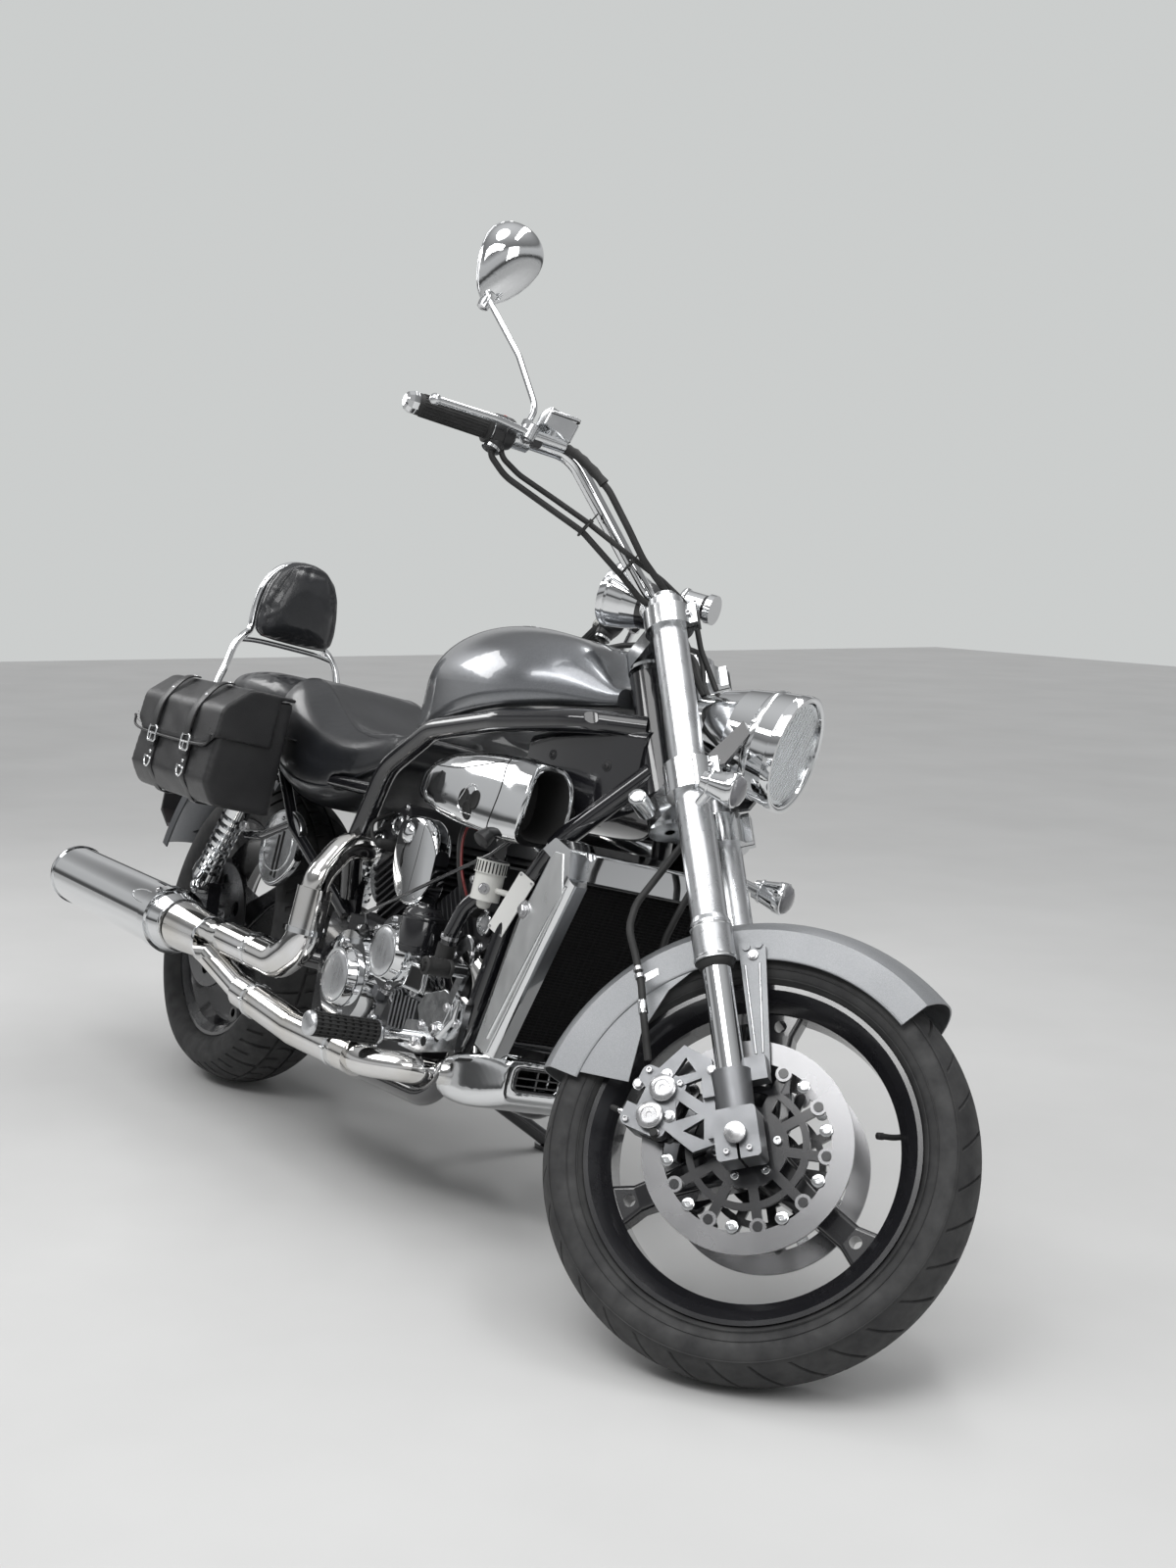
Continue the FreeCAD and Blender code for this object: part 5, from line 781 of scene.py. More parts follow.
def wheel_trim():
    bolts = []
    for side in (-1, 1):
        out = (0, side, 0)
        bolts.append(ring_of(6, 44, (0, side * 63.6, 0), out, lambda p: cap_screw(p, out, 6.2, 6)))
        bolts.append(ring_of(10, 113, (0, side * 70.2, 0), out, lambda p: lathe(
            [(0, 9.4), (1.2, 9.2), (1.9, 7.8), (1.9, 3.6), (0.3, 3.2), (0.3, 0)], p, out, 20)))
    piece("disc_bobbins", joined(*bolts), "polished", STEERED, "front_wheel", 30)
    stem = [(214, 0, -8), (196, -6, -8), (182, -22, -8)]
    valve = joined(tube(smooth_line(stem, 6), 4.2, 10), lathe([(0, 5.2), (9, 5.0), (10, 3.5), (10, 0)],
                                                              stem[-1], (-14, -16, 0), 12))
    piece("valve_front", valve, "rubber", STEERED, "front_wheel", 40)
    stem = [(200, 0, 30), (182, -8, 30), (170, -26, 30)]
    piece("valve_rear", joined(tube(smooth_line(stem, 6), 4.2, 10), lathe([(0, 5.2), (9, 5.0), (10, 0)],
                                                                          stem[-1], (-12, -18, 0), 12)),
          "rubber", REAR_WHEEL, "rear_wheel", 40)
    # Steel rings at the rim's flanges: painted highlight lines on the glossy black rim.
    lines = [tube(circle(r, side * 45.3), 0.8, 6, True) for r in (231.5, 238.5) for side in (-1, 1)]
    piece("rim_painted_highlights_front", joined(*lines), "steel", STEERED, "front_wheel", 60)
    heads = ring_of(5, 40, (0, -101, 0), (0, -1, 0), lambda p: hex_bolt(p, (0, -1, 0), 6.5, 6))
    piece("rear_disc_bolts", heads, "steel", REAR_WHEEL, "rear_wheel", 30)


def build_wheels():
    front_tyre()
    rear_tyre()
    drilled("discs_front", "front_discs", hole_ring(20, [(125, 0, 3.6), (134, 4.5, 3.6), (143, 9, 3.6)]),
            STEERED, "front_wheel")
    drilled("disc_rear", "rear_disc", hole_ring(16, [(100, 0, 3.6), (110, 5, 3.6), (120, 10, 3.6)]),
            REAR_WHEEL, "rear_wheel")
    wheel_trim()


# Fork, front fender and headlight, drawn in the fork's frame

RAKE = math.radians(32.7)
UP_LEVEL = Vector((math.sin(RAKE), 0, math.cos(RAKE)))
AHEAD_LEVEL = Vector((math.cos(RAKE), 0, -math.sin(RAKE)))


def fork_trim():
    seals, rings, screws, marks = [], [], [], []
    for y in (-106, 106):
        out = 1 if y > 0 else -1
        leg = Vector((0, y, 0))
        seals.append(lathe([(248, 21.2), (250, 24.5), (255, 26.5), (259, 27.4), (259, 21.2)], leg, (0, 0, 1),
                           40))
        rings += [lathe([(z, 30.1), (z + 1, 30.9), (z + 4, 30.9), (z + 5, 30.1)], leg, (0, 0, 1), 48)
                  for z in (261, 309)]
        rings.append(lathe([(872, 19.4), (876, 19.2), (879, 16.5), (879, 8.2), (875, 8.0), (875, 0)], leg,
                           (0, 0, 1), 32))
        screws += [cap_screw((36, y + out * 13, z), (0, out, 0), 5.2, 6) for z in (538, 564)]
        screws.append(cap_screw((36, y + out * 13, 828), (0, out, 0), 5.2, 6))
        screws += [cap_screw((x, y + out * 25, -22), (0, out, 0), 4.2, 5) for x in (-16, 16)]
        screws.append(hex_bolt((0, y + out * 33, 0), (0, out, 0), 11.5, 3.5))
        screws += [hex_bolt((x, out * 79, z), (0, out, 0), 6.0, 4.5) for x, z in ((50, 270), (39, 112))]
        # Dark hexagons in the axle ends: painted shade in the hexagon sockets.
        marks.append(lathe([(-3, 7.2), (0, 7.2), (0.8, 6.0), (0.8, 3.4), (-2, 3.2), (-2, 0)],
                           (0, y + out * 34.4, 0), (0, out, 0), 6))
    fork_piece("fork_wipers", joined(*seals), "rubber", 40)
    fork_piece("fork_rings", joined(*rings), "polished", 30)
    fork_piece("fork_screws", joined(*screws), "steel", 30)
    fork_piece("axle_hexagons", joined(*marks), "dark", 30)


def caliper_trim():
    """Piston caps, slide boots, bleeder, hose bolts, bracket bolts and pads of both calipers."""
    turn = Matrix.Rotation(math.radians(-56.0), 4, "Y")
    caps = []
    for x in (-21, 21):
        caps.append(lathe([(104.2, 19.5), (105.5, 19.2), (107.2, 16.5), (107.4, 12.0), (106.0, 11.0),
                           (106.0, 4.5), (104.6, 4.0), (104.6, 0)], (x, 0, 134), (0, 1, 0), 36))
    bits = [cap_screw((x, 95.4, z), (0, 1, 0), 4.6, 4.4) for x, z in ((-38, 116), (38, 116), (-38, 166),
                                                                      (38, 166))]
    boot = lathe([(0, 7), (2, 9), (4, 7.4), (6, 9), (8, 7.4), (10, 9), (12, 6), (20, 5.6)], (-40, 84, 118),
                 LEFT, 18)
    bleeder = lathe([(0, 5), (5, 5), (6, 3.2), (14, 3.0), (15, 2.2), (15, 0)], (-30, 88, 176), (0, 0, 1), 12)
    cover = lathe([(9, 4.4), (19, 4.0), (21, 2.2), (21, 0)], (-30, 88, 176), (0, 0, 1), 12)
    shoe = joined(*[prism([(-36, -13), (36, -13), (38, 8), (20, 14), (-20, 14), (-38, 8)], (0, y, 116),
                          (1, 0, 0), (0, 0, 1), 5) for y in (78.5, 59.0)])
    banjo = joined(lathe([(0, 8.5), (7, 8.5)], (14, 88, 172), (0, 1, 0), 18),
                   hex_bolt((14, 95, 172), (0, 1, 0), 7, 6, False))
    bolts = [hex_bolt((x, 97.2, z), LEFT, width, high) for x, z, width, high in
             ((-92, 112, 6.5, 6), (-28, 106, 5.5, 5), (-96, 52, 6.5, 6), (-34, 22, 5.5, 5))]
    bits = joined(moved(joined(bleeder, *bits), turn), joined(*bolts), moved(banjo, turn))
    fork_piece("caliper_caps", both(moved(joined(*caps), turn)), "steel", 30)
    fork_piece("caliper_bolts", both(bits), "steel", 30)
    fork_piece("caliper_boots", both(moved(joined(cover, boot), turn)), "rubber", 40)
    fork_piece("brake_pads", both(moved(shoe, turn)), "wrinkle", 30)


def hose_clips():
    """Clips of the brake hoses at the fork, and the steel sleeves at their ends."""
    foot = Vector((-112, -103, 250))
    ahead = Vector((-116, -100, 298)) - foot
    clips = [lathe([(0, 7.4), (6, 7.4)], foot + ahead * share, ahead, 18) for share in (0.2, 0.45)]
    plate = prism([(-3, 0), (26, 10), (26, 20), (-3, 12)], (-112, -96, 252), (1, 0, 0), (0, 0, 1), 2.0)
    fork_piece("hose_clips", both(joined(*clips, plate)), "steel", 30)
    sleeve = lathe([(0, 7.0), (18, 7.0), (20, 6.0)], (-114, -102.8, 206), (0.02, 0, 1), 18)
    fork_piece("hose_sleeves", both(sleeve), "polished", 30)


def headlight_trim():
    """Reflector, bulb shield, lens rim, band and lens flutes of the headlamp, about its own axis."""
    change = (Matrix.Translation((1690, 0, 312.6)) @ Matrix.Rotation(-RAKE, 4, "Y")).inverted()
    centre = Vector((1472, 0, 905))
    axis = Vector((1, 0, -0.03)).normalized()
    rows = [(2.5, 81.0), (-3, 76), (-10, 62), (-15, 44), (-18, 26), (-19, 12), (-19, 0)]
    bowl = lathe(rows, centre, axis, 72)
    fork_piece("headlamp_bowl", moved(bowl, change), "chrome", 50)
    shield = lathe([(-19, 9), (-10, 12), (-2, 13), (1, 11), (2, 0)], centre, axis, 32)
    fork_piece("headlamp_bulb_shield", moved(shield, change), "polished", 40)
    rim = lathe([(4, 81.6), (9, 82.6), (14.5, 86.5), (16.5, 90.5), (15.5, 93.2), (10, 93.8), (2, 93.2)],
                centre, axis, 96)
    fork_piece("headlamp_rim", moved(rim, change), "chrome", 60)
    screws = [dome_screw(centre + Vector((-36, s * 87, 0)), (0, s, 0), 6) for s in (-1, 1)]
    band = lathe([(-40, 86.6), (-37, 88.3), (-31, 89.0), (-28, 88.0)], centre, axis, 96)
    fork_piece("headlamp_band", moved(joined(band, *screws), change), "polished", 40)
    flutes = []
    for k in range(-7, 8):
        y = k * 10.0
        half = math.sqrt(max(78.0 ** 2 - y * y, 0)) - 3
        flutes.append(tube([centre + axis * 6.5 + Vector((0, y, -half)),
                            centre + axis * 6.5 + Vector((0, y, half))], 1.3, 6))
    fork_piece("headlamp_flutes", moved(joined(*flutes), change), "lens", 60)


def indicator_trim():
    """Smoked lenses and rims of both front indicators; the left one hangs lower."""
    for side, drop, name in ((-1, 0.0, "right"), (1, 46.0, "left")):
        back = Vector((30, side * 158, 520 - drop))
        lens = lathe([(50, 24.2), (55, 23.6), (60, 20.5), (64, 13), (65.5, 5), (65.7, 0)], back, AHEAD_LEVEL,
                     40)
        rim = lathe([(40, 25.4), (46, 26.2), (53, 26.2), (54.6, 24.4)], back, AHEAD_LEVEL, 40)
        rings = lathe([(10, 18.6), (12, 19.8), (14, 19.2)], back, AHEAD_LEVEL, 32)
        fork_piece("indicator_lens_" + name, lens, "smoke", 50)
        fork_piece("indicator_rim_" + name, joined(rim, rings), "chrome", 50)


def fender_trim():
    """Rolled edges along the front fender's rims and its stay's ribs."""
    edges = []
    for y in (-71, 71):
        line = []
        for i in range(49):
            a = math.radians(-58 + 120 * i / 48)
            line.append((272 * math.sin(a), y, 272 * math.cos(a)))
        edges.append(tube(line, 1.9, 8))
    fork_piece("fender_edges", joined(*edges), "pale_paint", 60)
    ribs = []
    for s in (-1, 1):
        for x0, x1 in ((37, 34), (58, 44)):
            ribs.append(tube([(x0, s * 78.6, 256), (x1, s * 78.6, 124)], 1.6, 8))
    fork_piece("stay_ribs", joined(*ribs), "satin", 60)


def build_front_end():
    fork_trim()
    caliper_trim()
    hose_clips()
    headlight_trim()
    indicator_trim()
    fender_trim()


# Handlebar, controls and instruments, drawn in the fork's frame

BAR_END = Vector((-285, 415, 1125))
BAR_IN = (Vector((-96, 215, 1103)) - BAR_END).normalized()


def on_bar(distance):
    """A point of the left grip's run; the right one is its mirror image."""
    return BAR_END + BAR_IN * distance


LEVER_PIVOT = (on_bar(170) + on_bar(197)) * 0.5
BAR_AHEAD = UP_LEVEL.cross(BAR_IN).normalized()


def grip_trim():
    ribs = []
    u, v = axes_along(BAR_IN, UP_LEVEL)
    for k in range(24):
        a = 2 * math.pi * k / 24
        off = (u * math.cos(a) + v * math.sin(a)) * 17.0
        ribs.append(tube([on_bar(14) + off, on_bar(120) + off], 1.1, 6))
    ends = lathe([(-14, 0), (-14, 9), (-11, 14), (-4, 17.4), (3, 17.8), (7, 16.6), (7, 0)], BAR_END, BAR_IN,
                 10)
    collar = lathe([(122, 17.6), (124, 23.6), (129, 23.8), (131, 18)], BAR_END, BAR_IN, 32)
    fork_piece("grip_ribs", both(joined(*ribs)), "rubber", 60)
    fork_piece("bar_ends", both(ends), "chrome", 20)
    fork_piece("grip_collars", both(collar), "rubber", 50)


def switch_housing():
    """Black switch shells with their seam, buttons and rockers, and the perch's clamp screws."""
    ahead = BAR_AHEAD
    shell = lathe([(130, 17), (132, 22.6), (136, 23.6), (148, 24.2), (149, 23.4), (150, 24.2), (163, 23.6),
                   (167, 22), (168, 16)], BAR_END, BAR_IN, 28, 1.12)
    middle = on_bar(149)
    belly = lathe([(0, 18), (26, 17), (33, 13), (36, 7), (36, 0)], middle, -UP_LEVEL, 24)
    fork_piece("switch_shells", both(joined(shell, belly)), "plastic", 40)
    back = -ahead
    rocker = prism(round_outline(7, 4, 2), middle + back * 23 + BAR_IN * 6, BAR_IN, UP_LEVEL, 5)
    slide = prism(round_outline(5, 3.4, 1.5), middle + back * 20 - UP_LEVEL * 12, BAR_IN, UP_LEVEL, 7)
    fork_piece("switch_rockers", both(joined(rocker, slide)), "white_plastic", 30)
    red = lathe([(0, 5.5), (5, 5.5), (6.5, 4), (6.5, 0)], middle + UP_LEVEL * 21 - BAR_IN * 4, UP_LEVEL, 16)
    fork_piece("stop_button", mirrored(red), "button_red", 30)
    screws = [cap_screw(on_bar(d) - ahead * 17.5 + UP_LEVEL * h, -ahead, 3.6, 4) for d in (178, 190)
              for h in (8, -8)]
    pivot = LEVER_PIVOT + ahead * 36
    screws.append(hex_bolt(pivot + UP_LEVEL * 12, UP_LEVEL, 6.4, 5))
    screws.append(lathe([(0, 6), (3, 6), (3.5, 4), (3.5, 0)], pivot - UP_LEVEL * 15.5, UP_LEVEL, 14))
    fork_piece("perch_screws", both(joined(*screws)), "steel", 30)


def reservoirs():
    """Lids with bead, gasket line and screws on both fluid boxes."""
    ahead = BAR_AHEAD
    centre = LEVER_PIVOT + BAR_IN * 34 + ahead * 34 + UP_LEVEL * 41
    lid = joined(prism(round_outline(28, 21, 6), centre - UP_LEVEL * 1, BAR_IN, ahead, 3.5),
                 prism(round_outline(24, 17, 5), centre + UP_LEVEL * 2, BAR_IN, ahead, 3.2))
    fork_piece("reservoir_lids", both(lid), "chrome", 30, bevel=0.8)
    gasket = tube([centre + BAR_IN * a + ahead * b - UP_LEVEL * 2.2 for a, b in round_outline(27.2, 20.2, 6)],
                  0.9, 6, True)
    fork_piece("reservoir_gaskets", both(gasket), "rubber", 60)
    screws = [dome_screw(centre + BAR_IN * a + ahead * b + UP_LEVEL * 5, UP_LEVEL, 3.4) for a, b in
              ((-19, -12), (19, 12))]
    fork_piece("reservoir_screws", both(joined(*screws)), "steel", 30)


def cable_trim():
    """Boots at the cables' upper ends, ties with tails round the bundle, sleeves of the hoses."""
    right_hose = [(-104, -262, 1094), (-78, -244, 1076), (-44, -215, 1022), (-28, -180, 966)]
    pts = smooth_line(right_hose, 6)
    radii = [8.4 if i % 2 else 7.0 for i in range(len(pts))]
    boot = tube(pts[1:12], radii[1:12], 14)
    fork_piece("hose_boots", both(boot), "rubber", 60)
    ties = []
    for at, ahead, radius in (((-96, -186, 984), (0.55, 0.62, -0.56), 17),
                              ((-50, -130, 930), (0.55, 0.55, -0.62), 18),
                              ((13, -68, 866), (0.3, 0.4, -0.86), 17)):
        at, ahead = Vector(at), Vector(ahead).normalized()
        u, v = axes_along(ahead)
        ring = [at + (u * math.cos(t) * radius + v * math.sin(t) * radius * 0.72) for t in turns(24)]
        ties.append(tube(ring, 1.9, 6, True))
        head = at + u * (radius + 1)
        ties.append(lathe([(-3.5, 4), (3.5, 4)], head, ahead, 8))
        ties.append(tube([head, head + u * 18 + v * 5], 1.3, 6))
    fork_piece("cable_ties", joined(*ties), "rubber", 40)


def clamp_screws():
    screws = []
    for s in (-1, 1):
        for dy in (-9, 9):
            screws.append(cap_screw((-14, s * 40 + dy, 909), (0.55, 0, 0.84), 4.2, 5))
            screws.append(cap_screw((-46, s * 40 + dy, 909), (-0.55, 0, 0.84), 4.2, 5))
    screws.append(lathe([(0, 18.5), (4, 18.5), (6, 15), (6, 8), (2, 7.5), (2, 0)], (-62, 0, 858), (0, 0, 1),
                        6))
    fork_piece("bar_clamp_screws", joined(*screws), "steel", 30)
    lock = lathe([(0, 14.5), (46, 14.5), (52, 13.5), (54, 10), (54, 0)], (-84, -52, 545), (0, -1, 0), 28)
    face = lathe([(54, 8), (55.4, 7.6), (55.4, 0)], (-84, -52, 545), (0, -1, 0), 24)
    fork_piece("ignition_lock", lock, "polished", 40)
    fork_piece("ignition_face", face, "steel", 40)


def gauges():
    """Dials, glass and rims of the pod and of the small round gauge."""
    axis = Vector((-0.75, 0, 0.55)).normalized()
    centre = Vector((-92, 0, 965))
    fork_piece("speed_dial", lathe([(6.2, 43.6), (6.6, 43.4), (6.6, 0)], centre, axis, 60), "dark", 40)
    u, v = axes_along(axis, (0, 0, 1))
    ticks = []
    for k in range(0, 25):
        a = math.radians(-30 + 240 * k / 24)
        d = u * math.cos(a) + v * math.sin(a)
        inner = 33 if k % 4 == 0 else 36
        ticks.append(tube([centre + axis * 6.9 + d * inner, centre + axis * 6.9 + d * 40], 0.8, 4))
    needle = Vector(u * math.cos(math.radians(-24)) + v * math.sin(math.radians(-24)))
    ticks.append(tube([centre + axis * 8 - needle * 6, centre + axis * 8 + needle * 32], [1.4, 0.6], 6))
    fork_piece("speed_marks", joined(*ticks), "white_paint", 40)
    rim = lathe([(4, 51.8), (10, 54.2), (15, 53.6), (16.5, 50), (15, 45.4), (8, 44)], centre, axis, 72)
    fork_piece("speed_rim", rim, "chrome", 60)
    fork_piece("speed_glass", lathe([(12, 45.2), (13.2, 42), (14, 26), (14.2, 0)], centre, axis, 60), "lens",
               60)
    belt = lathe([(-92, 8), (-86, 22), (-62, 36.2), (-50, 39)], centre, axis, 60)
    fork_piece("speed_back_cap", belt, "black", 50)
    clock = Vector((24, 62, 950))
    back = -AHEAD_LEVEL
    fork_piece("clock_dial", lathe([(26.2, 20.4), (26.6, 20.2), (26.6, 0)], clock, back, 40), "white_paint",
               40)
    fork_piece("clock_rim", lathe([(20, 21.2), (24, 23.8), (28, 23.8), (30, 22), (29, 20.2)], clock, back,
                                  48), "chrome", 60)
    fork_piece("clock_glass", lathe([(28.4, 20.4), (29.4, 12), (29.6, 0)], clock, back, 40), "lens", 60)
    hands = [tube([clock + back * 27.3, clock + back * 27.3 + Vector(d)], 0.8, 4)
             for d in ((4, 7, 9), (-3, -9, 6))]
    fork_piece("clock_hands", joined(*hands), "dark", 40)
    cup = lathe([(-27, 6), (-26.6, 19), (-20, 21.6), (-12, 21.6), (-11, 21)], clock, back, 48)
    fork_piece("clock_cup", cup, "black", 50)


def mirror_trim():
    """The glass, rim and the ball joint with its nut on the right mirror."""
    facing = Vector((-0.60, -0.61, 0.51)).normalized()
    upward = (UP_LEVEL - facing * UP_LEVEL.dot(facing)).normalized()
    across = upward.cross(facing)
    centre = Vector((-142, 326, 1418))
    shape = [(-0.5, 0.02), (-0.46, 0.20), (-0.40, 0.38), (-0.3, 0.58), (-0.15, 0.79), (0.0, 0.93),
             (0.17, 1.0), (0.28, 0.95), (0.38, 0.80), (0.46, 0.56), (0.5, 0.26)]
    loop = [(w * 52, t * 142) for t, w in shape] + [(-w * 52, t * 142) for t, w in reversed(shape)]
    line = [centre + across * a + upward * b + facing * 0.5 for a, b in loop]
    fork_piece("mirror_rim", mirrored(tube(line, 2.2, 8, True)), "chrome", 60)
    inner = [(a * 0.93, b * 0.95) for a, b in loop]
    glass = prism(inner, centre + facing * 1.2, across, upward, 1.0)
    fork_piece("mirror_glass", mirrored(glass), "mirror", 30)
    low = centre - upward * 65 - facing * 8
    joint = lathe([(-20, 6), (-18, 9.5), (-8, 10.5), (0, 9), (8, 12)], low, upward, 24)
    foot = LEVER_PIVOT + UP_LEVEL * 19
    nut = lathe([(4, 9.5), (13, 9.5), (14, 8), (14, 5)], foot, UP_LEVEL, 6)
    fork_piece("mirror_joints", mirrored(joined(joint, nut)), "polished", 40)


def lever_trim():
    """Adjuster wheel of the clutch lever and the brake light switch."""
    ahead = BAR_AHEAD
    pivot = LEVER_PIVOT + ahead * 36
    wheel = lathe([(0, 6), (1, 9), (7, 9), (8, 6), (20, 5.5), (20, 0)], pivot + BAR_IN * 14 - UP_LEVEL * 2,
                  BAR_IN, 14)
    fork_piece("cable_adjuster", wheel, "steel", 30)
    switch = brick((-7, -5, -5), (9, 5, 5))
    turn = Matrix((BAR_IN, ahead, UP_LEVEL)).transposed().to_4x4()
    place = Matrix.Translation(pivot - UP_LEVEL * 14 + BAR_IN * 16) @ turn
    fork_piece("brake_light_switch", both(moved(switch, place)), "plastic", 30, bevel=0.6)


def build_bar():
    grip_trim()
    switch_housing()
    reservoirs()
    cable_trim()
    clamp_screws()
    gauges()
    mirror_trim()
    lever_trim()


# Frame, tank, bodywork, radiator and rear end

def touch(node, point, toward):
    """The place and normal, in upright millimetres, where a line from outside meets a node or a piece."""
    item = NODES[node] if isinstance(node, str) else node
    back = item.matrix_world.inverted()
    aim = (back.to_3x3() @ (UPRIGHT.to_3x3() @ Vector(toward))).normalized()
    hit, place, normal, _ = item.ray_cast(back @ (MACHINE @ Vector(point)), aim)
    if not hit:
        return None
    normal = (UPRIGHT.to_3x3().inverted() @ (item.matrix_world.to_3x3() @ normal)).normalized()
    return MACHINE.inverted() @ (item.matrix_world @ place), normal


SUNK = 0.4


def studs(node, spots, make):
    """Fasteners seated on a node's surface, at spots (x, z) seen from each side."""
    parts = []
    for x, z in spots:
        for s in (-1, 1):
            found = touch(node, (x, s * 500, z), (0, -s, 0))
            if found:
                place, out = found
                parts.append(make(place - out * SUNK, out))
    return joined(*parts)


def traced(node, points, toward=LEFT, lift=0.0):
    """The points where lines from outside meet a node or a piece, lifted off its surface."""
    hits = [touch(node, point, toward) for point in points]
    return [hit[0] + hit[1] * lift for hit in hits if hit]


def tank_trim():
    """Rings and knurl of the filler cap, and a dark plate that paints the shade of its lock slot."""
    top = Vector((850, 0, 1013))
    cap = [lathe([(-9, 34), (-7, 36.5), (-3, 36.8), (-1, 34.5)], top, (0, 0, 1), 56),
           lathe([(-1.5, 27), (0.6, 26), (1.4, 22), (1.0, 10), (2.2, 9), (2.2, 0)], top, (0, 0, 1), 48)]
    cap += [tube([top + Vector((math.cos(a) * 33.4, math.sin(a) * 33.4, z)) for z in (-20, -9)], 1.2, 6)
            for a in turns(36)]
    chassis_piece("cap_rings", joined(*cap), "chrome", 50)
    # The lock slot is not cut: a thin dark plate paints its shade.
    slot = prism([(-7, -1.6), (7, -1.6), (7, 1.6), (-7, 1.6)], (850, 0, 1014.8), (1, 0, 0), (0, 1, 0), 0.8)
    chassis_piece("cap_lock", slot, "dark", 30)


def frame_trim():
    """Fasteners of the neck panels, frame bolts and the bare plate on the right down tube."""
    domes = studs("frame", [(1096, 735), (1186, 715), (1232, 800), (1116, 800)], lambda p,
                  n: joined(lathe([(-1, 9), (1.2, 8.6), (1.6, 6.4)], p, n, 24), dome_screw(p + n, n, 5.6)))
    chassis_piece("neck_fasteners", domes, "plastic", 30)
    bolts = studs("frame", [(470, 690), (400, 610), (330, 640), (240, 700), (1096, 345), (1040, 204),
                            (700, 188), (560, 250), (575, 430)], lambda p, n: hex_bolt(p, n, 7))
    chassis_piece("frame_bolts", bolts, "steel", 30)
    low, high = Vector((1120, -112, 505)), Vector((1172, -106, 606))
    along = (high - low).normalized()
    out = Vector((0.35, -0.9, -0.28))
    out = (out - along * out.dot(along)).normalized()
    across = out.cross(along)
    middle = (low + high) * 0.5 + out * 18.4
    plate = prism(round_outline(16, 56, 3), middle - out * 1.2, across, along, -2.4)
    chassis_piece("frame_plate", plate, "white_paint", 30, bevel=0.4)
    tabs = prism(round_outline(9, 50, 2), middle - out * 14, across, along, -12)
    chassis_piece("frame_plate_seat", tabs, "black", 30)
    rivets = [dome_screw(middle + out * 1 + across * a + along * b, out, 2.6) for a in (-12, 12)
              for b in (-52, 52)]
    chassis_piece("frame_plate_rivets", joined(*rivets), "steel", 30)


SCOOP_ROWS = [(760, 12, 690, 712), (800, 24, 680, 738), (860, 34, 670, 757), (930, 41, 661, 772),
              (1010, 45, 654, 781), (1080, 46, 650, 785), (1150, 47, 648, 786), (1200, 46, 650, 781)]


def scoop_ring(x, half, low, high, grow=0.0, count=44, nose=0.0):
    """A soft, slightly domed cross-section of the scoop; nose pulls its middle height forward."""
    out = []
    middle_y, middle_z = -(93 + half), (low + high) / 2
    for k in range(count):
        a = 2 * math.pi * k / count
        c, s = math.cos(a), math.sin(a)
        y = math.copysign(abs(c) ** 0.62, c) * (half + grow)
        z = math.copysign(abs(s) ** 0.72, s) * ((high - low) / 2 + grow)
        lean = 0.10 * z if y < 0 else 0.0
        out.append(Vector((x + nose * (1 - (2 * z / (high - low)) ** 2), middle_y + y + lean, middle_z + z)))
    return out


def skin(rings, cap_start=True, cap_end=True):
    """Faces between rings of points that have the same count."""
    n = len(rings[0])
    verts = [p for ring in rings for p in ring]
    faces = [(i * n + k, i * n + (k + 1) % n, (i + 1) * n + (k + 1) % n, (i + 1) * n + k)
             for i in range(len(rings) - 1) for k in range(n)]
    if cap_start:
        faces.append(tuple(reversed(range(n))))
    if cap_end:
        faces.append(tuple(range((len(rings) - 1) * n, len(rings) * n)))
    return verts, faces


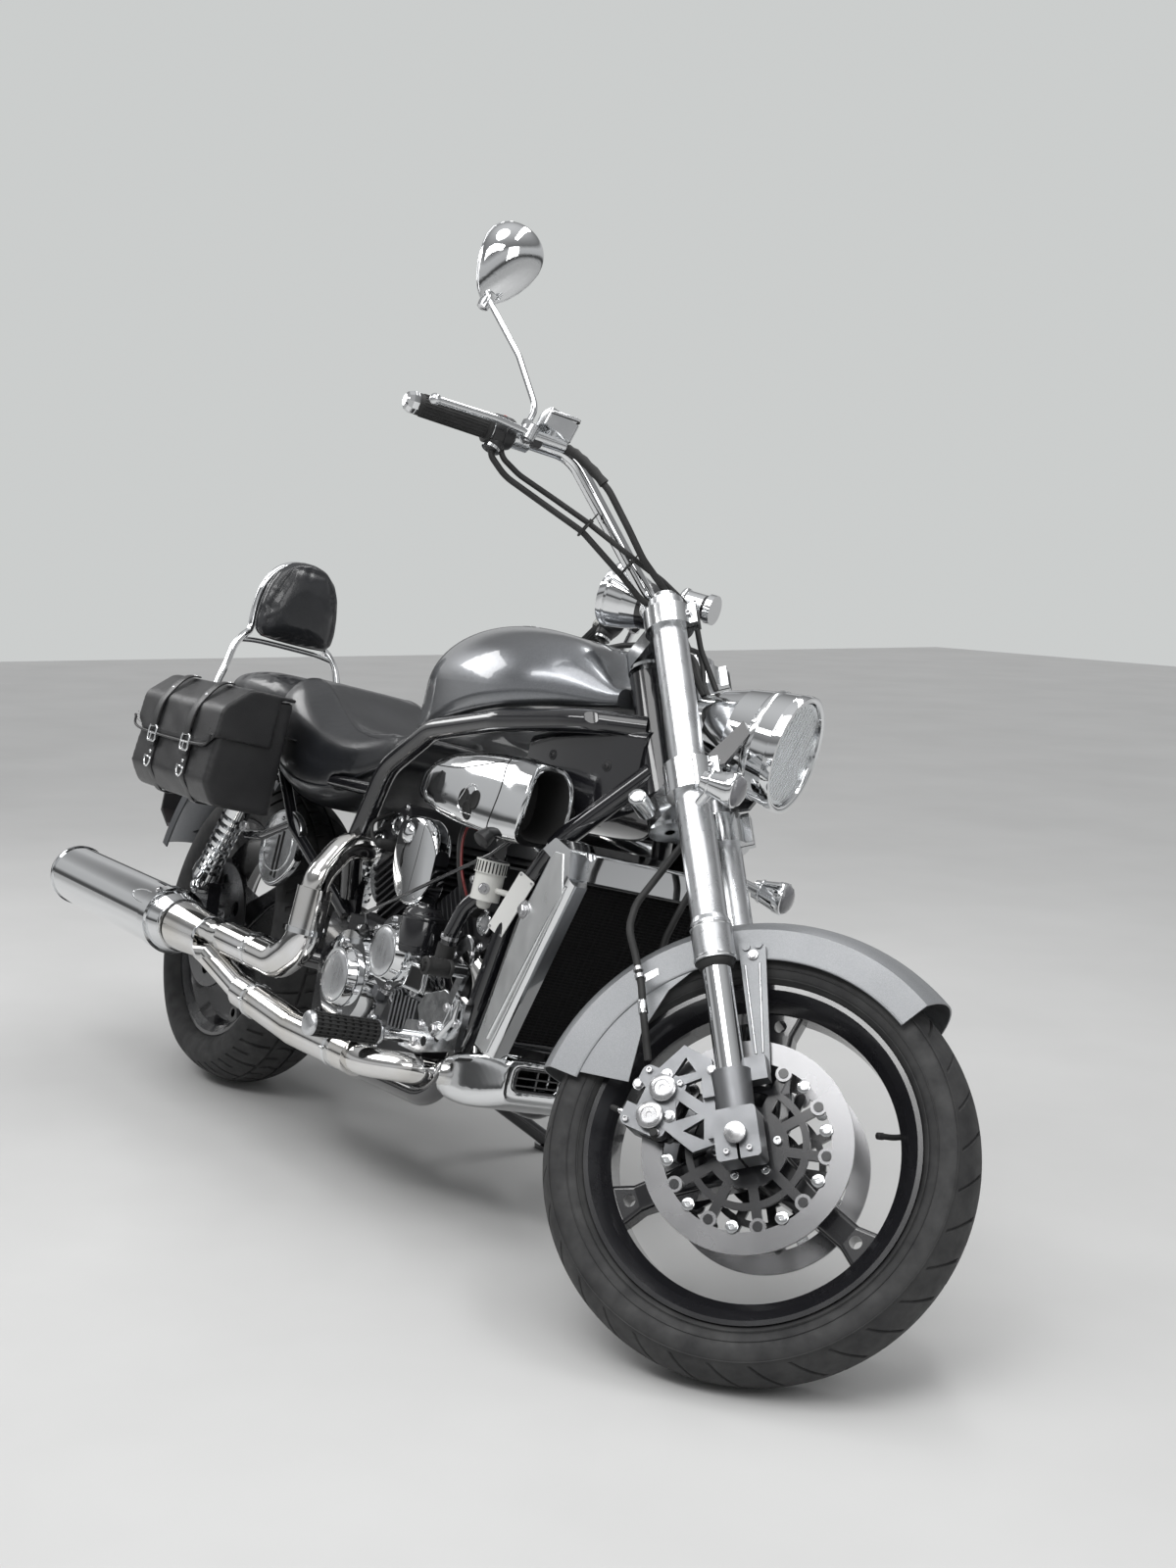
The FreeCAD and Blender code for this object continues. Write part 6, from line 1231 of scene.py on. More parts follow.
def scoops():
    """Smooth chrome intake scoops with a mouth painted dark as its shade, a lobed recess painted dark as
    shade, panel lines and a knob below.
    """
    xs = [SCOOP_ROWS[0][0] + (SCOOP_ROWS[-1][0] - SCOOP_ROWS[0][0]) * i / 26 for i in range(27)]
    rings = []
    for x in xs:
        for a, b in zip(SCOOP_ROWS, SCOOP_ROWS[1:]):
            if a[0] <= x <= b[0] + 0.01:
                t = (x - a[0]) / (b[0] - a[0])
                row = [a[i] + (b[i] - a[i]) * t for i in range(1, 4)]
                break
        share = (x - xs[0]) / (xs[-1] - xs[0])
        rings.append(scoop_ring(x, *row, nose=15.0 * share ** 3))
    lip = [scoop_ring(1200, 45, 650, 781, g, nose=15.0 + f) for g, f in ((-3.0, 2.0), (-8.0, 0.0))]
    inner = [scoop_ring(1200 - d, 45, 650, 781, -9 - d * 0.12, nose=15.0 * (1 - d / 90)) for d in (2, 30, 70)]
    shell = skin(rings + lip, True, False)
    chassis_piece("scoop_shells", both(shell), "chrome", 60, replaces=("intake_scoops",))
    # Dark inner skin of the mouth: painted shade inside the opening.
    chassis_piece("scoop_mouths", both(skin([lip[1]] + inner, False, True)), "dark", 50)
    # Dark lobes: painted shade of the recess.
    lobes = []
    for dx, dz in ((-19, 4), (19, 5), (0, -14)):
        found = touch(PIECES["scoop_shells"], (1052 + dx, -400, 696 + dz), (0, 1, 0))
        lobes.append(lathe([(-1, 16.5), (0.8, 15.6), (1.4, 13.5), (0.5, 12), (0.2, 0)], found[0], found[1],
                           30))
    middle, out = touch(PIECES["scoop_shells"], (1052, -400, 697), (0, 1, 0))
    lobes.append(lathe([(-1, 12), (0.6, 11), (0.6, 0)], middle, out, 24))
    chassis_piece("scoop_recesses", both(joined(*lobes)), "dark", 40)
    rims = [tube([middle + Vector((x, -0.6 + 0.04 * abs(x), z)) for x, z in
                  [(30 * math.cos(t) * (1 + 0.16 * math.cos(3 * t + 1.57)), 24 * math.sin(t) *
                    (1 + 0.16 * math.cos(3 * t + 1.57))) for t in turns(36)]], 0.9, 6,
                 True)]
    chassis_piece("scoop_recess_rims", both(joined(*rims)), "chrome", 60)
    for name, spots in (("scoop_line_front", [(1120, 778), (1140, 738), (1136, 692), (1118, 658)]),
                        ("scoop_line_rear", [(842, 744), (900, 742), (1000, 748), (1110, 772)])):
        pts = smooth_line([(x, 0, z) for x, z in spots], 8)
        line = traced(PIECES["scoop_shells"], [(p.x, -OUTSIDE, p.z) for p in pts], LEFT, 0.2)
        chassis_piece(name, both(tube(line, 0.9, 6)), "dark", 50)
    posts = []
    for x, z in ((880, 712), (1060, 700)):
        posts.append(lathe([(0, 7), (40, 7)], (x, -78, z), RIGHT, 18))
    chassis_piece("scoop_posts", both(joined(*posts)), "black", 40)


def shroud_trim():
    """Bolts with washers on the radiator's outer plates, the bright ridge and the core's frame."""
    x = 1690 - 312.6 - 145.4
    outline = [(x - 33, 333), (x + 4, 326), (x + 60, 462), (x + 112, 596), (x + 90, 655), (x + 66, 655),
               (x + 14, 543)]
    plates = prism(outline, (0, -159.4, 0), (1, 0, 0), (0, 0, 1), 2.0)
    chassis_piece("shroud_plates", both(plates), "plate", 30, bevel=0.8)
    bolt = studs("radiator_shroud", [(1252, 556)], lambda p, n: joined(
        lathe([(0.4, 15), (3.6, 14.6), (4.0, 11)], p, n, 32), hex_bolt(p + n * 3.4, n, 8.4)))
    chassis_piece("shroud_bolts", bolt, "steel", 30)
    shares = [k / 24 for k in range(25)]
    ridge = [(1232 + 112 * t, -OUTSIDE, 350 + 258 * t) for t in shares]
    line = [p + RIGHT * 1.6 for p in traced("radiator_shroud", ridge)]
    chassis_piece("shroud_ridges", both(tube(line, 2.6, 8)), "chrome", 60)
    up = Vector((98, 0, 280)).normalized()
    ahead = Vector((280, 0, -98)).normalized()
    base = Vector((x, 0, 345)) + ahead * 1.2
    border = [base + Vector((0, a, 0)) + up * (148.3 + b) for a, b in round_outline(121, 143, 10)]
    chassis_piece("core_border", tube(border, 3.4, 8, True), "black", 50)
    fins = [prism([(-119, -0.5), (119, -0.5), (119, 0.5), (-119, 0.5)], base + up * (12 + 5.3 * k), (0, 1, 0),
                  up, 2.2) for k in range(52)]
    rows = [prism([(-0.9, 8), (0.9, 8), (0.9, 288), (-0.9, 288)], base + Vector((0, y, 0)), (0, 1, 0), up,
                  1.2) for y in range(-114, 118, 12)]
    chassis_piece("core_fins", joined(*fins, *rows), "core", 30)
    slats = []
    for s in (-1, 1):
        for k in range(2):
            slats.append(brick((1228, s * 66 - 39, 285 + 12 * k), (1251, s * 66 + 39, 288 + 12 * k)))
        slats.append(brick((1226, s * 66 - 2, 280.5), (1250, s * 66 + 2, 311.5)))
        frame_line = [(1254, s * 66 + a, 296 + b) for a, b in round_outline(42, 17, 7)]
        slats.append(tube(frame_line, 2.2, 8, True))
    chassis_piece("vent_slats", joined(*slats), "black", 30, bevel=0.6)
    # Dark plates behind the slats: painted shade inside the vents.
    vent_shade = [brick((1224.8, s * 66 - 39.6, 280.4), (1226.4, s * 66 + 39.6, 311.6)) for s in (-1, 1)]
    chassis_piece("vent_shade_backs", joined(*vent_shade), "dark", 30)
    seams = [tube([(1236, y, 329), (1150, y * 1.05, 316)], 1.0, 6) for y in (-96, 96)]
    chassis_piece("pan_creases", joined(*seams), "polished", 50)


def rounded_copy(name, node, look, voxel, steps):
    """A pressed-metal form: the CAD solid with its edges rounded over."""
    item = node_copy(name, node)
    mesh = gridded(item, voxel, steps)
    mesh.materials.clear()
    mesh.materials.append(LOOKS[look].material)
    mesh.shade_smooth()
    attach(item, "chassis")
    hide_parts(node)


def rear_trim():
    """Backrest bolts, bands and rims of the side covers, shock bolts, axle nuts and swingarm bolts."""
    feet = [hex_bolt((x, y, 771), (0, math.copysign(1, y), 0), 8) for y in (-148, 158) for x in (-158, -90)]
    chassis_piece("backrest_bolts", joined(*feet), "chrome", 30)
    bands = []
    for x, low, high in ((286, 458, 576), (303, 456, 580)):
        heights = [low + (high - low) * k / 16 for k in range(17)]
        bands.append(ribbon(traced("side_covers", [(x, -OUTSIDE, z) for z in heights], LEFT, 0.3), AHEAD, 9,
                            1.0))
    chassis_piece("side_cover_bands", both(joined(*bands)), "dark", 50)
    oval = [(286 + 62 * math.cos(t), -OUTSIDE, 520 + 52 * math.sin(t)) for t in turns(60)]
    rim = traced("side_covers", oval, LEFT, 0.2)
    chassis_piece("side_cover_rims", both(tube(rim, 1.6, 8, True)), "chrome", 50)
    eyes = []
    for (x, z), r in (((200, 655), 12), ((50, 392), 11)):
        for s in (-1, 1):
            found = touch("shocks", (x, s * 400, z), (0, -s, 0))
            y = found[0].y if found else s * 200
            eyes.append(hex_bolt((x, y - s * 0.4, z), (0, s, 0), r * 0.8))
            eyes.append(lathe([(-1, r + 6), (1.2, r + 5)], (x, y, z), (0, s, 0), 28))
    chassis_piece("shock_bolts", joined(*eyes), "chrome", 30)
    tail = studs("rear_axle", [(0, 314.9)], lambda p, n: hex_bolt(p, n, 15, 11))
    chassis_piece("rear_axle_nuts", tail, "steel", 30)
    adjust = studs("swingarm", [(36, 315), (-30, 315)], lambda p, n: hex_bolt(p, n, 5.5))
    chassis_piece("swingarm_bolts", adjust, "steel", 30)


def pegs_and_controls():
    """Ribbed peg sleeves' end caps, pedal rubbers, the brackets' bolts and dark discs that paint the shade in
    the brackets' holes.
    """
    caps, pads, bolts, slots = [], [], [], []
    out = Vector((0, 1, 0))
    at = Vector((950, 320, 290))
    caps.append(lathe([(-3, 20.4), (3, 20.6), (6, 18.6), (7.5, 13), (7.5, 0)], at, out, 40))
    caps.append(lathe([(-3, 20.8), (0, 21.2), (6, 18)], at - out * 124, -out, 40))
    pads.append(lathe([(0, 12), (2, 15), (6, 15), (8, 13.4), (12, 15), (16, 13.4), (20, 15), (24, 13.4),
                       (28, 15), (32, 13.4), (36, 15), (40, 13.4), (44, 15), (48, 15), (50, 12), (50, 0)],
                      (1102, 176, 430), out, 32))
    for x, z in ((965, 290), (1096, 345), (1092, 372)):
        bolts.append(hex_bolt((x + (15 if x < 1000 else 0), 141, z), out, 7))
    bolts.append(hex_bolt((1062, 157, 326), out, 8))
    # Thin dark discs: painted shade in the brackets' holes.
    for x, z in ((1010, 296), (1050, 312)):
        slots.append(lathe([(-0.5, 8.5), (0.6, 8.2), (0.6, 0)], (x, 141, z), out, 28))
    chassis_piece("peg_caps", both(joined(*caps)), "satin", 50)
    chassis_piece("pedal_rubbers", both(joined(*pads)), "rubber", 50)
    chassis_piece("pedal_bolts", both(joined(*bolts)), "steel", 30)
    chassis_piece("bracket_holes", both(joined(*slots)), "dark", 30)
    ribs = [tube([(950 + 19.2 * math.cos(a), y0, 290 + 19.2 * math.sin(a)) for y0 in (200, 316)], 1.6, 6)
            for a in turns(18)]
    chassis_piece("peg_ribs", both(joined(*ribs)), "rubber", 50)


def lamp_trim():
    """Chrome rim and ribs of the tail lamp, bodies of the rear indicators, and their carrier."""
    body = lathe([(-0.6, 0), (-0.6, 16.4), (31, 25.6), (34, 25.6)], (-380, 150, 600), (-1, 0, 0), 36)
    stalk = lathe([(0, 8.5), (91, 8.5)], (-395, 41, 600), (0, 1, 0), 20)
    foot = lathe([(0, 12.5), (5, 12.5), (8, 9.0)], (-395, 42, 600), (0, 1, 0), 24)
    chassis_piece("rear_indicator_shells", both(joined(body, stalk, foot)), "chrome", 50)
    chassis_piece("lamp_carrier", brick((-404, -44, 586), (-386, 44, 614)), "black", 30, bevel=2)
    flap = [(-389, 469.2), (-383, 469.2), (-439, 505), (-445.2, 560.8), (-450.8, 560.8), (-446.8, 499.6)]
    chassis_piece("flap_skin", prism(flap, (0, 92.8, 0), (1, 0, 0), (0, 0, 1), 185.6), "plastic", 30)
    found = touch("rear_lamps", (-800, 0, 658), (1, 0, 0))
    if found:
        x = found[0].x
        outline = [(x - 0.6, a, 658 + b) for a, b in round_outline(40, 38, 14)]
        chassis_piece("tail_lamp_rim", tube(outline, 2.4, 8, True), "chrome", 60)
        ribs = [tube([(x - 0.4, -34, 630 + 8 * k), (x - 0.4, 34, 630 + 8 * k)], 1.2, 6) for k in range(8)]
        chassis_piece("tail_lamp_ribs", joined(*ribs), "red", 50)


def build_chassis_trim():
    tank_trim()
    frame_trim()
    rounded_copy("belly_pan_shell", "belly_pan", "chrome", 3.6, 16)
    scoops()
    shroud_trim()
    rear_trim()
    pegs_and_controls()
    lamp_trim()


# Engine, coolant parts and exhaust

CRANK = Vector((800, 0, 380))


def in_cylinder(tilt, x, y, z):
    """A point given in an upright cylinder's own directions, for the cylinder tilted about the crankshaft."""
    a = math.radians(tilt)
    return CRANK + Vector((math.cos(a) * x + math.sin(a) * z, y, math.cos(a) * z - math.sin(a) * x))


def cylinder_trim():
    """Head bolts, cam caps, plug boots and leads on both finned cylinders."""
    bolts, caps, boots, leads = [], [], [], []
    for tilt in (-35, 55):
        for s in (-1, 1):
            out = Vector((0, s, 0))
            for x in (-34, 34):
                at = in_cylinder(tilt, x, s * 95.5, 270)
                caps.append(lathe([(0, 21), (3, 21), (4.5, 19), (4.5, 12), (3, 11), (3, 0)], at, out, 36))
                caps.append(ring_of(3, 15.5, at + out * 3.5, out, lambda p, out=out: dome_screw(p, out, 3.2)))
            for x in (-62, 62):
                for z in (240, 292):
                    bolts.append(hex_bolt(in_cylinder(tilt, x, s * 88.5, z), out, 5.4))
            plug = in_cylinder(tilt, 0, s * 88, 246)
            boots.append(lathe([(0, 12), (10, 12), (14, 10), (30, 9.2), (34, 7), (36, 5)], plug, out, 24))
            end = plug + out * 34
            up = in_cylinder(tilt, 0, s * 60, 330) - in_cylinder(tilt, 0, s * 60, 300)
            path = [end, end + out * 8 + up * 0.4, end + out * 2 + up * 1.4,
                    in_cylinder(tilt, 6, s * 84, 310)]
            leads.append(hose(path, 3.6))
    chassis_piece("head_bolts", joined(*bolts), "steel", 30)
    chassis_piece("cam_caps", joined(*caps), "polished", 30)
    chassis_piece("plug_boots", joined(*boots, *leads), "rubber", 50)


def tall_cover_trim():
    """The round boss, the curved slot as a dark strip of painted shade, the seam and the screws of the tall
    chrome covers.
    """
    out = RIGHT
    boss = lathe([(-4, 19), (1, 18.5), (5, 16), (7.5, 10), (8.2, 0)], (784, -131, 616), out, 40)
    chassis_piece("tall_cover_bosses", both(boss), "chrome", 60)
    # The slot is not cut: a dark strip paints its shade.
    arc = [(812 + 34 * math.cos(t), -132.2, 578 + 34 * math.sin(t)) for t in
           [math.radians(118 + 8 * k) for k in range(13)]]
    slot = ribbon(arc, (0.2, 0, 1), 11, 0.9)
    chassis_piece("tall_cover_slots", both(slot), "dark", 30)
    seam = tube([(836, -132, 640), (834, -132.2, 580), (828, -132, 506)], 0.9, 6)
    chassis_piece("tall_cover_seams", both(seam), "dark", 30)
    screws = [dome_screw((x, -131.5, z), out, 4.2) for x, z in ((768, 640), (866, 628), (798, 514),
                                                                (852, 510))]
    chassis_piece("tall_cover_screws", both(joined(*screws)), "steel", 30)


def clutch_trim():
    """Satin round caps with their rings of screws, bolt bosses round the case and the framed black box."""
    caps, rims, screws, bosses, bolts = [], [], [], [], []
    for x, z, y, cap, drum, count in ((735, 345, 182, 47, 92, 9), (872, 415, 176, 43, 74, 7)):
        at = Vector((x, -y, z))
        caps.append(lathe([(-1, cap - 3), (1.5, cap - 3), (3.2, cap - 6), (4.0, cap - 14), (4.4, 0)], at,
                          RIGHT, 72))
        rims.append(lathe([(-12, cap + 7), (-2, cap + 3.4), (1.5, cap + 2.4), (2.4, cap), (1.2, cap - 2.6)],
                          at, RIGHT, 72))
        ring = at + Vector((0, 14 + (0 if drum > 80 else 2), 0))
        screws.append(ring_of(6, cap + 15, ring, RIGHT, lambda p: cap_screw(p, RIGHT, 4.4, 4.5), 15))
        base = Vector((x, -119, z))
        bosses.append(ring_of(count, drum + 3, base, RIGHT,
                              lambda p: lathe([(-1, 9.5), (12, 9), (14, 7.6), (14, 0)], p, RIGHT, 18), 20))
        bolts.append(ring_of(count, drum + 3, base - Vector((0, 14, 0)), RIGHT,
                             lambda p: hex_bolt(p, RIGHT, 4.8), 20))
    chassis_piece("clutch_caps", joined(*caps), "satin", 50)
    chassis_piece("clutch_cap_rims", joined(*rims), "chrome", 50)
    chassis_piece("clutch_screws", joined(*screws, *bolts), "steel", 30)
    chassis_piece("case_bosses", joined(*bosses), "polished", 40)
    face = prism(round_outline(38, 17, 6), (940, -149.6, 389), (1, 0, 0), (0, 0, 1), 1.6)
    chassis_piece("case_box_face", face, "dark", 30, bevel=0.5)
    frame_line = [(940 + a, -150.4, 389 + b) for a, b in round_outline(41, 20, 8)]
    chassis_piece("case_box_frame", tube(frame_line, 2.6, 10, True), "chrome", 60)
    fins = [brick((868 + k * 13, -136, 292), (873 + k * 13, -116, 352)) for k in range(7)]
    fins += [brick((862, -132, 286), (958, -118, 294)), brick((862, -130, 350), (958, -118, 358))]
    chassis_piece("pump_fins", joined(*fins), "cast", 30, bevel=1.2)
    edge = [(625, -120.5, z) for z in range(250, 430, 60)]
    edge += [(x, -120.5, 246) for x in (680, 820, 900)]
    chassis_piece("case_studs", joined(*[hex_bolt(p, RIGHT, 5.6) for p in edge]), "steel", 30)


def left_side_trim():
    """Screws and rings on the alternator and front pulley covers of the left side."""
    out = Vector((0, 1, 0))
    at = Vector((850, 170, 350))
    rings = [lathe([(11, 46), (13.5, 45), (14.5, 40), (14.8, 0)], at, out, 64),
             lathe([(-2, 58), (2.5, 57), (2.5, 53), (-1, 52)], at, out, 64)]
    chassis_piece("alternator_cap", joined(*rings), "satin", 50)
    screws = ring_of(8, 68, at - out * 3, out, lambda p: cap_screw(p, out, 4.6, 6), 12)
    chassis_piece("alternator_screws", screws, "steel", 30)
    case = [hex_bolt((x, 120.5, z), out, 5.6) for x, z in ((760, 420), (762, 270), (950, 262), (955, 432))]
    chassis_piece("left_case_studs", joined(*case), "steel", 30)


def coolant_trim():
    """The bottle's cap ribs and side bolt, the hose's sleeve and clamps, and the black can's neck."""
    top = Vector((1075, -128, 590))
    knurl = [tube([top + Vector((math.cos(a) * 27, math.sin(a) * 27, 2)), top + Vector((math.cos(a) * 27,
             math.sin(a) * 27, 19))], 1.3, 6) for a in turns(28)]
    dome = lathe([(21, 26), (23.5, 25), (24.5, 20), (24.5, 8), (26.5, 7), (26.5, 0)], top, (0, 0, 1), 40)
    chassis_piece("bottle_cap_ribs", joined(*knurl, dome), "plastic", 40)
    bolt = hex_bolt((1092, -144, 566), (0.7, -0.72, 0), 7)
    neck = lathe([(-14, 6), (-10, 11), (0, 13)], (1075, -128, 546), (0, 0, 1), 24)
    chassis_piece("bottle_bolt", bolt, "steel", 30)
    chassis_piece("bottle_foot", neck, "white_plastic", 40)
    line = [(1018, -142, 474), (1009, -139, 430)]
    down = (Vector(line[1]) - Vector(line[0])).normalized()
    at = Vector(line[0]) + down * 14
    sleeve = lathe([(0, 13.4), (1, 15.6), (26, 15.6), (28, 13.8)], at, down, 32)
    chassis_piece("hose_sleeve", sleeve, "rubber", 50)
    clamps = [lathe([(0, 13.6), (0, 14.8), (7, 14.8), (7, 13.6)], at + down * d, down, 32) for d in (-16, 30)]
    for d in (-16, 30):
        clamps.append(cap_screw(at + down * (d + 3.5) + Vector((3, -15, 1)), (1, 0, 0.2), 3.4, 7))
    chassis_piece("hose_clamps", joined(*clamps), "steel", 30)
    can = Vector((915, -138, 428))
    trim = [lathe([(0.5, 34), (0.5, 36.5), (60, 36.6), (66, 33), (75, 24.5)], can, (0, 0, 1), 60),
            lathe([(73, 24), (78, 22), (79, 14), (83, 13), (84, 8), (84, 0)], can, (0, 0, 1), 36),
            lathe([(8, 36.2), (9, 37.2), (12, 37.2), (13, 36.2)], can, (0, 0, 1), 60),
            lathe([(54, 36.2), (55, 37.2), (58, 37.2), (59, 36.2)], can, (0, 0, 1), 60)]
    chassis_piece("can_trim", joined(*trim), "black", 40)


def slotted_bracket():
    """The cast plate above the pump: three slots as dark plates of painted shade, two holes and a rolled
    front edge.
    """
    outline = [(984, 348), (1000, 372), (1060, 392), (1088, 384), (1096, 350), (1062, 316), (1010, 312)]
    flat = [(x - 1040, z - 350) for x, z in outline]
    plate = prism(flat, (1040, -147, 350), (1, 0, 0), (0, 0, 1), 5)
    chassis_piece("slotted_plate", plate, "polished", 30, bevel=1.2)
    # The slots are not cut: thin dark plates paint their shade.
    marks = []
    for k in range(3):
        x = 1010 + k * 19
        marks.append(prism([(-2.6, -9), (2.6, -9), (2.6, 9), (-2.6, 9)], (x, -147.4, 366), (1, 0, 0.25),
                           (-0.25, 0, 1), 1))
    chassis_piece("plate_slots", joined(*marks), "dark", 30, bevel=0.3)
    rings = [lathe([(0, 7.5), (2, 7), (2, 4.6), (0.6, 4.4), (0.6, 0)], (x, -147, z), RIGHT, 24)
             for x, z in ((1024, 336), (1052, 344))]
    roll = tube([(1098, -146, 384), (1100, -148, 352), (1066, -149, 314)], 5.0, 12)
    lug = prism([(-16, -8), (16, -8), (16, 8), (-16, 8)], (1030, -128, 352), (1, 0, 0), (0, 0, 1), 22)
    chassis_piece("plate_bosses", joined(*rings, roll, lug), "polished", 40, bevel=0.8)
    bolts = [hex_bolt((x, -152, z), RIGHT, 6) for x, z in ((1078, 366), (1010, 322))]
    chassis_piece("plate_bolts", joined(*bolts), "steel", 30)


def rod_and_wire():
    """The thin black rod across the engine and the red wire beside the bottle."""
    ends = [Vector((752, -150, 432)), Vector((766, -168, 464)), Vector((1100, -150, 622)),
            Vector((1132, -136, 656))]
    chassis_piece("choke_rod", tube(ends, 3.2, 10), "black", 50)
    post = lathe([(-8, 9), (14, 9), (16, 6), (20, 5)], ends[0] - Vector((0, 0, 8)), (0.3, -0.6, 0.7), 20)
    knob = lathe([(-20, 10), (-2, 12), (8, 15), (15, 15), (18, 11), (18, 0)], (1122, -178, 652),
                 (0.1, -0.6, -0.6), 28)
    chassis_piece("choke_ends", joined(post, knob), "plastic", 50)
    wire = [(958, -118, 664), (962, -126, 630), (985, -130, 585), (1010, -124, 545), (1000, -100, 522)]
    chassis_piece("ignition_wire", hose(wire, 2.4), "wire_red", 60)
    black = [(930, -112, 662), (944, -122, 620), (968, -118, 560), (980, -98, 520)]
    chassis_piece("sensor_wires", joined(hose(black, 2.6), hose([(x + 12, y - 3, z) for x, y, z in black],
                                                                2.0)), "rubber", 60)


def exhaust_trim():
    """Flanges and nuts at the ports, shield clamps and slots, the joints' rings, muffler bands and outlet."""
    flanges, nuts = [], []
    for start, ahead in (((596, -86, 566), RIGHT), ((1006, -94, 446), RIGHT)):
        at = Vector(start)
        flanges.append(lathe([(-2, 34), (6, 34), (8, 31), (8, 26)], at, ahead, 40))
        nuts += [hex_bolt(at + Vector(ahead) * 8 + Vector(d), ahead, 5.2) for d in ((29, 0, 6), (-29, 0, -6))]
    chassis_piece("port_flanges", joined(*flanges), "polished", 40)
    rings = []
    for at, axis, radius in (((624, -205, 400), (0, 0, 1), 33), ((470, -214, 331), (1, 0.05, 0), 33),
                             ((860, -208, 237.6), (1, 0, 0), 32), ((520, -215, 247), (1, 0, 0), 32)):
        rings.append(lathe([(-5, radius - 0.5), (-5, radius + 1.6), (5, radius + 1.6), (5, radius - 0.5)], at,
                           axis, 48))
        u, v = axes_along(axis)
        side = Vector(at) + v * (radius + 4) if abs(v.y) > 0.5 else Vector(at) + u * (radius + 4)
        rings.append(cap_screw(side, Vector(axis), 3.6, 9))
    for at, radius in (((196, -250, 324), 51), ((305, -232, 319), 43.5), ((140, -250, 324), 63),
                       ((-428, -250, 324), 63)):
        axis = (1, 0, 0) if at[0] < 200 else (105, 17, -5)
        rings.append(lathe([(-5, radius - 1), (-5, radius + 1.4), (-2, radius + 2), (2, radius + 2),
                            (5, radius + 1.4), (5, radius - 1)], at, axis, 64))
    chassis_piece("exhaust_clamps", joined(*rings), "chrome", 50)
    nuts.append(hex_bolt((135, -250 - 40, 324 + 54), (0, -0.6, 0.8), 6))
    nuts.append(hex_bolt((250, -197, 540), RIGHT, 8))
    chassis_piece("exhaust_nuts", joined(*nuts), "steel", 30)
    out = Vector((-1, 0, 0))
    throat = lathe([(0, 54), (1.5, 56), (2.5, 60), (0.5, 62), (-6, 62.6)], (-431, -250, 324), out, 72)
    inner = lathe([(-60, 21), (-22, 21), (-18, 24), (-18, 53)], (-431, -250, 324), out, 56)
    chassis_piece("muffler_lip", joined(throat, inner), "chrome", 60)
    recess = [(100 + 60 * math.cos(t), math.radians(212) + 0.24 * math.sin(t)) for t in
              turns(40)]
    ring = [(x, -250 + 62.4 * math.cos(a), 324 - 62.4 * math.sin(a)) for x, a in recess]
    chassis_piece("muffler_recess", tube(ring, 1.2, 6, True), "chrome", 60)


def build_engine_trim():
    cylinder_trim()
    tall_cover_trim()
    clutch_trim()
    left_side_trim()
    coolant_trim()
    slotted_bracket()
    rod_and_wire()
    exhaust_trim()


# Seats, backrest pad and side bags

SWELL_FRAMES = 20


def swollen(item, start, pressure, cap, held):
    """Blows a form up as cloth; no point moves by more than the cap, and the held ones stay."""
    to_drawing = MACHINE.inverted()
    group = item.vertex_groups.new(name="held")
    for i, p in enumerate(start):
        if held(to_drawing @ p):
            group.add([i], 1.0, "REPLACE")
    cloth = item.modifiers.new("cloth", "CLOTH")
    cloth.settings.vertex_group_mass = "held"
    cloth.settings.use_pressure = True
    cloth.settings.uniform_pressure_force = pressure
    cloth.settings.effector_weights.gravity = 0.0
    cloth.settings.quality = 4
    scene = bpy.context.scene
    for frame_number in range(1, SWELL_FRAMES + 1):
        scene.frame_set(frame_number)
    made = applied(item)
    for v, p in zip(made.vertices, start):
        step = v.co - p
        if step.length > cap * MM:
            v.co = p + step.normalized() * (cap * MM)
    scene.frame_set(1)


def soft_copy(name, node, look, body, voxel, smooth, shape, cloth=None, shrink=0.0, source=None,
              levels=1):
    """A soft form made from a CAD solid, or from a closed source form in its place. It is remeshed, swollen
    as cloth by (pressure, cap, held), shaped by shape(point, normal) and divided levels times."""
    if source:
        points, faces = source
        data = bpy.data.meshes.new(name)
        data.from_pydata([MACHINE @ Vector(p) for p in points], [], faces)
        item = bpy.data.objects.new(name, data)
        bpy.context.scene.collection.objects.link(item)
    else:
        item = node_copy(name, node)
    mesh = gridded(item, voxel, smooth)
    start = [v.co.copy() for v in mesh.vertices]
    if shrink:
        for v in mesh.vertices:
            v.co = v.co - v.normal * (shrink * MM)
    if cloth:
        swollen(item, start, *cloth)
    mesh = item.data
    to_drawing = MACHINE.inverted()
    normals = [v.normal.copy() for v in mesh.vertices]
    turn = UPRIGHT.to_3x3().inverted()
    for v, normal in zip(mesh.vertices, normals):
        v.co = MACHINE @ shape(to_drawing @ v.co, turn @ normal)
    if levels:
        divide = item.modifiers.new("round", "SUBSURF")
        divide.levels = divide.render_levels = levels
    mesh = applied(item)
    mesh.materials.clear()
    mesh.materials.append(LOOKS[look].material)
    mesh.shade_smooth()
    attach(item, body)
    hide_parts(node)
    return item


def seat_edge(rows, share):
    """Both long edge lines of a seat: (x, half width, height) where the side turns into the top."""
    return [(x, half, low + (high - low) * share) for x, half, low, high in rows]


RIDER_ROWS = [(150, 138, 690, 826), (200, 156, 655, 842), (260, 166, 630, 842), (350, 168, 610, 806),
              (450, 150, 628, 768), (550, 118, 684, 776), (596, 88, 722, 782)]
PASSENGER_ROWS = [(-240, 78, 776, 818), (-190, 104, 772, 838), (-120, 114, 768, 846), (-60, 120, 766, 852),
                  (60, 112, 762, 846), (112, 99, 757, 833)]


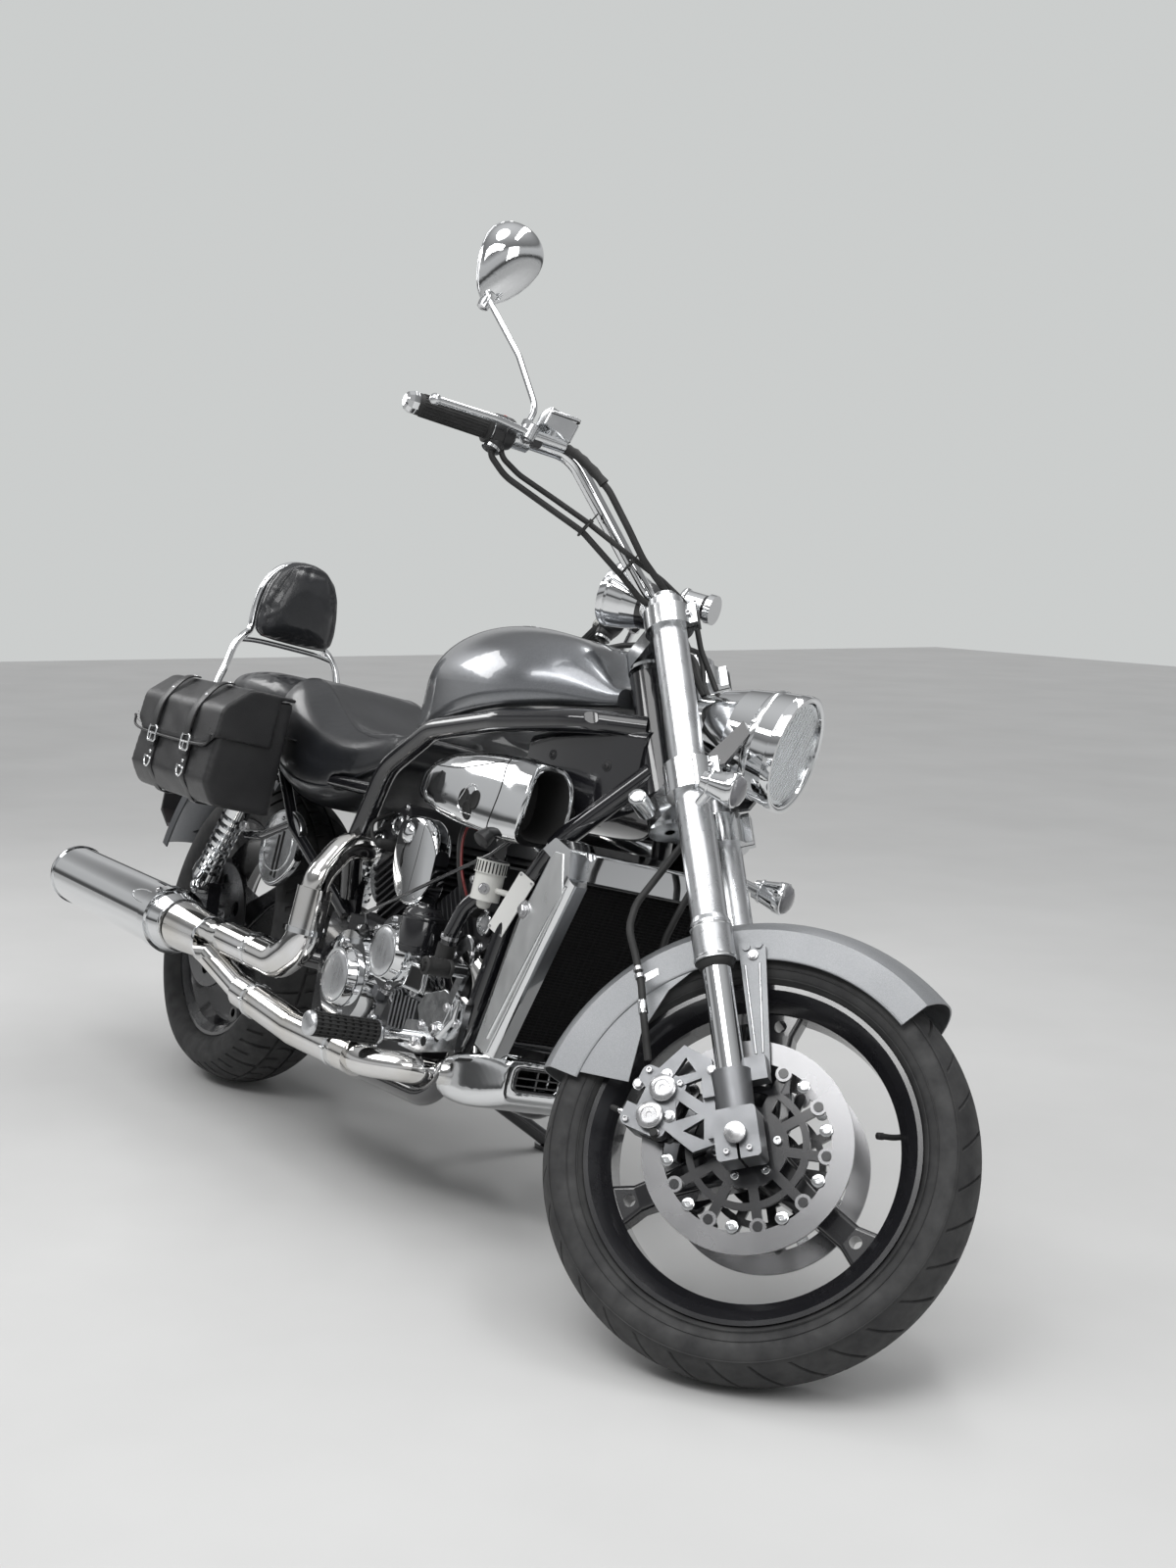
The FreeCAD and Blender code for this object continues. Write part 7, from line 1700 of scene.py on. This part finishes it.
def rider_shape(p, n):
    """The saddle's dish, the roll at its back and the ridge along its sides."""
    x, y = p.x, p.y
    top = max(0.0, n.z)
    dish = 6.0 * math.exp(-((x - 410) / 90) ** 2 - (y / 90) ** 2) * top
    roll = 6.0 * math.exp(-((x - 215) / 60) ** 2) * top
    ridge = 3.0 * math.exp(-((abs(y) - 108 + (x - 300) * 0.10) / 15.0) ** 2) * top
    return p - Vector((0, 0, dish - roll - ridge))


def passenger_shape(p, n):
    """Pleats across the middle of the pad, between two grooves along it."""
    x, y = p.x, p.y
    top = max(0.0, n.z)
    pleat = sum(1.8 * math.exp(-((x - at - abs(y) * 0.12) / 4.5) ** 2) for at in (-150, -75, 0, 62)) * top
    groove = 2.4 * math.exp(-((abs(y) - 88) / 4.5) ** 2) * top
    return p - n * (pleat * (1 if abs(y) < 88 else 0) + groove)


def pad_outline(grow=0.0):
    """The backrest pad's arch: level foot, upright sides that lean in, round head."""
    half = [(78, 922), (92, 934), (95, 960), (92, 1000), (84, 1040), (68, 1074), (42, 1097), (14, 1104)]
    middle = 1010
    ring = [(y, z) for y, z in half] + [(-y, z) for y, z in reversed(half)]
    return [(y * (1 + grow / 90), middle + (z - middle) * (1 + grow / 90)) for y, z in ring]


def pad_shape(p, n):
    """The pad's crowned face with a rolled border."""
    y, z = p.y, p.z
    if n.x < 0.2:
        return p
    share = min(1.0, max(abs(y) / (92 - max(0.0, z - 1000) * 0.5), abs(z - 1010) / 92))
    border = 3.2 * math.exp(-((share - 0.80) / 0.07) ** 2)
    return p + Vector((6.0 * (1 - share ** 2) - border, 0, 0))


def seats():
    rider = soft_copy("rider_saddle", "rider_seat", "seat", "chassis", 7.6, 12, rider_shape,
                      (3.0, 5.0, lambda p: p.z < 690 or p.x > 585), 2.0)
    passenger = soft_copy("pillion_pad", "passenger_seat", "seat", "chassis", 6.6, 9, passenger_shape,
                          (3.0, 5.0, lambda p: p.z < 784), 2.0)
    lines = []
    for side in (-1, 1):
        for item, rows, share in ((rider, RIDER_ROWS, 0.22), (passenger, PASSENGER_ROWS, 0.34)):
            pts = smooth_line([(x, side * half, z) for x, half, z in seat_edge(rows, share)], 10)
            cast = traced(item, [(p.x, side * 260, p.z) for p in pts], (0, -side, 0), 0.6)
            lines.append(tube(cast, 2.6, 8))
    chassis_piece("seat_piping", joined(*lines), "seat", 60)
    rows = []
    for side in (-1, 1):
        for item, x0, x1, y in ((rider, 170, 540, 101), (passenger, -220, 100, 92)):
            pts = [(x0 + (x1 - x0) * i / 60, side * y, 900) for i in range(61)]
            rows.append(stitches(traced(item, pts, -UP, 0.5), 6.0, 4.0, 0.8))
    chassis_piece("seat_stitches", joined(*rows), "stitch", 60)


def backrest():
    """The bent chrome bar with its cross brace, and the pad that it carries."""
    half = [(-150, 150, 770), (-158, 150, 800), (-170, 134, 850), (-180, 122, 892), (-187, 104, 918),
            (-196, 88, 936), (-199, 86, 985), (-197, 80, 1032), (-194, 62, 1068), (-190, 36, 1088),
            (-189, 0, 1095)]
    line = [(x, -y, z) for x, y, z in half] + [(x, y, z) for x, y, z in reversed(half[:-1])]
    brace = smooth_line([(-184, -114, 908), (-186, -60, 914), (-186, 60, 914), (-184, 114, 908)], 6)
    feet = [brick((-184, s * 144 - 4, 757), (-61, s * 144 + 14, 785)) for s in (-1, 1)]
    bar = joined(tube(smooth_line(line, 6), 8.0, 16), tube(brace, 6.0, 14), *feet)
    chassis_piece("backrest_bar", bar, "chrome", 50, replaces=("sissy_bar",))
    outline = pad_outline(-3.0)
    rings = [[Vector((x, 0, 1010)) + Vector((0, y * f, (z - 1010) * f)) for y, z in outline]
             for x, f in ((-189, 0.90), (-184, 0.97), (-160, 1.0), (-150, 0.96), (-144, 0.86))]
    pad = soft_copy("backrest_cushion", "backrest_pad", "seat", "chassis", 5.0, 6, pad_shape,
                    (4.0, 6.0, lambda p: p.x < -184), source=skin(rings))
    middle = Vector((-166, 0, 1010))
    edge = smooth_line([(-166, y, z) for y, z in pad_outline()], 4, True)
    rim = [traced(pad, [middle + (p - middle) * 1.7], middle - p) for p in edge]
    chassis_piece("pad_piping", tube([hit[0] for hit in rim if hit], 2.0, 8, True), "seat", 60)
    inner = smooth_line([(-60, y * 0.80, 1010 + (z - 1010) * 0.80) for y, z in pad_outline()], 5, True)
    seam = traced(pad, inner, -AHEAD, 0.3)
    chassis_piece("pad_stitches", stitches(seam, 6.0, 4.0, 0.9, True), "stitch", 60)
    plate = prism([(-60, -50), (60, -50), (52, 50), (-52, 50)], (-188, 0, 1010), (0, 1, 0), (0, 0, 1), -8)
    backs = [dome_screw((-196, y, z), (-1, 0, 0), 6) for y in (-40, 40) for z in (976, 1044)]
    chassis_piece("pad_back_plate", plate, "black", 30, bevel=2.0)
    chassis_piece("pad_screws", joined(*backs), "chrome", 30)


BAG_FACE = [(300, 801.5), (318, 799), (334, 786), (353, 758), (362, 738), (366.5, 712), (366.8, 690)]
BAG_BODY = [(351.5, 742), (356.5, 700), (359.5, 650), (359.5, 622), (355, 606), (340, 588), (326, 571),
            (300, 570.5)]


def leather(p, n):
    """Bag leather that bellies out between its corners and wrinkles a little."""
    x, y, z = p
    share = max(0.0, 1 - ((x - 195) / 190) ** 2) * max(0.0, 1 - ((z - 680) / 115) ** 2)
    belly = 3.5 * share * (1.0 if abs(y) > 290 else 0.0)
    fold = 1.2 * math.sin(x * 0.055 + z * 0.03) * math.sin(z * 0.06 + 1.3) * share
    return p + n * (belly + fold)


def bags():
    for side, name in ((1, "left"), (-1, "right")):
        lid = name + "_lid"
        soft_copy("bag_" + name, name + "_bag", "bag", "chassis", 4.9, 5, leather, levels=0)
        soft_copy("lid_" + name, name + "_bag_lid", "bag", lid, 3.6, 4, leather, levels=0)
        mirror = mirrored if side < 0 else joined
        uppers, lowers, metal_low, metal_up, rivets = [], [], [], [], []
        for x in (110, 282):
            uppers.append(ribbon(smooth_line([(x, y, z) for y, z in BAG_FACE], 4), (-1, 0, 0), 27, 3.2))
            lowers.append(ribbon(smooth_line([(x, y, z) for y, z in BAG_BODY], 4), (-1, 0, 0), 25, 3.0))
            lowers.append(ribbon([(x, 363.5, 668), (x, 364.5, 660), (x, 364.5, 652)], (-1, 0, 0), 34, 3.4))
            frame_line = [(x + a, 367.5, 676 + b) for a, b in round_outline(19, 15, 6)]
            metal_low.append(tube(frame_line, 2.5, 10, True))
            metal_low.append(tube([(x - 18, 368, 676), (x + 18, 368, 676)], 2.0, 8))
            metal_low.append(tube([(x, 369, 676), (x, 371, 664), (x, 370, 661)], [2.0, 1.8, 1.0], 8))
            half_turn = [math.pi * k / 16 for k in range(17)]
            ring = [(x + 15 * math.cos(t), 366, 628 - 17 * abs(math.sin(t))) for t in half_turn]
            metal_low.append(tube(ring + [(x - 15, 366, 631)], 2.2, 8, True))
            rivets += [dome_screw((x, 363.2, z), (0, 1, 0), 4.0) for z in (700, 640)]
            metal_up.append(dome_screw((x, 306, 803.6), (0, 0.05, 1), 4.2))
            metal_up.append(dome_screw((x, 347, 772.5), (0, 0.86, 0.5), 4.2))
        chassis_piece("bag_straps_" + name, mirror(joined(*lowers)), "bag", 40)
        piece("lid_straps_" + name, mirror(joined(*uppers)), "bag", UPRIGHT, lid, 40)
        chassis_piece("bag_buckles_" + name, mirror(joined(*metal_low, *rivets)), "chrome", 50)
        piece("lid_rivets_" + name, mirror(joined(*metal_up)), "chrome", UPRIGHT, lid, 50)
        seam = [(6, 366.4, 712), (44, 367.4, 690), (346, 367.4, 690), (384, 366.4, 712)]
        piece("lid_stitches_" + name, mirror(stitches(smooth_line(seam, 8), 6.0, 4.0, 0.9)), "stitch",
              UPRIGHT, lid, 60)
        edge = smooth_line([(x, 366.4, z) for x, z in ((-5, 703), (40, 679), (350, 679), (395, 703))], 10)
        piece("lid_piping_" + name, mirror(tube(edge, 2.6, 8)), "bag", UPRIGHT, lid, 60)


def saddle_yokes():
    """The two straps over the seat's tail that carry the pair of bags."""
    straps = []
    for x in (62, 312):
        path = [(x, 213.5, 700), (x, 206, 720), (x, 190, 728), (x, 150, 722), (x, 142, 706)]
        straps.append(ribbon(smooth_line(path, 6), (-1, 0, 0), 30, 3.5))
    chassis_piece("bag_carriers", both(joined(*straps)), "bag", 40)


def build_soft_goods():
    seats()
    backrest()
    bags()
    saddle_yokes()


camera()
studio()
world_light()
LOOKS = make_looks()

DRESS = {
    "frame": "black", "swingarm": "black", "rear_axle": "steel", "shocks": "chrome", "drive_belt": "rubber",
    "engine_block": "wrinkle", "cylinders": "wrinkle", "engine_covers": "chrome", "fuel_tank": "paint",
    "rider_seat": "seat", "passenger_seat": "seat", "rear_fender": "paint", "rear_lamps": "red",
    "sissy_bar": "chrome", "backrest_pad": "seat", "side_covers": "polished", "intake_scoops": "chrome",
    "radiator": "core", "radiator_shroud": "chrome", "belly_pan": "chrome", "muffler": "chrome",
    "exhaust_headers": "chrome_heated", "foot_controls": "polished", "footpeg_rubbers": "rubber",
    "left_bag": "bag", "right_bag": "bag", "fork_outer_tubes": "satin", "fork_stanchions": "chrome",
    "fork_feet": "cast", "lower_clamp": "polished", "upper_clamp": "polished", "front_axle": "steel",
    "front_calipers": "cast", "front_fender": "pale_paint", "handlebar": "chrome", "grips": "rubber",
    "hand_controls": "polished", "mirrors": "chrome", "headlight_shell": "chrome", "headlight_lens": "lens",
    "instrument_pod": "chrome", "headlight_arms": "black", "front_indicators": "chrome", "front_rim": "wheel",
    "front_tyre": "tyre", "front_discs": "disc", "front_disc_carriers": "wheel", "rear_rim": "wheel",
    "rear_tyre": "tyre", "rear_disc": "disc", "rear_pulley": "cast", "side_stand": "black",
    "left_bag_lid": "bag", "right_bag_lid": "bag", "cables": "rubber", "fuel_cap": "chrome",
    "rear_caliper": "cast", "coolant_bottle": "white_plastic", "coolant_hose": "black",
}


def dress_nodes():
    for name, node in NODES.items():
        node.data.materials.clear()
        node.data.materials.append(LOOKS[DRESS[name]].material)


dress_nodes()
build_wheels()
build_front_end()
build_bar()
build_chassis_trim()
build_engine_trim()
build_soft_goods()
